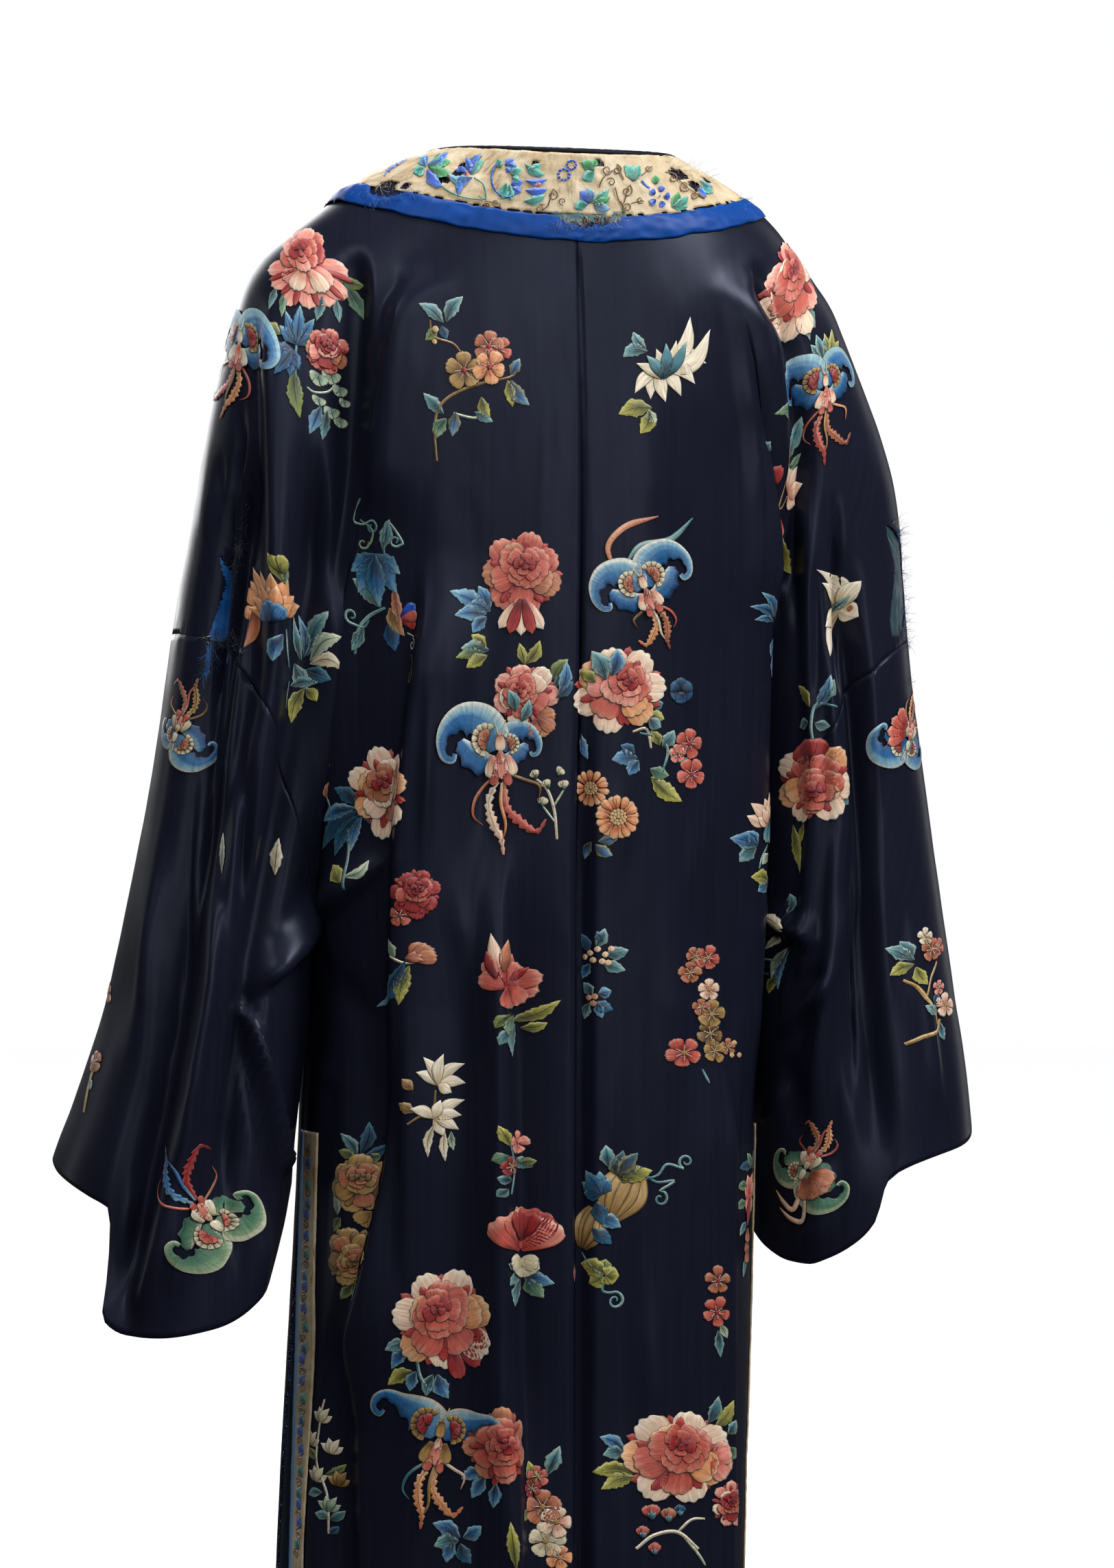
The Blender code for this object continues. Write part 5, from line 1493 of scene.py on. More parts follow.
def worn_silk(name, colour, stain, bare, roughness=0.5):
    """Old silk with broken warps: pale threads, brown stains and thin bars where the ground shows."""
    made = Nodes(name)
    flat = made.add("UVMap", uv_map="flat").outputs[0]
    warp = made.noise(flat, 1.0, 3.0, (1500, 130, 1))
    weft = made.noise(flat, 1.0, 2.0, (160, 1200, 1))
    stains = made.ramp(made.noise(flat, 45.0, 5.0), (0.38, colour), (0.62, stain))
    broken = made.ramp(made.math("MULTIPLY", made.noise(flat, 1.0, 4.0, (420, 90, 1)),
                                 made.noise(flat, 22.0, 2.0)),
                       (0.34, (0, 0, 0)), (0.44, (1, 1, 1)))
    tone = made.ramp(warp, (0.3, (0.8, 0.79, 0.77)), (0.7, (1.08, 1.08, 1.08)))
    made.set(Base_Color=made.mix(1.0, made.mix(broken, stains, bare), tone, "MULTIPLY"),
             Roughness=roughness)
    made.set(Sheen_Weight=0.1, Sheen_Roughness=0.4)
    rumple = made.bump(made.noise(flat, 1.0, 4.0, (150, 190, 1)), 0.0007, 0.8)
    made.set(Normal=made.bump(made.math("ADD", warp, made.math("MULTIPLY", weft, 0.6)), 0.00025, 0.8,
                              rumple))
    return made.material


SLIT_PLACE = 900.0


def slit_edge_silk():
    """Dark teal cloth at the slit's edge, and a light blue strip where it meets the cream band."""
    made = Nodes("slit_edge_silk")
    flat = made.add("UVMap", uv_map="flat").outputs[0]
    across = made.add("SeparateXYZ", {"Vector": flat}).outputs[0]
    thread = made.noise(flat, 1.0, 3.0, (900, 160, 1))
    place = made.math("MULTIPLY", made.math("SUBTRACT", across, SLIT_PLACE * MM),
                      1 / (SLIT_BINDING_WIDTH * MM))
    place = made.math("ADD", place, made.math("MULTIPLY", thread, 0.12))
    colours = made.ramp(place, (0.12, srgb("0b2c66")), (0.2, srgb("14323f")), (0.5, srgb("18384a")),
                        (0.62, srgb("5f8fca")),
                        (0.95, srgb("7ba6d6")))
    made.set(Base_Color=colours, Roughness=0.5)
    made.set(Normal=made.bump(thread, 0.0002, 0.7))
    return made.material


CREAM = worn_silk("worn_cream_silk", srgb("cbbb9d"), srgb("b39c77"), srgb("8d7758"))
EDGE_BLUE = satin("edge_blue_satin", srgb("05408c"), srgb("043070"), roughness=0.42, gloss=0.2)
SLIT_BLUE = slit_edge_silk()
BLACK = satin("black_satin", srgb("0b0a0c"), srgb("15131a"), roughness=0.5)
TEAL = plain_silk("teal_gauze", srgb("45737a"), srgb("2d555f"), 0.6)
RIP_BLUE = plain_silk("rip_blue_silk", srgb("0f62ac"), srgb("0a4a90"), 0.5)
RIP_TEAL = plain_silk("rip_teal_silk", srgb("23414b"), srgb("182c36"), 0.5)


def strip(name, rows, materials, uv, keep=None, thick=0.4, reverse=False):
    """A cloth strip from a grid of points, where keep says which of them stay, and its area."""
    keep = np.ones(rows.shape[:2], bool) if keep is None else keep
    faces = grid_faces(keep)
    used = np.unique(faces)
    faces = np.searchsorted(used, faces)
    if reverse:
        faces = faces[:, ::-1]
    made = mesh_object(name, rows[keep][used], faces, materials, uv[keep][used])
    area = area_of(rows[keep][used], faces)
    if thick:
        thicken(made, thick)
    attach(made, "root")
    return made, area


# Worn places in the neck's cream band, in the photo's frame: where, and how far across and down.
BAND_HOLES = ((659, 240, 8, 13), (644, 262, 8, 5), (582, 272, 12, 9), (999, 255, 18, 7), (1016, 270, 8, 7),
              (1034, 262, 7, 4),
              (762, 238, 5, 3), (884, 240, 6, 3), (610, 272, 5, 4))


def neck_flat(x, y):
    spot = Motif(x, y, group="places")
    THREADS.pop("places", None)
    return spot.home


def make_neck_band():
    turn, far = neck_columns(1.9)
    drop = np.linspace(1.0, 46.5, 27)
    far, drop = np.meshgrid(far, drop)
    turn = np.broadcast_to(turn, far.shape)
    lift = 1.5 + 0.45 * waves(far / 11, drop / 9, 31) + 0.2 * waves(far / 3, drop / 3, 32)
    rows = neck_points(turn, drop, lift)
    keep = drop < 45 + 1.3 * waves(far / 4, drop * 0, 33)
    for x, y, wide, tall in BAND_HOLES:
        across, down = neck_flat(x, y)
        away = ((far - across) / (wide / 2.0)) ** 2 + ((drop - down) / (tall / 1.9)) ** 2
        keep &= away + 0.5 * waves(far / 3, drop / 2.5, 34) > 1
    made, area = strip("neck_band_silk", rows, [CREAM], np.stack([far, -drop], axis=-1), keep)
    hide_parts("neck_band")
    return made, area, keep, far, drop, rows


def make_neck_edging():
    turn, far = neck_columns(1.9)
    share = np.linspace(0, 1, 15)
    far, share = np.meshgrid(far, share)
    turn = np.broadcast_to(turn, far.shape)
    top = np.full(far.shape, 43.0) + 0.7 * waves(far / 7, 0 * far, 41)
    low = np.full(far.shape, 62.5) + 0.8 * waves(far / 16, 0 * far, 42)
    torn_at = neck_flat(858, 335)[0]
    torn = np.exp(-(((far - torn_at) / 17) ** 4))
    top += torn * (6.5 + 2.5 * waves(far / 4, 0 * far, 43))
    shoulder_at = neck_flat(584, 285)[0]
    bare = np.exp(-(((far - shoulder_at) / 12) ** 4))
    top += bare * (8 + 2.5 * waves(far / 3, 0 * far, 44))
    drop = top + (low - top) * share
    roll_at = neck_flat(530, 275)[0]
    roll = np.exp(-(((far - roll_at) / 16) ** 4))
    puff = np.sin(math.pi * np.clip(share * 0.94 + 0.06, 0, 1)) ** 0.6
    lift = 0.7 + 1.5 * puff + 2.2 * roll * puff + 0.35 * waves(far / 9, share * 2, 45)
    lift = lift + 0.5 * torn * waves(far / 3, share * 3, 46)
    rows = neck_points(turn, drop, lift)
    upper_edge = 0.04 + 0.05 * waves(far / 2.5, 0 * far, 47) * (torn + bare + 0.2)
    lower_edge = 0.985 + 0.02 * waves(far / 3, 0 * far, 48)
    keep = (share > upper_edge) & (share < lower_edge)
    made, area = strip("neck_edging_silk", rows, [EDGE_BLUE], np.stack([far, -drop], axis=-1), keep)
    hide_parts("neck_edging")
    # what shows in the torn place: a scrap of teal gauze, over the dark silk
    near = np.abs(far[0] - torn_at) < 24
    x, part = np.meshgrid(far[0][near], np.linspace(0, 1, 9))
    t = np.broadcast_to(turn[0][near], x.shape)
    lift = 1.2 + 0.5 * waves(x / 4, part * 4, 51)
    rows = neck_points(t, 41 + 12 * part, lift)
    edge = part < 0.75 + 0.25 * waves(x / 3, 0 * x, 52)
    gauze, gauze_area = strip("neck_gauze", rows, [TEAL], np.stack([x, -40 - 12 * part], axis=-1), edge,
                              0.3)
    return made, area, gauze, gauze_area


def make_neck_binding():
    turn, far = neck_columns(1.8)
    rim = neck_points(turn, 1.0, 0)
    below = neck_points(turn, 3.0, 0)
    up = unit(rim - below)
    out = np.cross(unit(np.gradient(rim, axis=0)), up)
    radius = 2.3 + 0.12 * waves(far / 6, far * 0, 61)
    centre = rim + up * 1.9
    angles = np.linspace(0, math.tau, 13)
    turned = np.cos(angles)[:, None, None] * out * 0.75 + np.sin(angles)[:, None, None] * up
    rows = centre + radius[None, :, None] * turned
    x, a = np.meshgrid(far, angles * 2.3)
    faces = grid_faces(np.ones(x.shape, bool))
    made = mesh_object("neck_binding_silk", rows.reshape(-1, 3), faces, [BLACK],
                       np.stack([x, a], axis=-1).reshape(-1, 2))
    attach(made, "root")
    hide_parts("neck_binding")
    return made, area_of(rows.reshape(-1, 3), faces)


def slit_turns(side, widths, drops):
    """Turns on the back panel these far round from the slit's edge."""
    found = []
    for drop in drops:
        turns = np.linspace(VALLEY_TURN, VALLEY_TURN / 3, 120)
        steps = np.linalg.norm(np.diff(surface(side, turns, drop), axis=0), axis=1)
        found.append(np.interp(widths, np.concatenate([[0], np.cumsum(steps)]), turns))
    return np.array(found)


def make_slit_trims(side):
    made = []
    drops = np.arange(SLIT_TOP_DROP, BACK_LENGTH + 0.1, 2.5)
    for name, first, last, cells, material, slot, puff in (
        ("binding", 0.0, SLIT_BINDING_WIDTH, 8, SLIT_BLUE, "blue_satin", 0.8),
        ("band", 8.2, 28.0, 14, CREAM, "cream_satin", 0.2),
        ("piping", 28.0, 31.5, 6, CREAM, "cream_satin", 1.1),
    ):
        widths = np.linspace(first, last, cells + 1)
        turn = slit_turns(side, widths, drops)
        width, drop = np.meshgrid(widths, drops)
        share = (width - first) / (last - first)
        lift = 1.0 + puff * np.sqrt(np.clip(1 - (2 * share - 1) ** 2, 0, 1))
        lift = lift + 0.15 * waves(width / 4, drop / 9, 71)
        rows = lifted(side, turn, drop, lift)
        keep = width > 0.4 + 0.5 * waves(drop / 4, 0 * drop, 72) if name == "binding" else None
        piece, area = strip(f"slit_{name}_silk_{side}", rows, [material],
                            np.stack([width + SLIT_PLACE, -drop], axis=-1), keep,
                            reverse=side == "left")
        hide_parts(f"slit_{name}_{side}")
        made.append((piece, area, last - first))
    return made


def make_cuff_facing():
    stations = (VALLEY_TURN + 1e-4, 0.5, 1 - VALLEY_TURN - 1e-4)
    columns = column_turns("right", stations, (90, 50))
    rows = []
    turn = turns_at(columns, np.full(columns.shape[1], 700.0))
    for up in np.linspace(38, 0.6, 15):
        for _ in range(3):
            drop = cuff_drop("right", turn) - up * (1 + 0.06 * np.sin(turn * 160))
            turn = turns_at(columns, drop)
        rows.append(np.stack([turn, drop], axis=-1))
    grid = np.array(rows)
    turn, drop = grid[..., 0], grid[..., 1]
    place = lifted("right", turn, drop, np.full(turn.shape, -1.4) - 0.3 * waves(turn * 60, drop / 12, 81))
    flat = flat_place("right", turn, drop)
    made, area = strip("cuff_facing_silk_right", place, [CREAM], flat, thick=0.4)
    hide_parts("cuff_facing_right")
    return made, area


def make_rip_lining(name, tear, material):
    """A patch of lining just behind a tear."""
    side, (wide, tall) = tear["side"], tear["patch"]
    across, drop = tear["flat"].mean(axis=0)
    x, down = np.meshgrid(np.linspace(-wide / 2, wide / 2, 29), np.linspace(-tall / 2, tall / 2, 49))
    down = drop + down
    x = abs(across) + x
    columns = np.arange(ARC_CELLS + 1.0)
    levels = [look_up(ARCS[side], np.full(ARC_CELLS + 1, level / ARC_STEP), columns)
              for level in down[:, 0]]
    turn = np.array([np.interp(row, far, TURNS) for row, far in zip(x, levels)])
    lift = -1.5 - 0.5 * waves(x / 5, down / 11, 91) - 0.2 * waves(x / 2, down / 3, 92)
    place = lifted(side, turn, down, lift)
    made, area = strip("rip_silk_" + name, place, [material], np.stack([x, -down], axis=-1), thick=0.3,
                       reverse=side == "right")
    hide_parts("rip_lining_" + name)
    return made, area


STRANDS = {}


def strand(group, base, heading, length, colour, curl=0.5, sag=0.25, radius=0.13, steps=7):
    """One loose thread, which leaves its base along this heading and bends as it goes."""
    way = np.array(heading, float)
    way /= max(np.linalg.norm(way), 1e-9)
    bend = RNG.normal(0, curl, 3)
    twist = RNG.normal(0, curl * 0.7, 3)
    points = [np.array(base, float)]
    for i in range(steps):
        way = way + (bend + twist * math.sin(3 * i / steps)) / steps * 1.5
        way[2] -= sag / steps
        way /= np.linalg.norm(way)
        points.append(points[-1] + way * length / steps)
    STRANDS.setdefault(group, []).append((np.array(points), radius, np.array(colour)))


def loose_threads(group, spots, floss, count, length, lean=None, lift=0.6, spread=3.0, out=0.25, curl=0.6,
                  sag=0.2, radius=0.13, spray=50):
    """Threads from places of the photo: lengths and spreads in its pixels, lean clockwise from up."""
    for x, y in spots:
        m = Motif(x, y, group="places")
        for _ in range(count):
            u, v = x + RNG.normal(0, spread), y + RNG.normal(0, spread)
            degrees = RNG.uniform(0, 360) if lean is None else lean + RNG.normal(0, spray / 2)
            places = np.array([m.flat(u, v), m.flat(*polar(u, v, 6, degrees))])
            points, normals = m.ground.place(places[:, 0], places[:, 1])
            normal = normals[0] / max(np.linalg.norm(normals[0]), 1e-9)
            heading = points[1] - points[0]
            heading = heading / max(np.linalg.norm(heading), 1e-9) + normal * out * RNG.uniform(0.2, 1.6)
            if isinstance(floss, str):
                colour = FLOSS[floss][RNG.integers(0, 3)]
            else:
                colour = FLOSS[floss[RNG.integers(0, len(floss))]][1]
            long = length / PIXELS_PER_MM * RNG.uniform(0.4, 1.3)
            strand(group, points[0] + normal * lift, heading, long, colour, curl, sag, radius)
    THREADS.pop("places", None)


def spin(name, group):
    """The loose threads of a group as one mesh of thin three-sided tubes."""
    points, faces, colours, uvs = [], [], [], []
    count = 0
    for line, radius, colour in STRANDS[group]:
        along = unit(np.gradient(line, axis=0))
        side = unit(np.cross(along, np.array((0.31, 0.2, 0.93))))
        up = np.cross(along, side)
        taper = np.linspace(1, 0.45, len(line))[:, None] * radius
        corners = [line + taper * (math.cos(a) * side + math.sin(a) * up)
                   for a in (0, math.tau / 3, 2 * math.tau / 3)]
        ring_points = np.stack(corners, axis=1)
        n = len(line)
        for i in range(n - 1):
            for k in range(3):
                a, b = count + 3 * i + k, count + 3 * i + (k + 1) % 3
                faces.append((a, b, b + 3, a + 3))
        points.append(ring_points.reshape(-1, 3))
        shade = RNG.uniform(0.75, 1.15)
        colours.append(np.tile([*(colour * shade), 0.5], (3 * n, 1)))
        length = np.linspace(0, 10, n)
        flat = np.stack([np.tile([0, 0.3, 0.6], n), np.repeat(length, 3)], axis=-1)
        uvs.append(flat + RNG.uniform(0, 50, 2))
        count += 3 * n
    made = mesh_object(name, np.concatenate(points), faces, [FLOSS_MATERIAL], np.concatenate(uvs),
                       np.concatenate(colours), uv_name="stitch")
    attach(made, "root")
    return made


BAND, BAND_AREA, BAND_KEEP, BAND_FAR, BAND_DROP, BAND_ROWS = make_neck_band()
EDGING, EDGING_AREA, GAUZE, GAUZE_AREA = make_neck_edging()
BINDING, BINDING_AREA = make_neck_binding()
SLIT_TRIMS = {side: make_slit_trims(side) for side in SIDES}
FACING, FACING_AREA = make_cuff_facing()
LININGS = {name: make_rip_lining(name, tear, RIP_TEAL if name == "right" else RIP_BLUE)
           for name, tear in TEARS.items()}


def fray_neck():
    """Broken threads along the band's edges and round its holes, and at the torn ends of the blue edging."""
    picks = np.random.default_rng(5)
    keep, far, drop, rows = BAND_KEEP, BAND_FAR, BAND_DROP, BAND_ROWS
    edge = np.zeros(keep.shape, bool)
    neighbours_kept = keep[:-2, 1:-1] & keep[2:, 1:-1] & keep[1:-1, :-2] & keep[1:-1, 2:]
    edge[1:-1, 1:-1] = keep[1:-1, 1:-1] & ~neighbours_kept
    inner_edge = edge & (drop < 43) & (np.abs(far) < 230)
    for i, j in zip(*np.nonzero(inner_edge)):
        gaps = [step for step in ((-1, 0), (1, 0), (0, -1), (0, 1)) if not keep[i + step[0], j + step[1]]]
        other = rows[i + gaps[0][0], j + gaps[0][1]] - rows[i, j]
        for _ in range(1 if picks.random() < 0.7 else 2):
            heading = other / max(np.linalg.norm(other), 1e-9) + picks.normal(0, 0.5, 3)
            long = picks.uniform(1.5, 5)
            floss = ("ivory", "peach", "gold", "ivory")[picks.integers(0, 4)]
            colour = FLOSS[floss][picks.integers(1, 3)] * 0.85
            strand("cream", rows[i, j], heading, long, colour, 0.8, 0.3, 0.09)
    loose_threads("cream", [(x, 236) for x in range(668, 700, 6)] + [(640, 224), (648, 226), (628, 228)],
                  ("ivory", "gold"), 4, 12, None, 1.8, 4, 0.3, radius=0.09)
    loose_threads("cream", ((560, 272), (575, 262), (592, 262), (604, 258)), ("ivory", "gold"), 8, 20, 200,
                  1.8, 5, 0.3, radius=0.1)
    loose_threads("cream", ((975, 240), (990, 246), (1005, 252), (1020, 256), (1034, 262)),
                  ("ivory", "gold", "sage", "grey"), 12, 22, 60, 1.8, 6, 0.4, radius=0.09)
    loose_threads("cream", [(x, 318) for x in range(820, 905, 7)], ("ivory", "gold", "ivory"), 9, 15, 180,
                  1.9, 3, 0.3, spray=70, radius=0.09)
    loose_threads("blue", [(x, 331) for x in range(806, 900, 8)], ("dark_blue", "bright_blue"), 8, 14, None,
                  2.6, 4, 0.35, radius=0.1)
    loose_threads("blue", [(x, 300 - 0.25 * (x - 545)) for x in range(540, 612, 6)],
                  ("dark_blue", "bright_blue"), 8, 15, 350, 2.6, 3, 0.35, radius=0.1)
    loose_threads("blue", ((512, 283), (520, 280), (530, 282), (540, 284)), "dark_blue", 8, 12, 180, 3.4, 3,
                  0.3, radius=0.1)
    loose_threads("blue", ((1088, 290), (1090, 298), (1086, 306)), ("dark_blue", "bright_blue"), 14, 12, 80,
                  2.2, 3, 0.4, radius=0.1)
    loose_threads("cream", ((556, 272),), "ivory", 3, 44, 195, 2.4, 2, 0.3, curl=1.2, radius=0.16)


def fray_tears():
    left = TEARS["left_upper"]["outline"]
    loose_threads("grey", [(x, y) for x, y in left], ("grey", "black", "grey"), 6, 13, None, 0.3, 2.0, 0.1,
                  radius=0.09)
    loose_threads("grey", ((362, 738), (360, 748), (358, 760), (357, 768)), ("grey", "black"), 7, 14, 190,
                  0.5, 1.6, 0.2, radius=0.1)
    loose_threads("grey", ((354, 784), (352, 792), (350, 800), (347, 808), (344, 818), (341, 826)),
                  ("grey", "black", "grey"), 13, 22, 205, 0.5, 2.4, 0.35,
                  radius=0.1, spray=60)
    loose_threads("grey", ((322, 922), (328, 926), (318, 928)), ("grey", "black"), 14, 26, 190, 0.5, 4, 0.3,
                  radius=0.1)
    for x in range(294, 350, 3):
        y = 930 + (x - 294) * 0.34
        loose_threads("grey", ((x, y),), ("black", "grey", "bright_blue"), 3, 16, 100, 0.6, 1.8, 0.2,
                      radius=0.11, spray=60)
    loose_threads("grey", ((296, 930), (300, 931), (304, 933), (347, 949), (351, 949)), "ivory", 2, 6, 100,
                  0.8, 1.0, 0.2, radius=0.16)
    loose_threads("grey", ((335, 915), (337, 918)), "grey", 2, 74, 172, 0.6, 1.0, 0.1, curl=0.15, sag=0.5,
                  radius=0.11)
    loose_threads("grey", ((310, 944), (308, 952), (306, 960), (304, 972), (302, 984)),
                  ("grey", "black", "bright_blue"), 11, 24, 190, 0.5, 2.6, 0.2, radius=0.1, spray=40)
    right = TEARS["right"]["outline"]
    loose_threads("grey", right, ("grey", "black", "dark_blue"), 5, 14, None, 0.4, 2, 0.3, radius=0.1)
    loose_threads("blue", ((1310, 772), (1316, 780), (1320, 792), (1324, 812), (1326, 832), (1328, 850),
                           (1328, 870), (1326, 890), (1322, 905)),
                  ("dark_blue", "bright_blue", "grey"), 12, 18, 75, 0.6, 3, 0.7, radius=0.1)
    loose_threads("grey", ((1306, 764), (1312, 768), (1318, 776)), ("grey", "sage", "black"), 12, 20, 20,
                  0.6, 3, 0.5, radius=0.1)
    loose_threads("grey", ((1312, 914), (1318, 920), (1324, 930), (1326, 940)),
                  ("grey", "black", "dark_blue"), 14, 18, None, 0.8, 4, 0.5, radius=0.1)
    loose_threads("grey", ((1326, 988), (1329, 998)), ("grey", "black"), 7, 11, 90, 0.5, 2, 0.5, radius=0.1)


def fray_slit():
    """The front edge beside the left slit has lost its binding, so its blue threads stand out."""
    picks = np.random.default_rng(6)
    for turn, other, lift, step, first in ((1 - VALLEY_TURN + 1e-4, 1 - VALLEY_TURN + 0.01, 0.0, 2.2, 10),
                                           (VALLEY_TURN - 1e-4, VALLEY_TURN - 0.01, 0.8, 5.0, 4)):
        drops = np.arange(SLIT_TOP_DROP + first, BACK_LENGTH - 2, step)
        place = lifted("left", turn, drops, np.full(drops.shape, lift))
        behind = lifted("left", other, drops, np.full(drops.shape, lift))
        out = unit(place - behind)
        for drop, base, way in zip(drops, place, out):
            amount = 2 + 3 * math.exp(-(((drop - 850) / 60) ** 2)) if lift == 0 else 1
            for _ in range(int(amount)):
                floss = ("dark_blue", "bright_blue", "black")[picks.integers(0, 3)]
                strand("blue", base, way + picks.normal(0, 0.45, 3), picks.uniform(1.5, 3.0 + amount),
                       FLOSS[floss][1], 0.7, 0.3, 0.12)


for fray_part in (fray_neck, fray_tears, fray_slit):
    fray_part()
FRAYS = {group: spin("frays_" + group, group) for group in list(STRANDS)}


def sew_shoulders():
    m = Motif(440, 378)
    leaves(m, (
        (395, 425, 389, 458, 8, "teal"), (408, 430, 412, 466, 7, "fern"), (462, 425, 456, 462, 8, "teal"),
        (478, 425, 484, 458, 7, "teal"), (492, 404, 517, 446, 12, "fern"),
        (488, 402, 520, 402, 9, "moss"),
    ))
    side_peony(m, 440, 386, 64, 175, "pink", "pink", "coral", "red")
    m = Motif(346, 512, layer=2)
    winged(m, 350, 500, 90, 16, -1, "blue", "teal", "red", "white",
           ("coral", "peach", "coral", "brown", "gold"), 0.85, 0.95)
    m = Motif(430, 530)
    stem(m, ((440, 455), (436, 490), (430, 540), (434, 560)), 1.6, "teal")
    lobed_leaf(m, (434, 506), (442, 452), 17, "blue", "teal", 1)
    lobed_leaf(m, (428, 512), (400, 545), 17, "deep", "blue", 1)
    leaf(m, (428, 536), (432, 600), 13, "moss", 0.05)
    leaf(m, (412, 494), (384, 484), 10, "green", 0.1)
    m = Motif(480, 540)
    leaf(m, (470, 585), (452, 622), 11, "blue")
    leaf(m, (478, 590), (470, 628), 9, "teal")
    for x, y, r in (
        (470, 546, 13), (488, 542, 14), (499, 560, 12), (468, 575, 10), (486, 588, 13), (500, 600, 12),
        (506, 576, 9),
    ):
        ring(m, x, y, 0, r * 1.1, r * 0.55, (200, 140, 260), "sage", 0)
    stem(m, ((452, 562), (462, 568), (480, 566), (492, 556)), 1.5, "sage")
    peony(m, 482, 515, 31, 20, "coral", "pink", "red", "red")
    m = Motif(1160, 405)
    leaves(m, (
        (1190, 440, 1205, 478, 9, "teal"), (1180, 450, 1196, 492, 8, "teal"),
        (1196, 400, 1216, 420, 9, "teal"),
    ))
    peony(m, 1158, 405, 62, -30, "pink", "coral", "coral", "red", 1.15)
    rays(m, 1165, 430, 12, 62, (150, 180, 205), 15, "cream", 3)
    m = Motif(1206, 570, layer=2)
    lobed_leaf(m, (1200, 530), (1190, 496), 15, "teal", level=-1)
    lobed_leaf(m, (1214, 530), (1226, 490), 15, "green", level=-1)
    winged(m, 1204, 566, 76, -10, 1, "blue", "teal", "red", "cream",
           ("coral", "coral", "rust", "gold", "peach"), 0.95, 1.0)
    m = Motif(1150, 700)
    stem(m, ((1150, 655), (1152, 690), (1143, 730), (1148, 758)), 1.6, "brown")
    stem(m, ((1120, 700), (1134, 728), (1148, 735), (1164, 716)), 1.4, "brown")
    leaves(m, (
        (1146, 628, 1104, 606, 13, "fern", 0.25), (1112, 655, 1092, 640, 9, "teal"),
        (1152, 672, 1180, 624, 15, "teal", 0.1), (1154, 682, 1184, 672, 9, "fern", 0.2),
        (1126, 722, 1132, 790, 9, "teal", -0.15), (1162, 768, 1171, 826, 11, "green", -0.05),
    ))
    ring(m, 1117, 712, 0, 34, 13, (-30, 25, 0), "red", 2)
    magnolia(m, 1163, 718, 36, ((-20, 1, 0.1), (30, 1, -0.1), (75, 0.8, 0), (5, 0.9, 0), (125, 0.7, 0.1)),
             "cream", 0.32, 2)
    ring(m, 1148, 748, 0, 28, 8, (150, 205, 180), "coral", 2)
    m = Motif(1226, 885)
    magnolia(m, 1226, 888, 66, ((-22, 0.95, 0.12), (-40, 0.7, 0.1), (32, 0.6, -0.1), (195, 1.0, 0.1),
                                (110, 0.45, 0), (230, 0.6, 0)), "white", 0.2)
    leaf(m, (1216, 894), (1236, 872), 6, "teal", level=4)
    knot(m, 1240, 888, 4, "rust", 5)


def sew_upper_back():
    m = Motif(690, 540)
    stem(m, ((636, 664), (633, 620), (640, 590), (664, 570), (700, 556), (740, 548), (752, 540)), 2.0,
         "brown")
    stem(m, ((628, 470), (632, 492), (660, 500), (672, 512)), 1.8, "brown")
    stem(m, ((660, 598), (690, 604), (704, 598)), 1.8, "sage")
    for a, b, w, f, bend in (
        ((648, 472), (612, 448), 12, "teal", 0.1), ((652, 470), (678, 432), 12, "teal", -0.1),
        ((640, 480), (620, 500), 9, "moss", 0), ((645, 476), (652, 496), 8, "deep", 0),
        ((646, 600), (616, 574), 11, "teal", 0), ((650, 606), (634, 634), 12, "fern", 0.1),
        ((664, 596), (658, 630), 11, "blue", 0), ((690, 596), (716, 610), 9, "teal", 0),
        ((742, 552), (768, 590), 12, "blue", 0.1), ((738, 552), (744, 590), 10, "green", 0),
        ((742, 546), (756, 522), 10, "blue", 0), ((700, 575), (712, 604), 10, "green", 0.1),
    ):
        leaf(m, a, b, w, f, bend, second="green" if f == "blue" else None)
    blossom(m, 712, 503, 24, "rust", "red", 10)
    blossom(m, 727, 508, 19, "coral", "red", 40)
    blossom(m, 676, 538, 28, "gold", "red", 0, level=3)
    blossom(m, 712, 533, 25, "peach", "red", 30, level=4)
    knot(m, 636, 482, 5, "gold", 2, 2)
    knot(m, 634, 500, 4, "gold", 2, 2)
    m = Motif(962, 545)
    leaves(m, (
        (946, 512, 912, 522, 12, "teal", 0.2), (944, 508, 926, 484, 10, "teal", -0.1),
        (952, 594, 906, 606, 15, "green", 0.1), (950, 598, 936, 632, 13, "green", -0.1),
        (946, 596, 958, 620, 9, "sage"),
    ))
    for i, (x, y, w, b) in enumerate(((1010, 462, 11, 0.2), (1042, 484, 12, 0.25), (1036, 534, 11, -0.25),
                                      (1018, 562, 10, -0.2),
                                      (996, 578, 9, -0.1), (972, 586, 9, 0.05), (950, 582, 8, 0.1),
                                      (928, 574, 8, 0.1))):
        petal(m, (962, 536), (x, y), w * 1.15, "white", i % 2, b, POINTED)
    for i, (x, y) in enumerate(((930, 530), (944, 518), (958, 508), (972, 500), (988, 496), (1004, 498))):
        petal(m, (968, 552), (x, y), 9, "teal" if i % 2 else "ivory", 3 + i % 2, 0.06, POINTED)


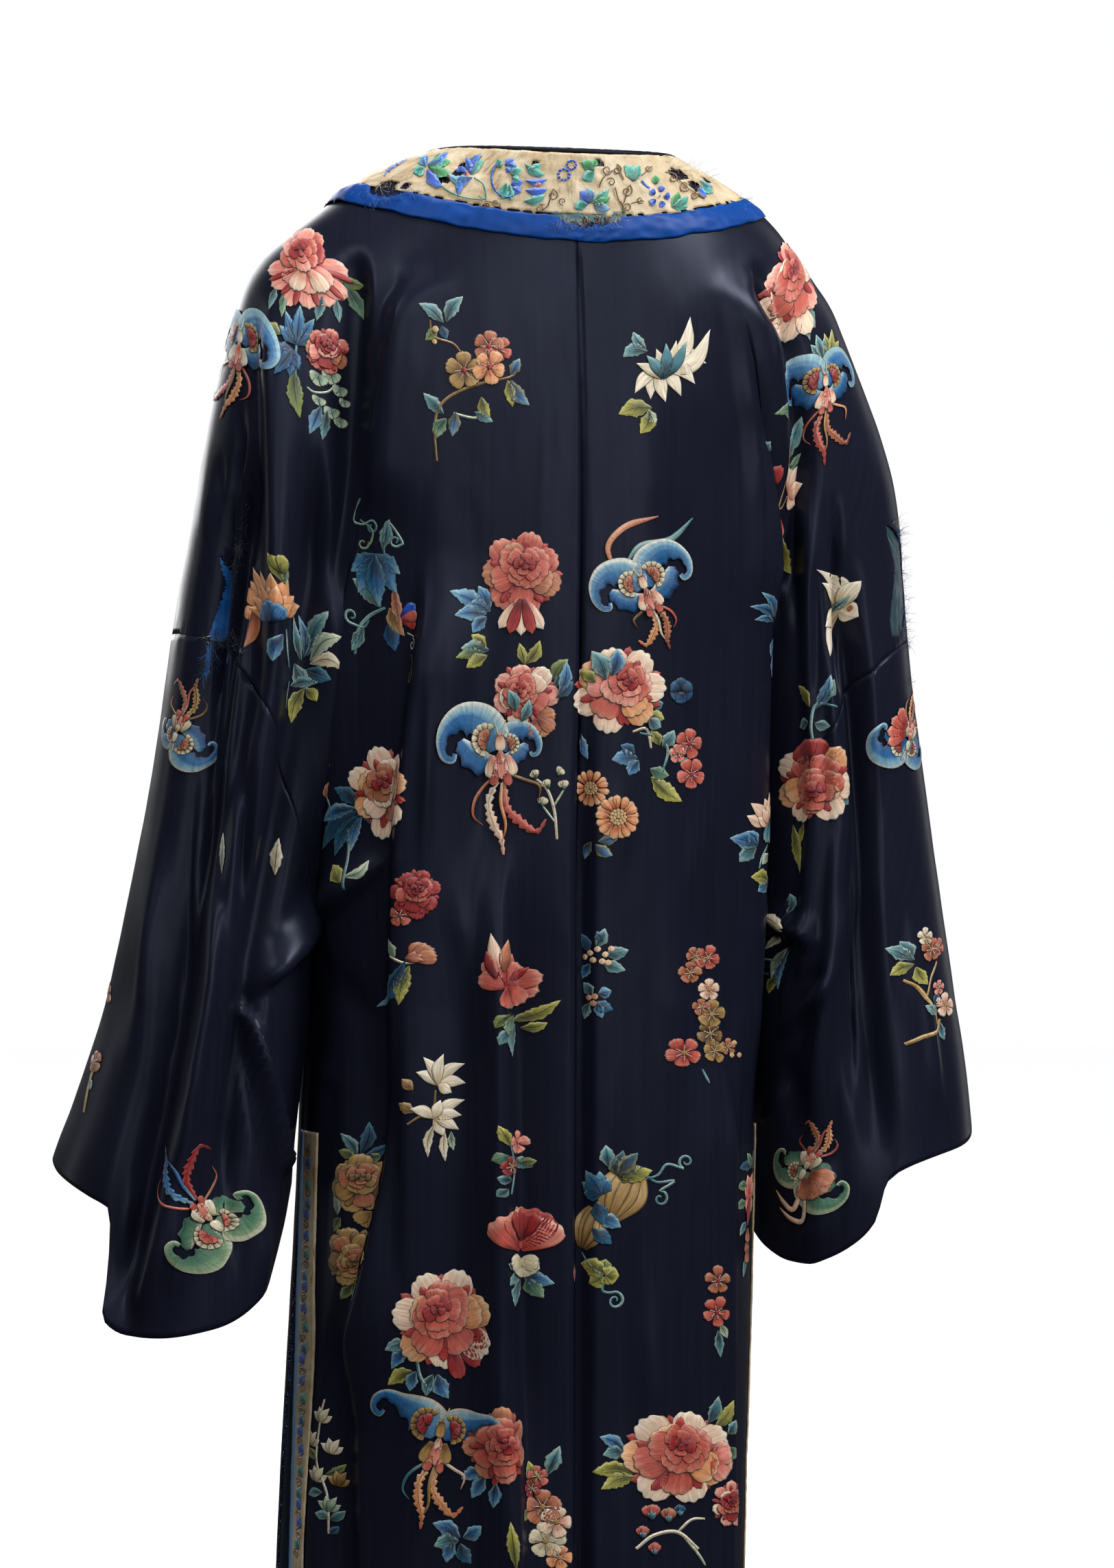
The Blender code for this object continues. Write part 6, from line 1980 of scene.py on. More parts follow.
def sew_upper_left():
    m = Motif(412, 905)
    stem(m, ((440, 962), (428, 940), (420, 915)), 2.2, "teal")
    leaf(m, (426, 862), (416, 828), 9, "green")
    leaf(m, (426, 862), (436, 830), 9, "fern")
    ring(m, 428, 850, 0, 22, 8, (-20, 20), "green", 2)
    fan_flower(m, 400, 902, 60, -6, 160, 9, "peach", 0.16, "blue")
    petal(m, (372, 888), (362, 944), 9, "rust", 1, -0.1, POINTED)
    leaf(m, (414, 922), (404, 958), 12, "blue", 0.1)
    m = Motif(452, 955)
    for a, b, w, f, bend in (
        ((440, 962), (424, 910), 10, "teal", 0), ((444, 958), (440, 908), 9, "blue", 0.1),
        ((448, 956), (492, 902), 12, "teal", -0.15), ((452, 962), (498, 930), 12, "sage", -0.15),
        ((452, 966), (496, 972), 11, "ivory", -0.2), ((430, 968), (448, 1000), 14, "teal", 0),
        ((424, 996), (462, 990), 9, "teal", -0.1), ((446, 974), (478, 986), 13, "deep", 0),
    ):
        leaf(m, a, b, w, f, bend, second="teal" if f == "deep" else None)
    stem(m, ((420, 990), (416, 1010), (415, 1024)), 1.2, "teal")
    leaf(m, (444, 998), (426, 1042), 12, "green", 0.1)
    leaf(m, (446, 998), (460, 1014), 9, "green", -0.1)
    m = Motif(548, 850)
    tendril(m, 538, 778, 9, 0, 1.1, "teal", 1.6, ((512, 742), (508, 770), (524, 776)))
    tendril(m, 528, 800, 9, 60, 1.0, "fern", 1.6, ((520, 770), (540, 782), (538, 800)))
    tendril(m, 572, 792, 9, 90, 1.2, "teal", 1.8, ((560, 820), (556, 790), (560, 768)))
    leaf(m, (556, 806), (562, 764), 10, "teal")
    lobed_leaf(m, (546, 812), (548, 880), 26, "blue", "teal", 1)
    leaves(m, (
        (550, 880, 514, 846, 16, "teal", 0.1), (562, 880, 576, 916, 12, "gold", 0.1),
        (572, 850, 572, 915, 9, "rust", 0),
    ))
    stem(m, ((504, 940), (512, 910), (530, 892), (556, 880)), 2.2, "teal")
    tendril(m, 506, 892, 10, 180, 1.1, "teal", 1.8, ((530, 896), (520, 906)))
    leaf(m, (520, 906), (500, 936), 10, "teal")
    leaf(m, (556, 900), (560, 936), 13, "deep", 0, second="blue")
    petal(m, (576, 892), (600, 874), 8, "cobalt", 1)
    petal(m, (576, 894), (604, 888), 8, "coral", 2)
    petal(m, (576, 898), (600, 902), 8, "red", 1)
    tendril(m, 588, 928, 9, 0, 1.2, "sage", 1.2, ((580, 912), (592, 918)))
    tendril(m, 590, 972, 12, 0, 1.3, "brown", 0.8, ((584, 940), (598, 955)))
    m = Motif(262, 1070)
    winged(m, 258, 1068, 62, 205, 1, "blue", "ivory", "rust", "ivory",
           ("brown", "gold", "rust", "coral", "peach"), 0.7, 0.95)
    m = Motif(540, 1170)
    leaves(m, (
        (520, 1180, 456, 1236, 14, "deep"), (516, 1176, 462, 1196, 13, "blue"),
        (518, 1172, 486, 1148, 13, "deep"), (522, 1186, 482, 1246, 13, "deep"),
        (526, 1188, 510, 1240, 10, "blue"), (530, 1170, 548, 1200, 12, "deep"),
    ), 0.08)
    stem(m, ((462, 1144), (476, 1170), (478, 1190)), 1.6, "teal")
    bud(m, 452, 1162, 26, 330, "rust", "teal")
    leaf(m, (462, 1138), (470, 1092), 11, "moss", 0.1)
    leaf(m, (458, 1128), (448, 1104), 8, "teal")
    stem(m, ((504, 1206), (508, 1250), (513, 1294)), 2.2, "teal")
    leaf(m, (508, 1284), (482, 1258), 13, "green")
    leaf(m, (510, 1276), (540, 1252), 9, "sage", 0.2)
    peony(m, 563, 1152, 54, -20, "cream", "cream", "rust", "red", 1.2)
    m = Motif(320, 1240)
    leaf(m, (318, 1270), (326, 1216), 6, "sage")
    m = Motif(400, 1245)
    leaf(m, (396, 1270), (404, 1222), 8, "ivory")


def sew_centre():
    m = Motif(762, 850)
    leaves(m, (
        (716, 892, 658, 866, 15, "blue"), (712, 896, 664, 900, 13, "blue"),
        (716, 890, 700, 856, 13, "blue"), (712, 900, 690, 924, 12, "blue"),
        (718, 892, 686, 880, 12, "blue"),
    ), 0.06)
    peony(m, 764, 838, 60, 10, "coral", "coral", "coral", "red", 0.98)
    for i, degrees in enumerate((150, 166, 182, 198, 214)):
        petal(m, polar(764, 866, 8, degrees), polar(764, 866, 62, degrees), 9, ("cream", "red")[i % 2],
              5 + i % 2)
    m = Motif(705, 950)
    leaves(m, (
        (714, 948, 672, 946, 14, "teal"), (710, 944, 688, 926, 11, "green"),
        (712, 956, 680, 974, 12, "green"), (706, 950, 664, 960, 10, "moss"),
    ), 0.05)
    m = Motif(768, 1012)
    leaves(m, (
        (768, 966, 788, 932, 11, "green", 0.1), (766, 968, 758, 936, 9, "green"),
        (806, 990, 830, 960, 12, "moss", -0.1), (808, 1000, 832, 986, 10, "teal", -0.1),
    ))
    peony(m, 766, 1012, 48, -60, "pink", "coral", "coral", "red", 1.0)
    ring(m, 784, 1046, 0, 30, 11, (80, 120, 160, 200), "rust", 6)
    leaves(m, (
        (752, 1036, 742, 1004, 11, "teal"), (760, 1050, 772, 1018, 10, "teal"),
        (816, 1010, 826, 962, 11, "blue"), (812, 1016, 836, 992, 9, "deep"),
    ), 0.08, 14)
    m = Motif(725, 1095, layer=4)
    winged(m, 730, 1098, 112, -2, 1, "blue", "ivory", "rust", "cream",
           ("rust", "cream", "coral", "peach", "brown"), 0.62, 1.1)
    m = Motif(800, 1170)
    stem(m, ((812, 1222), (808, 1180), (798, 1150), (782, 1134)), 2.2, "ivory")
    stem(m, ((806, 1176), (822, 1150)), 1.6, "sage")
    stem(m, ((808, 1196), (790, 1172)), 1.6, "sage")
    for x, y in ((782, 1132), (822, 1148), (790, 1172), (800, 1146), (814, 1128)):
        bud(m, x, y, 12, RNG.uniform(-40, 40), "ivory", "fern")
    m = Motif(940, 860, layer=3)
    winged(m, 942, 862, 92, -22, -1, "blue", "ivory", "rust", "cream",
           ("coral", "rust", "peach", "ivory", "brown"), 0.95, 0.8)
    for k, spots in enumerate((((900, 836), (890, 800), (916, 770), (962, 756)),
                               ((942, 832), (948, 806), (966, 794), (990, 796)),
                               ((914, 826), (936, 798), (980, 790), (1016, 762)))):
        tone = FLOSS[("rust", "coral", "teal")[k]]
        band(m, spots, (2.2, 4.5, 5.0, 1.0), (tone[1], tone[2], tone[1]), level=k, lay="across")
    m = Motif(908, 1003)
    peony(m, 906, 1003, 66, 40, "cream", "pink", "coral", "red", 0.95)
    leaf(m, (950, 1040), (974, 1048), 12, "green")
    leaves(m, (
        (886, 990, 866, 948, 16, "teal"), (894, 984, 902, 944, 14, "blue"),
        (872, 994, 850, 978, 10, "green"), (852, 1068, 866, 1106, 10, "blue"),
        (950, 1046, 968, 1060, 11, "teal"),
    ), 0.08, 12)
    leaf(m, (956, 1030), (972, 1024), 9, "blue")
    ring(m, 1000, 1008, 2, 20, 9, all_round(6), "deep", 0)
    m = Motif(960, 1110)
    stem(m, ((934, 1068), (958, 1074), (974, 1092), (966, 1126)), 2.0, "teal")
    stem(m, ((924, 1066), (944, 1062), (950, 1090)), 2.0, "ivory")
    stem(m, ((974, 1096), (990, 1110), (1004, 1104)), 1.6, "teal")
    leaves(m, (
        (930, 1104, 894, 1108, 14, "blue"), (926, 1100, 906, 1086, 11, "deep"),
        (932, 1108, 918, 1130, 12, "blue"), (966, 1088, 984, 1064, 12, "teal"),
        (962, 1086, 950, 1064, 10, "green"), (950, 1132, 996, 1168, 15, "green"),
        (948, 1120, 976, 1130, 12, "fern"),
    ), 0.06)
    blossom(m, 1006, 1084, 23, "coral", "red", 15)
    blossom(m, 1010, 1128, 23, "coral", "red", 40)
    blossom(m, 988, 1098, 14, "pink", "red", 0)
    m = Motif(880, 1170)
    daisy(m, 862, 1148, 27, "peach", "gold", 14)
    daisy(m, 900, 1190, 33, "peach", "gold", 17)
    for a, b, w in (
        ((872, 1226), (902, 1214), 10), ((868, 1230), (892, 1246), 11), ((862, 1226), (850, 1252), 9),
    ):
        leaf(m, a, b, w, "blue", 0.08, second="green")


def sew_right_column():
    m = Motif(1118, 910)
    leaves(m, (
        (1138, 902, 1108, 862, 8, "blue"), (1134, 900, 1094, 882, 8, "blue"),
        (1134, 906, 1100, 902, 7, "blue"), (1138, 930, 1130, 958, 6, "blue"),
        (1140, 950, 1138, 990, 6, "blue"),
    ), 0.1)
    m = Motif(1186, 1110)
    stem(m, ((1184, 1090), (1180, 1060), (1186, 1034), (1210, 1040)), 1.8, "teal")
    leaves(m, (
        (1178, 1036, 1156, 1006, 9, "green"), (1184, 1040, 1206, 998, 10, "blue"),
        (1176, 1056, 1156, 1062, 9, "teal"), (1184, 1058, 1202, 1064, 8, "teal"),
        (1196, 1030, 1210, 1004, 8, "fern"),
    ), 0.08)
    for a, b, w in (
        ((1212, 1150), (1230, 1164), 9), ((1212, 1130), (1226, 1120), 9), ((1168, 1186), (1160, 1216), 8),
        ((1150, 1190), (1164, 1256), 8),
    ):
        leaf(m, a, b, w, "teal" if w > 8 else "green")
    peony(m, 1180, 1134, 54, 150, "cream", "coral", "coral", "red", 1.0)
    rays(m, 1180, 1120, 14, 44, (-38, -12, 14), 14, "red", 5)
    m = Motif(1118, 1215)
    stem(m, ((1126, 1232), (1112, 1250), (1106, 1268)), 2.0, "teal")
    fan_flower(m, 1128, 1206, 50, -14, 110, 6, "cream", 0.2, None)
    ring(m, 1130, 1200, -6, 34, 11, (150, 180, 205), "teal", 3)
    leaves(m, (
        (1102, 1234, 1062, 1222, 14, "blue"), (1100, 1236, 1076, 1258, 13, "teal"),
        (1102, 1232, 1084, 1212, 11, "blue"), (1130, 1246, 1112, 1262, 9, "sage"),
        (1132, 1286, 1092, 1280, 14, "green"), (1130, 1290, 1104, 1302, 12, "blue"),
    ), 0.06)
    m = Motif(1122, 1380)
    stem(m, ((1076, 1384), (1100, 1394), (1134, 1398)), 1.8, "teal")
    stem(m, ((1084, 1380), (1108, 1412), (1124, 1418)), 1.6, "teal")
    leaves(m, (
        (1144, 1352, 1104, 1332, 8, "white"), (1144, 1356, 1106, 1352, 9, "ivory"),
        (1144, 1362, 1112, 1382, 8, "white"), (1144, 1380, 1128, 1424, 8, "sage"),
        (1146, 1384, 1140, 1440, 7, "blue"), (1140, 1330, 1138, 1302, 9, "teal"),
        (1100, 1374, 1074, 1350, 11, "green"), (1102, 1372, 1098, 1340, 10, "blue"),
        (1136, 1420, 1128, 1446, 9, "green"),
    ), 0.1)
    m = Motif(1318, 1070)
    winged(m, 1330, 1078, 66, 200, -1, "blue", "ivory", "red", "ivory",
           ("gold", "peach", "coral", "brown", "peach"), 0.75, 0.85)
    rays(m, 1330, 1068, 8, 38, (-60, -85, -110, -35), 8, "coral", 8)
    m = Motif(1356, 1440)
    stem(m, ((1330, 1524), (1352, 1512), (1372, 1500), (1378, 1484)), 3.0, "gold")
    stem(m, ((1372, 1492), (1368, 1470), (1346, 1438), (1326, 1426)), 2.4, "gold")
    stem(m, ((1356, 1448), (1362, 1424), (1372, 1400)), 1.8, "gold")
    leaves(m, (
        (1336, 1398, 1300, 1382, 12, "teal"), (1334, 1394, 1320, 1372, 11, "teal"),
        (1336, 1404, 1308, 1420, 11, "green"), (1338, 1408, 1356, 1432, 11, "green"),
        (1374, 1478, 1354, 1462, 11, "teal"), (1378, 1488, 1384, 1518, 9, "teal"),
        (1372, 1464, 1376, 1442, 9, "deep"),
    ), 0.06)
    blossom(m, 1362, 1384, 18, "rust", "gold", 0)
    blossom(m, 1352, 1366, 13, "white", "gold", 0)
    blossom(m, 1376, 1380, 14, "coral", "gold", 30)
    blossom(m, 1392, 1462, 20, "cream", "gold", 0)
    blossom(m, 1378, 1436, 11, "pink", "gold", 0)


def sew_lower_back():
    m = Motif(600, 1312)
    peony(m, 606, 1304, 33, 20, "red", "coral", "red", "red", 1.1)
    blossom(m, 586, 1336, 18, "coral", "red")
    m = Motif(570, 1415)
    leaf(m, (584, 1402), (530, 1470), 13, "blue", -0.15, second="teal")
    leaf(m, (588, 1408), (578, 1466), 10, "green", 0.05)
    leaf(m, (574, 1396), (562, 1368), 9, "sage")
    stem(m, ((568, 1394), (584, 1404), (600, 1400)), 1.8, "ivory")
    bud(m, 590, 1398, 28, 60, "rust", "rust")
    m = Motif(636, 1590)
    for x, y, angles in (
        (640, 1582, ((-60, 0.8, 0.1), (-28, 1.0, 0.1), (10, 1.0, -0.1), (52, 1.1, -0.15), (86, 0.9, -0.1),
                     (120, 0.5, 0))),
        (634, 1630, ((60, 1.15, -0.1), (85, 0.9, -0.1), (-70, 0.8, 0.1), (150, 0.7, 0), (115, 0.9, -0.05),
                     (20, 0.6, 0))),
    ):
        magnolia(m, x, y, 46, angles, "white", 0.2)
    stem(m, ((596, 1640), (610, 1630), (632, 1618), (636, 1590)), 1.8, "brown")
    leaves(m, (
        (604, 1590, 588, 1574, 9, "gold"), (606, 1622, 582, 1610, 10, "gold"),
        (634, 1640, 626, 1688, 8, "ivory", 0.1), (650, 1650, 652, 1694, 8, "white", 0.05),
        (660, 1650, 664, 1678, 7, "sage", 0.05),
    ))
    m = Motif(744, 1440)
    for degrees, share in (
        (-70, 0.7), (-30, 0.9), (0, 1.0), (30, 0.8), (70, 1.0), (100, 0.9), (130, 0.8), (170, 0.7),
    ):
        petal(m, (744, 1440), polar(744, 1440, 50 * share, degrees), 15, "coral", int(share * 10) % 3)
    petal(m, (732, 1420), (728, 1364), 7, "cream", 3, 0, POINTED)
    petal(m, (738, 1420), (744, 1372), 7, "rust", 3, 0, POINTED)
    petal(m, (730, 1430), (722, 1390), 7, "red", 3, 0, POINTED)
    petal(m, (744, 1430), (776, 1412), 7, "red", 3, 0.1, POINTED)
    m = Motif(752, 1500)
    leaves(m, (
        (748, 1488, 800, 1454, 10, "green"), (762, 1498, 788, 1488, 9, "green"),
        (750, 1480, 736, 1508, 12, "fern"), (754, 1492, 744, 1540, 11, "teal"),
        (738, 1478, 722, 1498, 9, "moss"), (744, 1500, 726, 1522, 10, "teal"),
    ), 0.1)
    m = Motif(876, 1400)
    leaves(m, (
        (862, 1392, 848, 1364, 10, "deep"), (872, 1384, 884, 1356, 11, "teal"),
        (884, 1394, 916, 1388, 12, "teal"), (880, 1404, 912, 1418, 11, "teal"),
        (864, 1408, 850, 1430, 10, "blue"), (880, 1376, 872, 1360, 8, "deep"),
    ), 0.05)
    for x, y in (
        (864, 1392), (874, 1386), (884, 1394), (880, 1404), (868, 1402), (892, 1386), (856, 1398),
        (888, 1406),
    ):
        knot(m, x, y, 4.5, "peach", 3, 2)
    m = Motif(870, 1460)
    leaves(m, (
        (864, 1456, 850, 1436, 10, "teal"), (872, 1452, 890, 1448, 10, "blue"),
        (868, 1464, 892, 1476, 11, "deep"), (860, 1466, 852, 1490, 10, "teal"),
        (872, 1464, 878, 1488, 9, "blue"),
    ), 0.05)
    for x, y in ((860, 1458), (868, 1456), (866, 1466)):
        knot(m, x, y, 4.5, "rust", 3, 2)
    m = Motif(1028, 1470)
    for x, y, r, floss, turned in (
        (1010, 1420, 17, "rust", 0), (1034, 1398, 19, "coral", 20), (1018, 1396, 15, "rust", 50),
        (1036, 1444, 17, "cream", 0), (1040, 1480, 22, "gold", 10), (1038, 1508, 20, "brown", 30),
        (1044, 1534, 18, "gold", 0), (1002, 1536, 23, "coral", 40), (1066, 1528, 13, "rust", 0),
        (1026, 1470, 14, "rust", 0),
    ):
        blossom(m, x, y, r, floss, "gold", turned)
    for x, y in ((1076, 1522), (1084, 1540), (1072, 1540)):
        knot(m, x, y, 4, "gold", 1, 2)
    stem(m, ((1026, 1560), (1034, 1580)), 1.6, "teal")
    m = Motif(530, 1735)
    leaves(m, (
        (522, 1682, 502, 1650, 9, "teal"), (526, 1680, 536, 1634, 10, "deep"),
        (530, 1684, 560, 1668, 9, "deep"), (520, 1688, 498, 1676, 9, "moss"),
        (530, 1690, 550, 1682, 8, "moss"), (496, 1770, 486, 1740, 10, "sage"),
        (500, 1774, 488, 1796, 10, "moss"),
    ), 0.08)
    peony(m, 526, 1726, 44, 0, "gold", "gold", "rust", "brown", 1.0)
    ring(m, 540, 1768, 0, 24, 10, (120, 160, 200, 240), "gold", 3)
    m = Motif(512, 1830)
    leaves(m, (
        (512, 1870, 496, 1892, 9, "moss"), (516, 1868, 520, 1916, 7, "teal"),
        (520, 1870, 532, 1892, 7, "teal"),
    ))
    peony(m, 512, 1828, 38, 150, "gold", "gold", "rust", "brown", 1.15)


def sew_lower_middle():
    m = Motif(755, 1690)
    stem(m, ((746, 1740), (752, 1700), (744, 1670)), 1.8, "teal")
    leaves(m, (
        (744, 1670, 730, 1640, 9, "green"), (742, 1684, 724, 1692, 10, "fern"),
        (756, 1690, 780, 1700, 11, "teal"), (746, 1720, 730, 1716, 9, "teal"),
        (766, 1696, 784, 1690, 8, "moss"), (742, 1732, 730, 1744, 8, "teal"),
    ))
    blossom(m, 760, 1666, 18, "pink", "red")
    blossom(m, 746, 1700, 15, "red", "gold")
    m = Motif(760, 1800)
    leaves(m, (
        (760, 1852, 736, 1870, 11, "teal"), (764, 1852, 796, 1866, 13, "blue"),
        (760, 1862, 744, 1902, 12, "teal"), (770, 1860, 786, 1888, 12, "fern"),
        (752, 1850, 734, 1838, 9, "teal"),
    ), 0.08)
    ring(m, 760, 1818, 0, 62, 25, (-34, 34, -14, 16, 0), ("coral", "pink", "coral", "red", "pink"), 1)
    ring(m, 760, 1838, 0, 24, 13, (90, 270, 130, 230, 180), "ivory", 5)
    ring(m, 760, 1806, 0, 46, 9, (-24, 0, 24), "red", 7)
    m = Motif(890, 1740)
    lobed_leaf(m, (900, 1712), (930, 1680), 22, "deep", "green", 4)
    leaf(m, (888, 1700), (884, 1668), 13, "teal", level=4)
    leaf(m, (900, 1706), (950, 1706), 15, "green", 0.1, 4)
    lobed_leaf(m, (878, 1740), (856, 1706), 22, "blue", "teal", 4)
    leaf(m, (872, 1750), (880, 1784), 13, "deep", level=4)
    melon(m, 908, 1738, 62, 88, 25, "gold")
    melon(m, 858, 1790, 46, 64, 20, "gold")
    m = Motif(870, 1800)
    leaf(m, (872, 1770), (904, 1790), 13, "blue", level=3)
    leaf(m, (866, 1790), (890, 1814), 12, "deep", level=3)
    m = Motif(975, 1715)
    tendril(m, 1000, 1692, 11, 200, 1.2, "teal", 2.0, ((936, 1718), (958, 1712), (972, 1696)))
    tendril(m, 962, 1746, 12, 0, 1.1, "teal", 2.0, ((944, 1714), (958, 1722), (984, 1720)))
    m = Motif(878, 1862)
    lobed_leaf(m, (884, 1862), (904, 1864), 22, "green", None, 1)
    leaves(m, (
        (884, 1860, 848, 1846, 15, "green", 0.1), (880, 1862, 862, 1874, 13, "green", -0.1),
        (880, 1858, 884, 1838, 13, "moss"),
    ))
    stem(m, ((850, 1830), (864, 1848), (880, 1862)), 1.8, "teal")
    tendril(m, 898, 1900, 13, 0, 1.3, "teal", 2.0, ((882, 1868), (880, 1884), (892, 1888)))
    m = Motif(838, 1852)
    leaf(m, (836, 1840), (838, 1868), 5, "coral")
    m = Motif(1092, 1755)
    leaves(m, (
        (1100, 1700, 1064, 1702, 9, "deep"), (1102, 1702, 1084, 1680, 9, "fern"),
        (1108, 1704, 1116, 1674, 8, "teal"), (1088, 1728, 1062, 1730, 9, "fern"),
        (1086, 1752, 1060, 1760, 9, "fern"), (1090, 1780, 1070, 1800, 8, "teal"),
    ), 0.08)
    magnolia(m, 1098, 1740, 34, ((-20, 0.9, 0), (20, 1.0, 0), (55, 0.8, 0), (-60, 0.6, 0), (200, 0.9, 0),
                                 (165, 0.8, 0)), "pink", 0.34)
    petal(m, (1096, 1744), (1090, 1786), 7, "red", 4, 0, POINTED)
    m = Motif(1086, 1825)
    for y in (1790, 1806, 1820):
        petal(m, (1096, y), (1096, y + 22), 9, "rust", int(y) % 3)
    leaf(m, (1094, 1830), (1086, 1862), 7, "teal")
    m = Motif(1050, 1905)
    blossom(m, 1050, 1868, 18, "rust", "red", 0, 1.3)
    blossom(m, 1048, 1914, 19, "coral", "red", 30, 1.3)
    leaf(m, (1050, 1940), (1054, 1980), 8, "teal")
    leaf(m, (1054, 1932), (1064, 1952), 7, "sage")


def sew_bottom():
    m = Motif(648, 1930)
    leaves(m, (
        (596, 1960, 562, 1970, 12, "teal"), (598, 1966, 572, 1998, 12, "blue"),
        (604, 2000, 566, 2022, 13, "green"), (610, 2000, 600, 2030, 12, "blue"),
        (640, 2004, 656, 2040, 14, "blue"), (634, 2004, 624, 2036, 11, "teal"),
    ), 0.08)
    stem(m, ((610, 1976), (616, 2006), (630, 2030)), 2.4, "teal")
    peony(m, 650, 1926, 76, -30, "cream", "coral", "coral", "red", 0.98)
    rays(m, 650, 1944, 24, 72, (100, 130, 160), 13, "red", 3)
    m = Motif(628, 2100, layer=3)
    winged(m, 640, 2096, 112, 10, 1, "blue", "gold", "red", "gold",
           ("teal", "peach", "peach", "gold", "cream"), 0.85, 0.95,
           "spread")
    m = Motif(724, 2118)
    leaves(m, (
        (694, 2094, 664, 2088, 12, "blue"), (692, 2100, 676, 2116, 11, "blue"),
        (700, 2140, 672, 2156, 12, "blue"), (704, 2150, 686, 2184, 12, "blue"),
        (720, 2160, 716, 2196, 11, "blue"),
    ))
    peony(m, 722, 2108, 46, 60, "rust", "coral", "coral", "red", 1.25)
    m = Motif(664, 2240)
    leaves(m, (
        (668, 2240, 628, 2218, 14, "blue"), (666, 2244, 630, 2252, 14, "teal"),
        (672, 2240, 700, 2222, 13, "blue"), (668, 2248, 684, 2278, 13, "deep"),
        (660, 2246, 648, 2276, 12, "blue"),
    ), 0.08)
    m = Motif(790, 2190)
    leaves(m, (
        (780, 2166, 772, 2130, 11, "green"), (796, 2150, 812, 2106, 12, "teal"),
        (770, 2200, 756, 2216, 9, "moss"),
    ))
    for x, y, r, floss in (
        (784, 2152, 16, "coral"), (776, 2170, 14, "red"), (790, 2196, 27, "rust"),
        (808, 2218, 24, "cream"), (794, 2246, 27, "ivory"), (812, 2270, 20, "peach"),
    ):
        blossom(m, x, y, r, floss, "gold", x)
    m = Motif(756, 2260)
    leaf(m, (756, 2285), (750, 2216), 8, "green")
    m = Motif(470, 2120)
    stem(m, ((478, 2236), (476, 2180), (462, 2130), (466, 2080), (470, 2040)), 1.6, "ivory")
    for x, y, floss in (
        (468, 2066, "ivory"), (452, 2100, "ivory"), (482, 2112, "white"), (462, 2152, "ivory"),
        (490, 2160, "gold"), (478, 2196, "sage"),
    ):
        magnolia(m, x, y + 8, 24, ((-40, 0.9, 0.1), (-8, 1.0, 0), (26, 0.95, -0.1), (60, 0.7, 0)), floss,
                 0.26)
    leaves(m, (
        (462, 2130, 440, 2112, 8, "moss"), (474, 2150, 500, 2136, 8, "moss"),
        (470, 2176, 448, 2180, 8, "teal"), (478, 2214, 460, 2206, 8, "teal"),
        (478, 2216, 498, 2204, 8, "teal"), (478, 2236, 490, 2226, 7, "deep"),
    ), 0.1)
    m = Motif(988, 2126)
    leaves(m, (
        (918, 2116, 884, 2098, 12, "blue"), (920, 2122, 888, 2124, 12, "teal"),
        (930, 2148, 874, 2150, 14, "green"), (932, 2154, 886, 2174, 13, "green"),
        (1040, 2080, 1070, 2040, 13, "green"), (1030, 2074, 1044, 2034, 11, "teal"),
        (1060, 2090, 1076, 2070, 12, "teal"), (1062, 2110, 1078, 2126, 12, "fern"),
    ), 0.08)
    peony(m, 988, 2124, 74, 10, "cream", "coral", "coral", "red", 0.92)
    ring(m, 1036, 2128, 0, 34, 14, (40, 75, 110, 145), "pink", 5)
    m = Motif(975, 2216)
    stem(m, ((930, 2256), (956, 2236), (990, 2232), (1020, 2256)), 2.6, "ivory")
    stem(m, ((990, 2232), (1010, 2214), (1030, 2212)), 2.0, "ivory")
    stem(m, ((1000, 2240), (1020, 2264), (1030, 2280)), 2.0, "sage")
    for x, y, r, f in (
        (952, 2210, 15, "coral"), (976, 2214, 14, "rust"), (940, 2238, 12, "coral"),
        (956, 2262, 12, "coral"), (994, 2206, 11, "deep"),
    ):
        bud(m, x, y, r * 1.3, 0, f, "teal")
    m = Motif(1062, 2200)
    peony(m, 1066, 2196, 26, 0, "pink", "coral", "red", "red", 1.3)


def sew_cuffs():
    m = Motif(312, 1760, "arm_left")
    winged(m, 308, 1778, 92, 140, -1, "fern", "ivory", "coral", "white",
           ("coral", "blue", "red", "blue", "rust"), 0.85, 1.2)
    m = Motif(134, 1570, "arm_left")
    stem(m, ((116, 1622), (122, 1580), (136, 1540)), 3.0, "gold")
    leaf(m, (124, 1560), (140, 1556), 7, "teal")
    leaf(m, (122, 1572), (128, 1590), 7, "teal")
    blossom(m, 132, 1548, 18, "rust", "gold")
    blossom(m, 156, 1450, 14, "rust", "gold")
    m = Motif(1186, 1708, "arm_right")
    winged(m, 1172, 1704, 80, -150, 1, "fern", "ivory", "rust", "ivory",
           ("coral", "peach", "rust", "coral", "red"), 0.8, 0.8)
    rays(m, 1174, 1712, 6, 40, (100, 130, 160, 190), 13, "rust", 8)
    for spots in (
        ((1164, 1738), (1150, 1764), (1134, 1754), (1120, 1736)),
        ((1172, 1746), (1168, 1780), (1146, 1778), (1126, 1762)),
    ):
        band(m, spots, (3, 4.5, 4, 1), (FLOSS["cream"][1], FLOSS["peach"][2]), level=7, lay="across")


def neck_motif(x, y):
    made = Motif(x, y, layer=14, group="neck")
    made.outlined = False
    return made


def blade(m, base, tip, width, floss, bend=0.0, second=None):
    """A leaf of the neck's band, which is short and broad."""
    leaf(m, base, (tip[0] + 0.12 * (tip[0] - base[0]), tip[1] + 0.12 * (tip[1] - base[1])), width * 1.5,
         floss, bend, second=second)


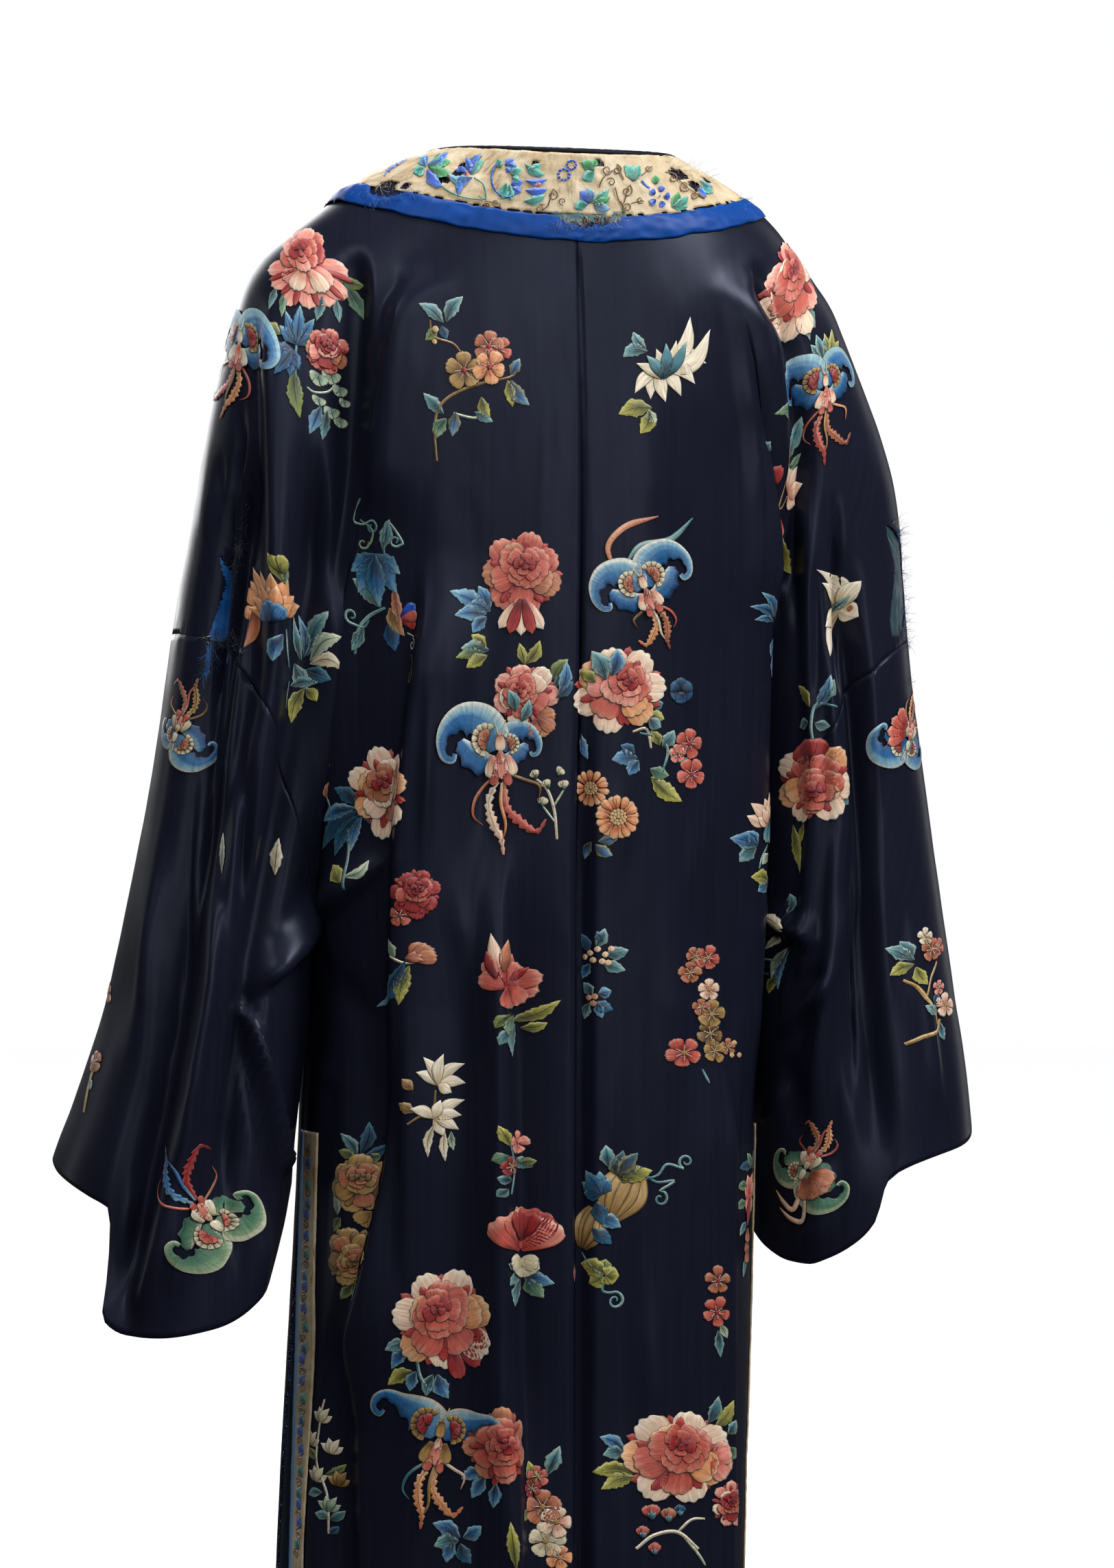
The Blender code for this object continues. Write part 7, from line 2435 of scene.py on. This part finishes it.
def blades(m, rows, bend=0.0):
    """A blade for each row, as in leaves."""
    for x, y, tip_x, tip_y, width, floss, *own in rows:
        blade(m, (x, y), (tip_x, tip_y), width, floss, *(own or [bend]))


def scrolls(m, *curls):
    """Couched gold thread: a centre, a radius, where it starts, how far it winds and a tail for each."""
    for x, y, radius, start, turns, tail in curls:
        tendril(m, x, y, radius, start, turns, "scroll", 0.95, tail)


def sew_neck():
    m = neck_motif(575, 246)
    for k in range(4):
        stem(m, ((560 + 8 * k, 250 - 5 * k), (568 + 7 * k, 246 - 4 * k + 6)), 1.4, "cobalt")
        stem(m, ((558 + 8 * k, 259 - 5 * k), (570 + 7 * k, 240 - 3 * k)), 1.4, "cobalt")
    m = neck_motif(622, 246)
    blades(m, (
        (620, 246, 607, 230, 5, "cobalt", 0.2), (621, 245, 612, 228, 4, "jade", -0.1),
        (623, 244, 650, 226, 5, "cobalt", 0.1), (624, 246, 644, 234, 4, "jade", 0),
        (625, 246, 653, 240, 6, "emerald", -0.1), (625, 248, 650, 251, 5, "emerald", 0.1),
        (619, 248, 603, 254, 5, "jade", 0), (622, 250, 636, 267, 6, "cobalt", 0.15),
        (640, 226, 634, 236, 3, "emerald", 0),
    ))
    m = neck_motif(685, 256)
    blade(m, (684, 256), (679, 235), 4, "cobalt", 0.1)
    blade(m, (686, 258), (701, 231), 5, "cobalt", -0.15, second="jade")
    blade(m, (688, 258), (704, 240), 4, "jade", -0.1)
    for degrees in (-70, -30, 10, 50, 90):
        petal(m, (672, 254), polar(672, 254, 8, degrees), 3, "cobalt")
    petal(m, (678, 254), (682, 262), 3, "coral")
    blades(m, (
        (680, 266, 654, 258, 4, "blue", -0.15), (688, 262, 668, 284, 5, "cobalt", 0.25),
        (686, 262, 666, 276, 4, "jade", 0.2),
    ))
    stem(m, ((636, 268), (650, 280), (672, 288), (700, 291)), 1.0, "jade")
    stem(m, ((690, 262), (703, 272), (704, 290), (694, 286)), 1.0, "jade")
    m = neck_motif(740, 261)
    for k in range(13):
        degrees = 150 + 15 * k
        a, b = polar(738, 261, 22, degrees - 9, 1.2), polar(738, 261, 22, degrees + 9, 1.2)
        stem(m, (a, b), 1.5, "cobalt")
    blades(m, (
        (730, 246, 727, 234, 4, "emerald"), (736, 242, 748, 234, 4, "cobalt"),
        (742, 240, 752, 244, 4, "cobalt"), (744, 256, 758, 248, 5, "jade"),
        (746, 260, 756, 264, 4, "jade"), (738, 268, 732, 288, 5, "jade"), (742, 270, 744, 290, 4, "jade"),
        (744, 270, 760, 266, 5, "cobalt"), (746, 274, 758, 280, 4, "cobalt"),
        (744, 252, 738, 246, 3, "cobalt"),
    ))
    m = neck_motif(780, 270)
    blades(m, (
        (766, 240, 792, 254, 5, "jade"), (770, 248, 788, 240, 4, "jade"),
        (766, 264, 795, 262, 4, "cobalt"), (766, 278, 795, 276, 5, "cobalt"),
        (764, 294, 792, 285, 5, "jade"), (780, 272, 788, 268, 3, "coral"),
    ), 0.1)
    scrolls(m, (786, 304, 6, 0, 1.3, ((794, 298),)), (724, 298, 6, 90, 1.4, ((708, 296),)),
            (712, 302, 5, 200, 1.2, ()))
    m = neck_motif(830, 254)
    for x, y, radius in ((822, 257, 10), (833, 243, 8)):
        for degrees in all_round(9):
            petal(m, polar(x, y, radius * 0.6, degrees), polar(x, y, radius, degrees), 2.6, "cobalt")
    blades(m, (
        (866, 252, 848, 240, 6, "emerald", 0.1), (866, 252, 850, 262, 6, "jade", -0.1),
        (864, 246, 868, 236, 4, "emerald"),
    ))
    m = neck_motif(860, 297)
    blades(m, (
        (858, 298, 846, 282, 6, "cobalt"), (860, 298, 856, 278, 5, "blue"),
        (862, 296, 884, 280, 5, "jade"), (862, 298, 886, 290, 5, "emerald"),
        (864, 300, 886, 306, 6, "blue"), (856, 300, 838, 305, 5, "jade"),
    ), 0.08)
    scrolls(m, (806, 288, 8, 0, 1.3, ((792, 310), (800, 302))), (820, 296, 6, 180, 1.2, ()),
            (884, 250, 8, 90, 1.4, ((872, 276), (878, 262))),
            (890, 268, 7, 300, 1.2, ()), (914, 282, 9, 20, 1.4, ((896, 276), (900, 292), (908, 300))),
            (914, 306, 8, 200, 1.4, ((904, 296),)), (934, 296, 6, 100, 1.2, ((920, 300),)))
    m = neck_motif(920, 253)
    blade(m, (922, 264), (910, 243), 6, "jade", 0.1)
    blade(m, (924, 264), (930, 243), 6, "jade", -0.1)
    scrolls(m, (898, 248, 7, 0, 1.2, ((908, 262),)), (944, 246, 6, 60, 1.3, ((934, 256),)))
    m = neck_motif(960, 286)
    rays(m, 960, 286, 7, 16, all_round(5, 15), 5, "cobalt")
    knot(m, 960, 286, 1.5, "scroll", 2)
    blade(m, (956, 268), (954, 256), 4, "emerald")
    stem(m, ((934, 263), (940, 270), (946, 274)), 1.6, "cobalt")
    blades(m, (
        (978, 300, 988, 282, 5, "emerald", 0.1), (980, 300, 1002, 288, 5, "jade", 0.1),
        (978, 300, 1000, 302, 4, "jade"),
    ))
    m = neck_motif(1010, 270)
    scrolls(m, (978, 262, 7, 0, 1.3, ((966, 254),)), (996, 272, 8, 120, 1.4, ((984, 262),)),
            (1012, 284, 6, 60, 1.3, ((1004, 276), (1030, 288))))
    blades(m, (
        (1024, 264, 1042, 278, 5, "jade", 0.1), (1022, 262, 1044, 270, 4, "blue", 0.1),
        (1018, 274, 1030, 284, 4, "cobalt"),
    ))


def sew_slit():
    """Scrolls and small petals down the cream band beside the left slit."""
    for x, y, k in [(449 - 0.028 * (y - 1690), y, k) for k, y in enumerate(range(1680, 2275, 15))]:
        m = Motif(x, y, layer=8, group="slit")
        m.outlined = False
        floss = ("scroll", "cobalt", "gold", "jade", "scroll", "blue", "cobalt")[k % 7]
        if floss in ("scroll", "gold"):
            tendril(m, x, y, 7, 90 * k, 1.2, floss, 1.3, ((x + 4, y - 12), (x - 6, y - 4)))
        else:
            leaf(m, (x + 5, y + 8), (x - 5, y - 8), 7, floss)
            leaf(m, (x - 5, y + 5), (x + 6, y - 10), 5, floss)


for sew_part in (sew_shoulders, sew_upper_back, sew_upper_left, sew_centre, sew_right_column,
                 sew_lower_back, sew_lower_middle, sew_bottom, sew_cuffs, sew_neck, sew_slit):
    sew_part()
SEWN = {group: sew("embroidery_" + group, group) for group in list(THREADS)}


def declare(area, width, length):
    """The width of a piece of silk's cut, in metres, laid flat: as wide as its area needs where that is more.
    It is worked out and not kept.
    """
    width = math.ceil(1e4 * max(width, area / length / 0.99)) / 1e4


SLEEVE_MEASURE_DROP, SLEEVE_LENGTH = 700.0, 0.43


def declare_silks():
    for side in SIDES:
        far = ARCS[side]
        body, body_area = PIECES["silk_" + side]
        sleeve, sleeve_area = PIECES["sleeve_silk_" + side]
        chest = far[int(UNDERARM_DROP / ARC_STEP), ARC_CELLS]
        forearm = far[int(SLEEVE_MEASURE_DROP / ARC_STEP)]
        valley = int(VALLEY_TURN * ARC_CELLS)
        sleeve_width = (forearm[ARC_CELLS - valley] - forearm[valley]) * MM
        declare(body_area, chest * MM, BACK_LENGTH * MM)
        declare(sleeve_area, sleeve_width, SLEEVE_LENGTH)
        (binding, _, _), (band_piece, band_area, band_width), (piping, _, _) = SLIT_TRIMS[side]
        length = (BACK_LENGTH - SLIT_TOP_DROP) * MM
        declare(band_area, band_width * MM, length)
    _, far = neck_columns(1.5)
    around = (far[-1] - far[0]) * MM
    body = PIECES["silk_left"][0]
    declare(BAND_AREA, around, 0.045)
    declare(EDGING_AREA, around, 0.022)
    declare(GAUZE_AREA, 0.048, 0.012)
    declare(BINDING_AREA, around, 0.015)
    declare(FACING_AREA, 0.6, 0.038)
    for name, tear in TEARS.items():
        lining, area = LININGS[name]
        width, length = tear["patch"]
        declare(area, width / 1000, length / 1000)


declare_silks()


FLOOR_SIDES, FLOOR_HEIGHT = 48, -1450


def stage_and_light():
    world = bpy.data.worlds.new("studio")
    bpy.context.scene.world = world
    world.use_nodes = True
    nodes = world.node_tree.nodes
    background = nodes["Background"]
    background.inputs["Color"].default_value = (1.0, 1.0, 1.0, 1.0)
    background.inputs["Strength"].default_value = 0.06
    seen = nodes.new("ShaderNodeBackground")
    seen.inputs["Color"].default_value = (1.0, 1.0, 1.0, 1.0)
    seen.inputs["Strength"].default_value = 1.0
    path, mixer = nodes.new("ShaderNodeLightPath"), nodes.new("ShaderNodeMixShader")
    world.node_tree.links.new(path.outputs["Is Camera Ray"], mixer.inputs[0])
    world.node_tree.links.new(background.outputs[0], mixer.inputs[1])
    world.node_tree.links.new(seen.outputs[0], mixer.inputs[2])
    world.node_tree.links.new(mixer.outputs[0], nodes["World Output"].inputs[0])

    floor_points, floor_faces = [], []
    for i, radius in enumerate((0, 3000, 6000, 9000, 14000)):
        for k in range(FLOOR_SIDES):
            angle = math.tau * k / FLOOR_SIDES
            floor_points.append((radius * math.cos(angle), radius * math.sin(angle), FLOOR_HEIGHT))
            if i:
                near, far, last = FLOOR_SIDES * (i - 1), FLOOR_SIDES * i, (k + 1) % FLOOR_SIDES
                floor_faces.append((near + k, far + k, far + last, near + last))
    paper = Nodes("pale_paper")
    grain = paper.noise(paper.add("TexCoord").outputs["Object"], 40.0)
    paper.set(Base_Color=paper.ramp(grain, (0.4, (0.86, 0.86, 0.86)), (0.6, (0.9, 0.9, 0.9))),
              Roughness=0.9)
    paper.set(Emission_Color=(1.0, 1.0, 1.0, 1.0), Emission_Strength=0.93)
    floor = mesh_object("floor", floor_points, floor_faces, [paper.material])
    floor.visible_diffuse = False
    floor.visible_glossy = False

    def lamp(name, place, aim, size, power):
        data = bpy.data.lights.new(name, "AREA")
        data.shape = "RECTANGLE"
        data.size, data.size_y = size
        data.energy = power
        light = bpy.data.objects.new(name, data)
        light.location = place
        away = mathutils.Vector(place) - mathutils.Vector(aim)
        light.rotation_euler = away.to_track_quat("Z", "Y").to_euler()
        bpy.context.scene.collection.objects.link(light)

    lamp("over", (0.0, 0.3, 2.6), (0, 0, -0.5), (1.2, 1.2), 86)
    lamp("high_left", (1.9, 1.6, 1.6), (0, 0, -0.5), (0.8, 0.8), 18)
    lamp("high_right", (-1.9, 1.6, 1.6), (0, 0, -0.5), (0.8, 0.8), 58)
    lamp("strip_right", (-2.4, 1.8, 1.9), (0, 0, -0.4), (0.6, 1.2), 14)
    lamp("main", (-0.3, 3.3, 1.35), (0, 0, -0.3), (1.9, 0.9), 22)
    lamp("near_right", (-1.2, 3.5, 0.1), (0, 0, -0.5), (1.2, 1.4), 17)
    lamp("near_left", (0.9, 3.6, 0.4), (0, 0, -0.5), (1.2, 1.2), 13)
    lamp("front", (0.4, -3.4, 0.9), (0, 0, -0.5), (2.4, 2.0), 90)
    lamp("rim_left", (2.4, -1.8, 0.2), (0.2, 0, -0.5), (0.6, 2.4), 5)
    lamp("rim_right", (-2.4, -1.6, 0.2), (-0.2, 0, -0.5), (0.6, 2.4), 5)

    data = bpy.data.cameras.new("camera")
    data.sensor_fit = "AUTO"
    data.sensor_width = 24.0
    data.lens = FOCAL_SHARE * data.sensor_width
    camera = bpy.data.objects.new("camera", data)
    camera.location = CAMERA_PLACE
    view = mathutils.Vector((-math.sin(CAMERA_TURN), math.cos(CAMERA_TURN), 0))
    camera.rotation_euler = view.to_track_quat("-Z", "Y").to_euler()
    bpy.context.scene.collection.objects.link(camera)
    bpy.context.scene.camera = camera
    bpy.context.scene.view_settings.view_transform = "Standard"


stage_and_light()
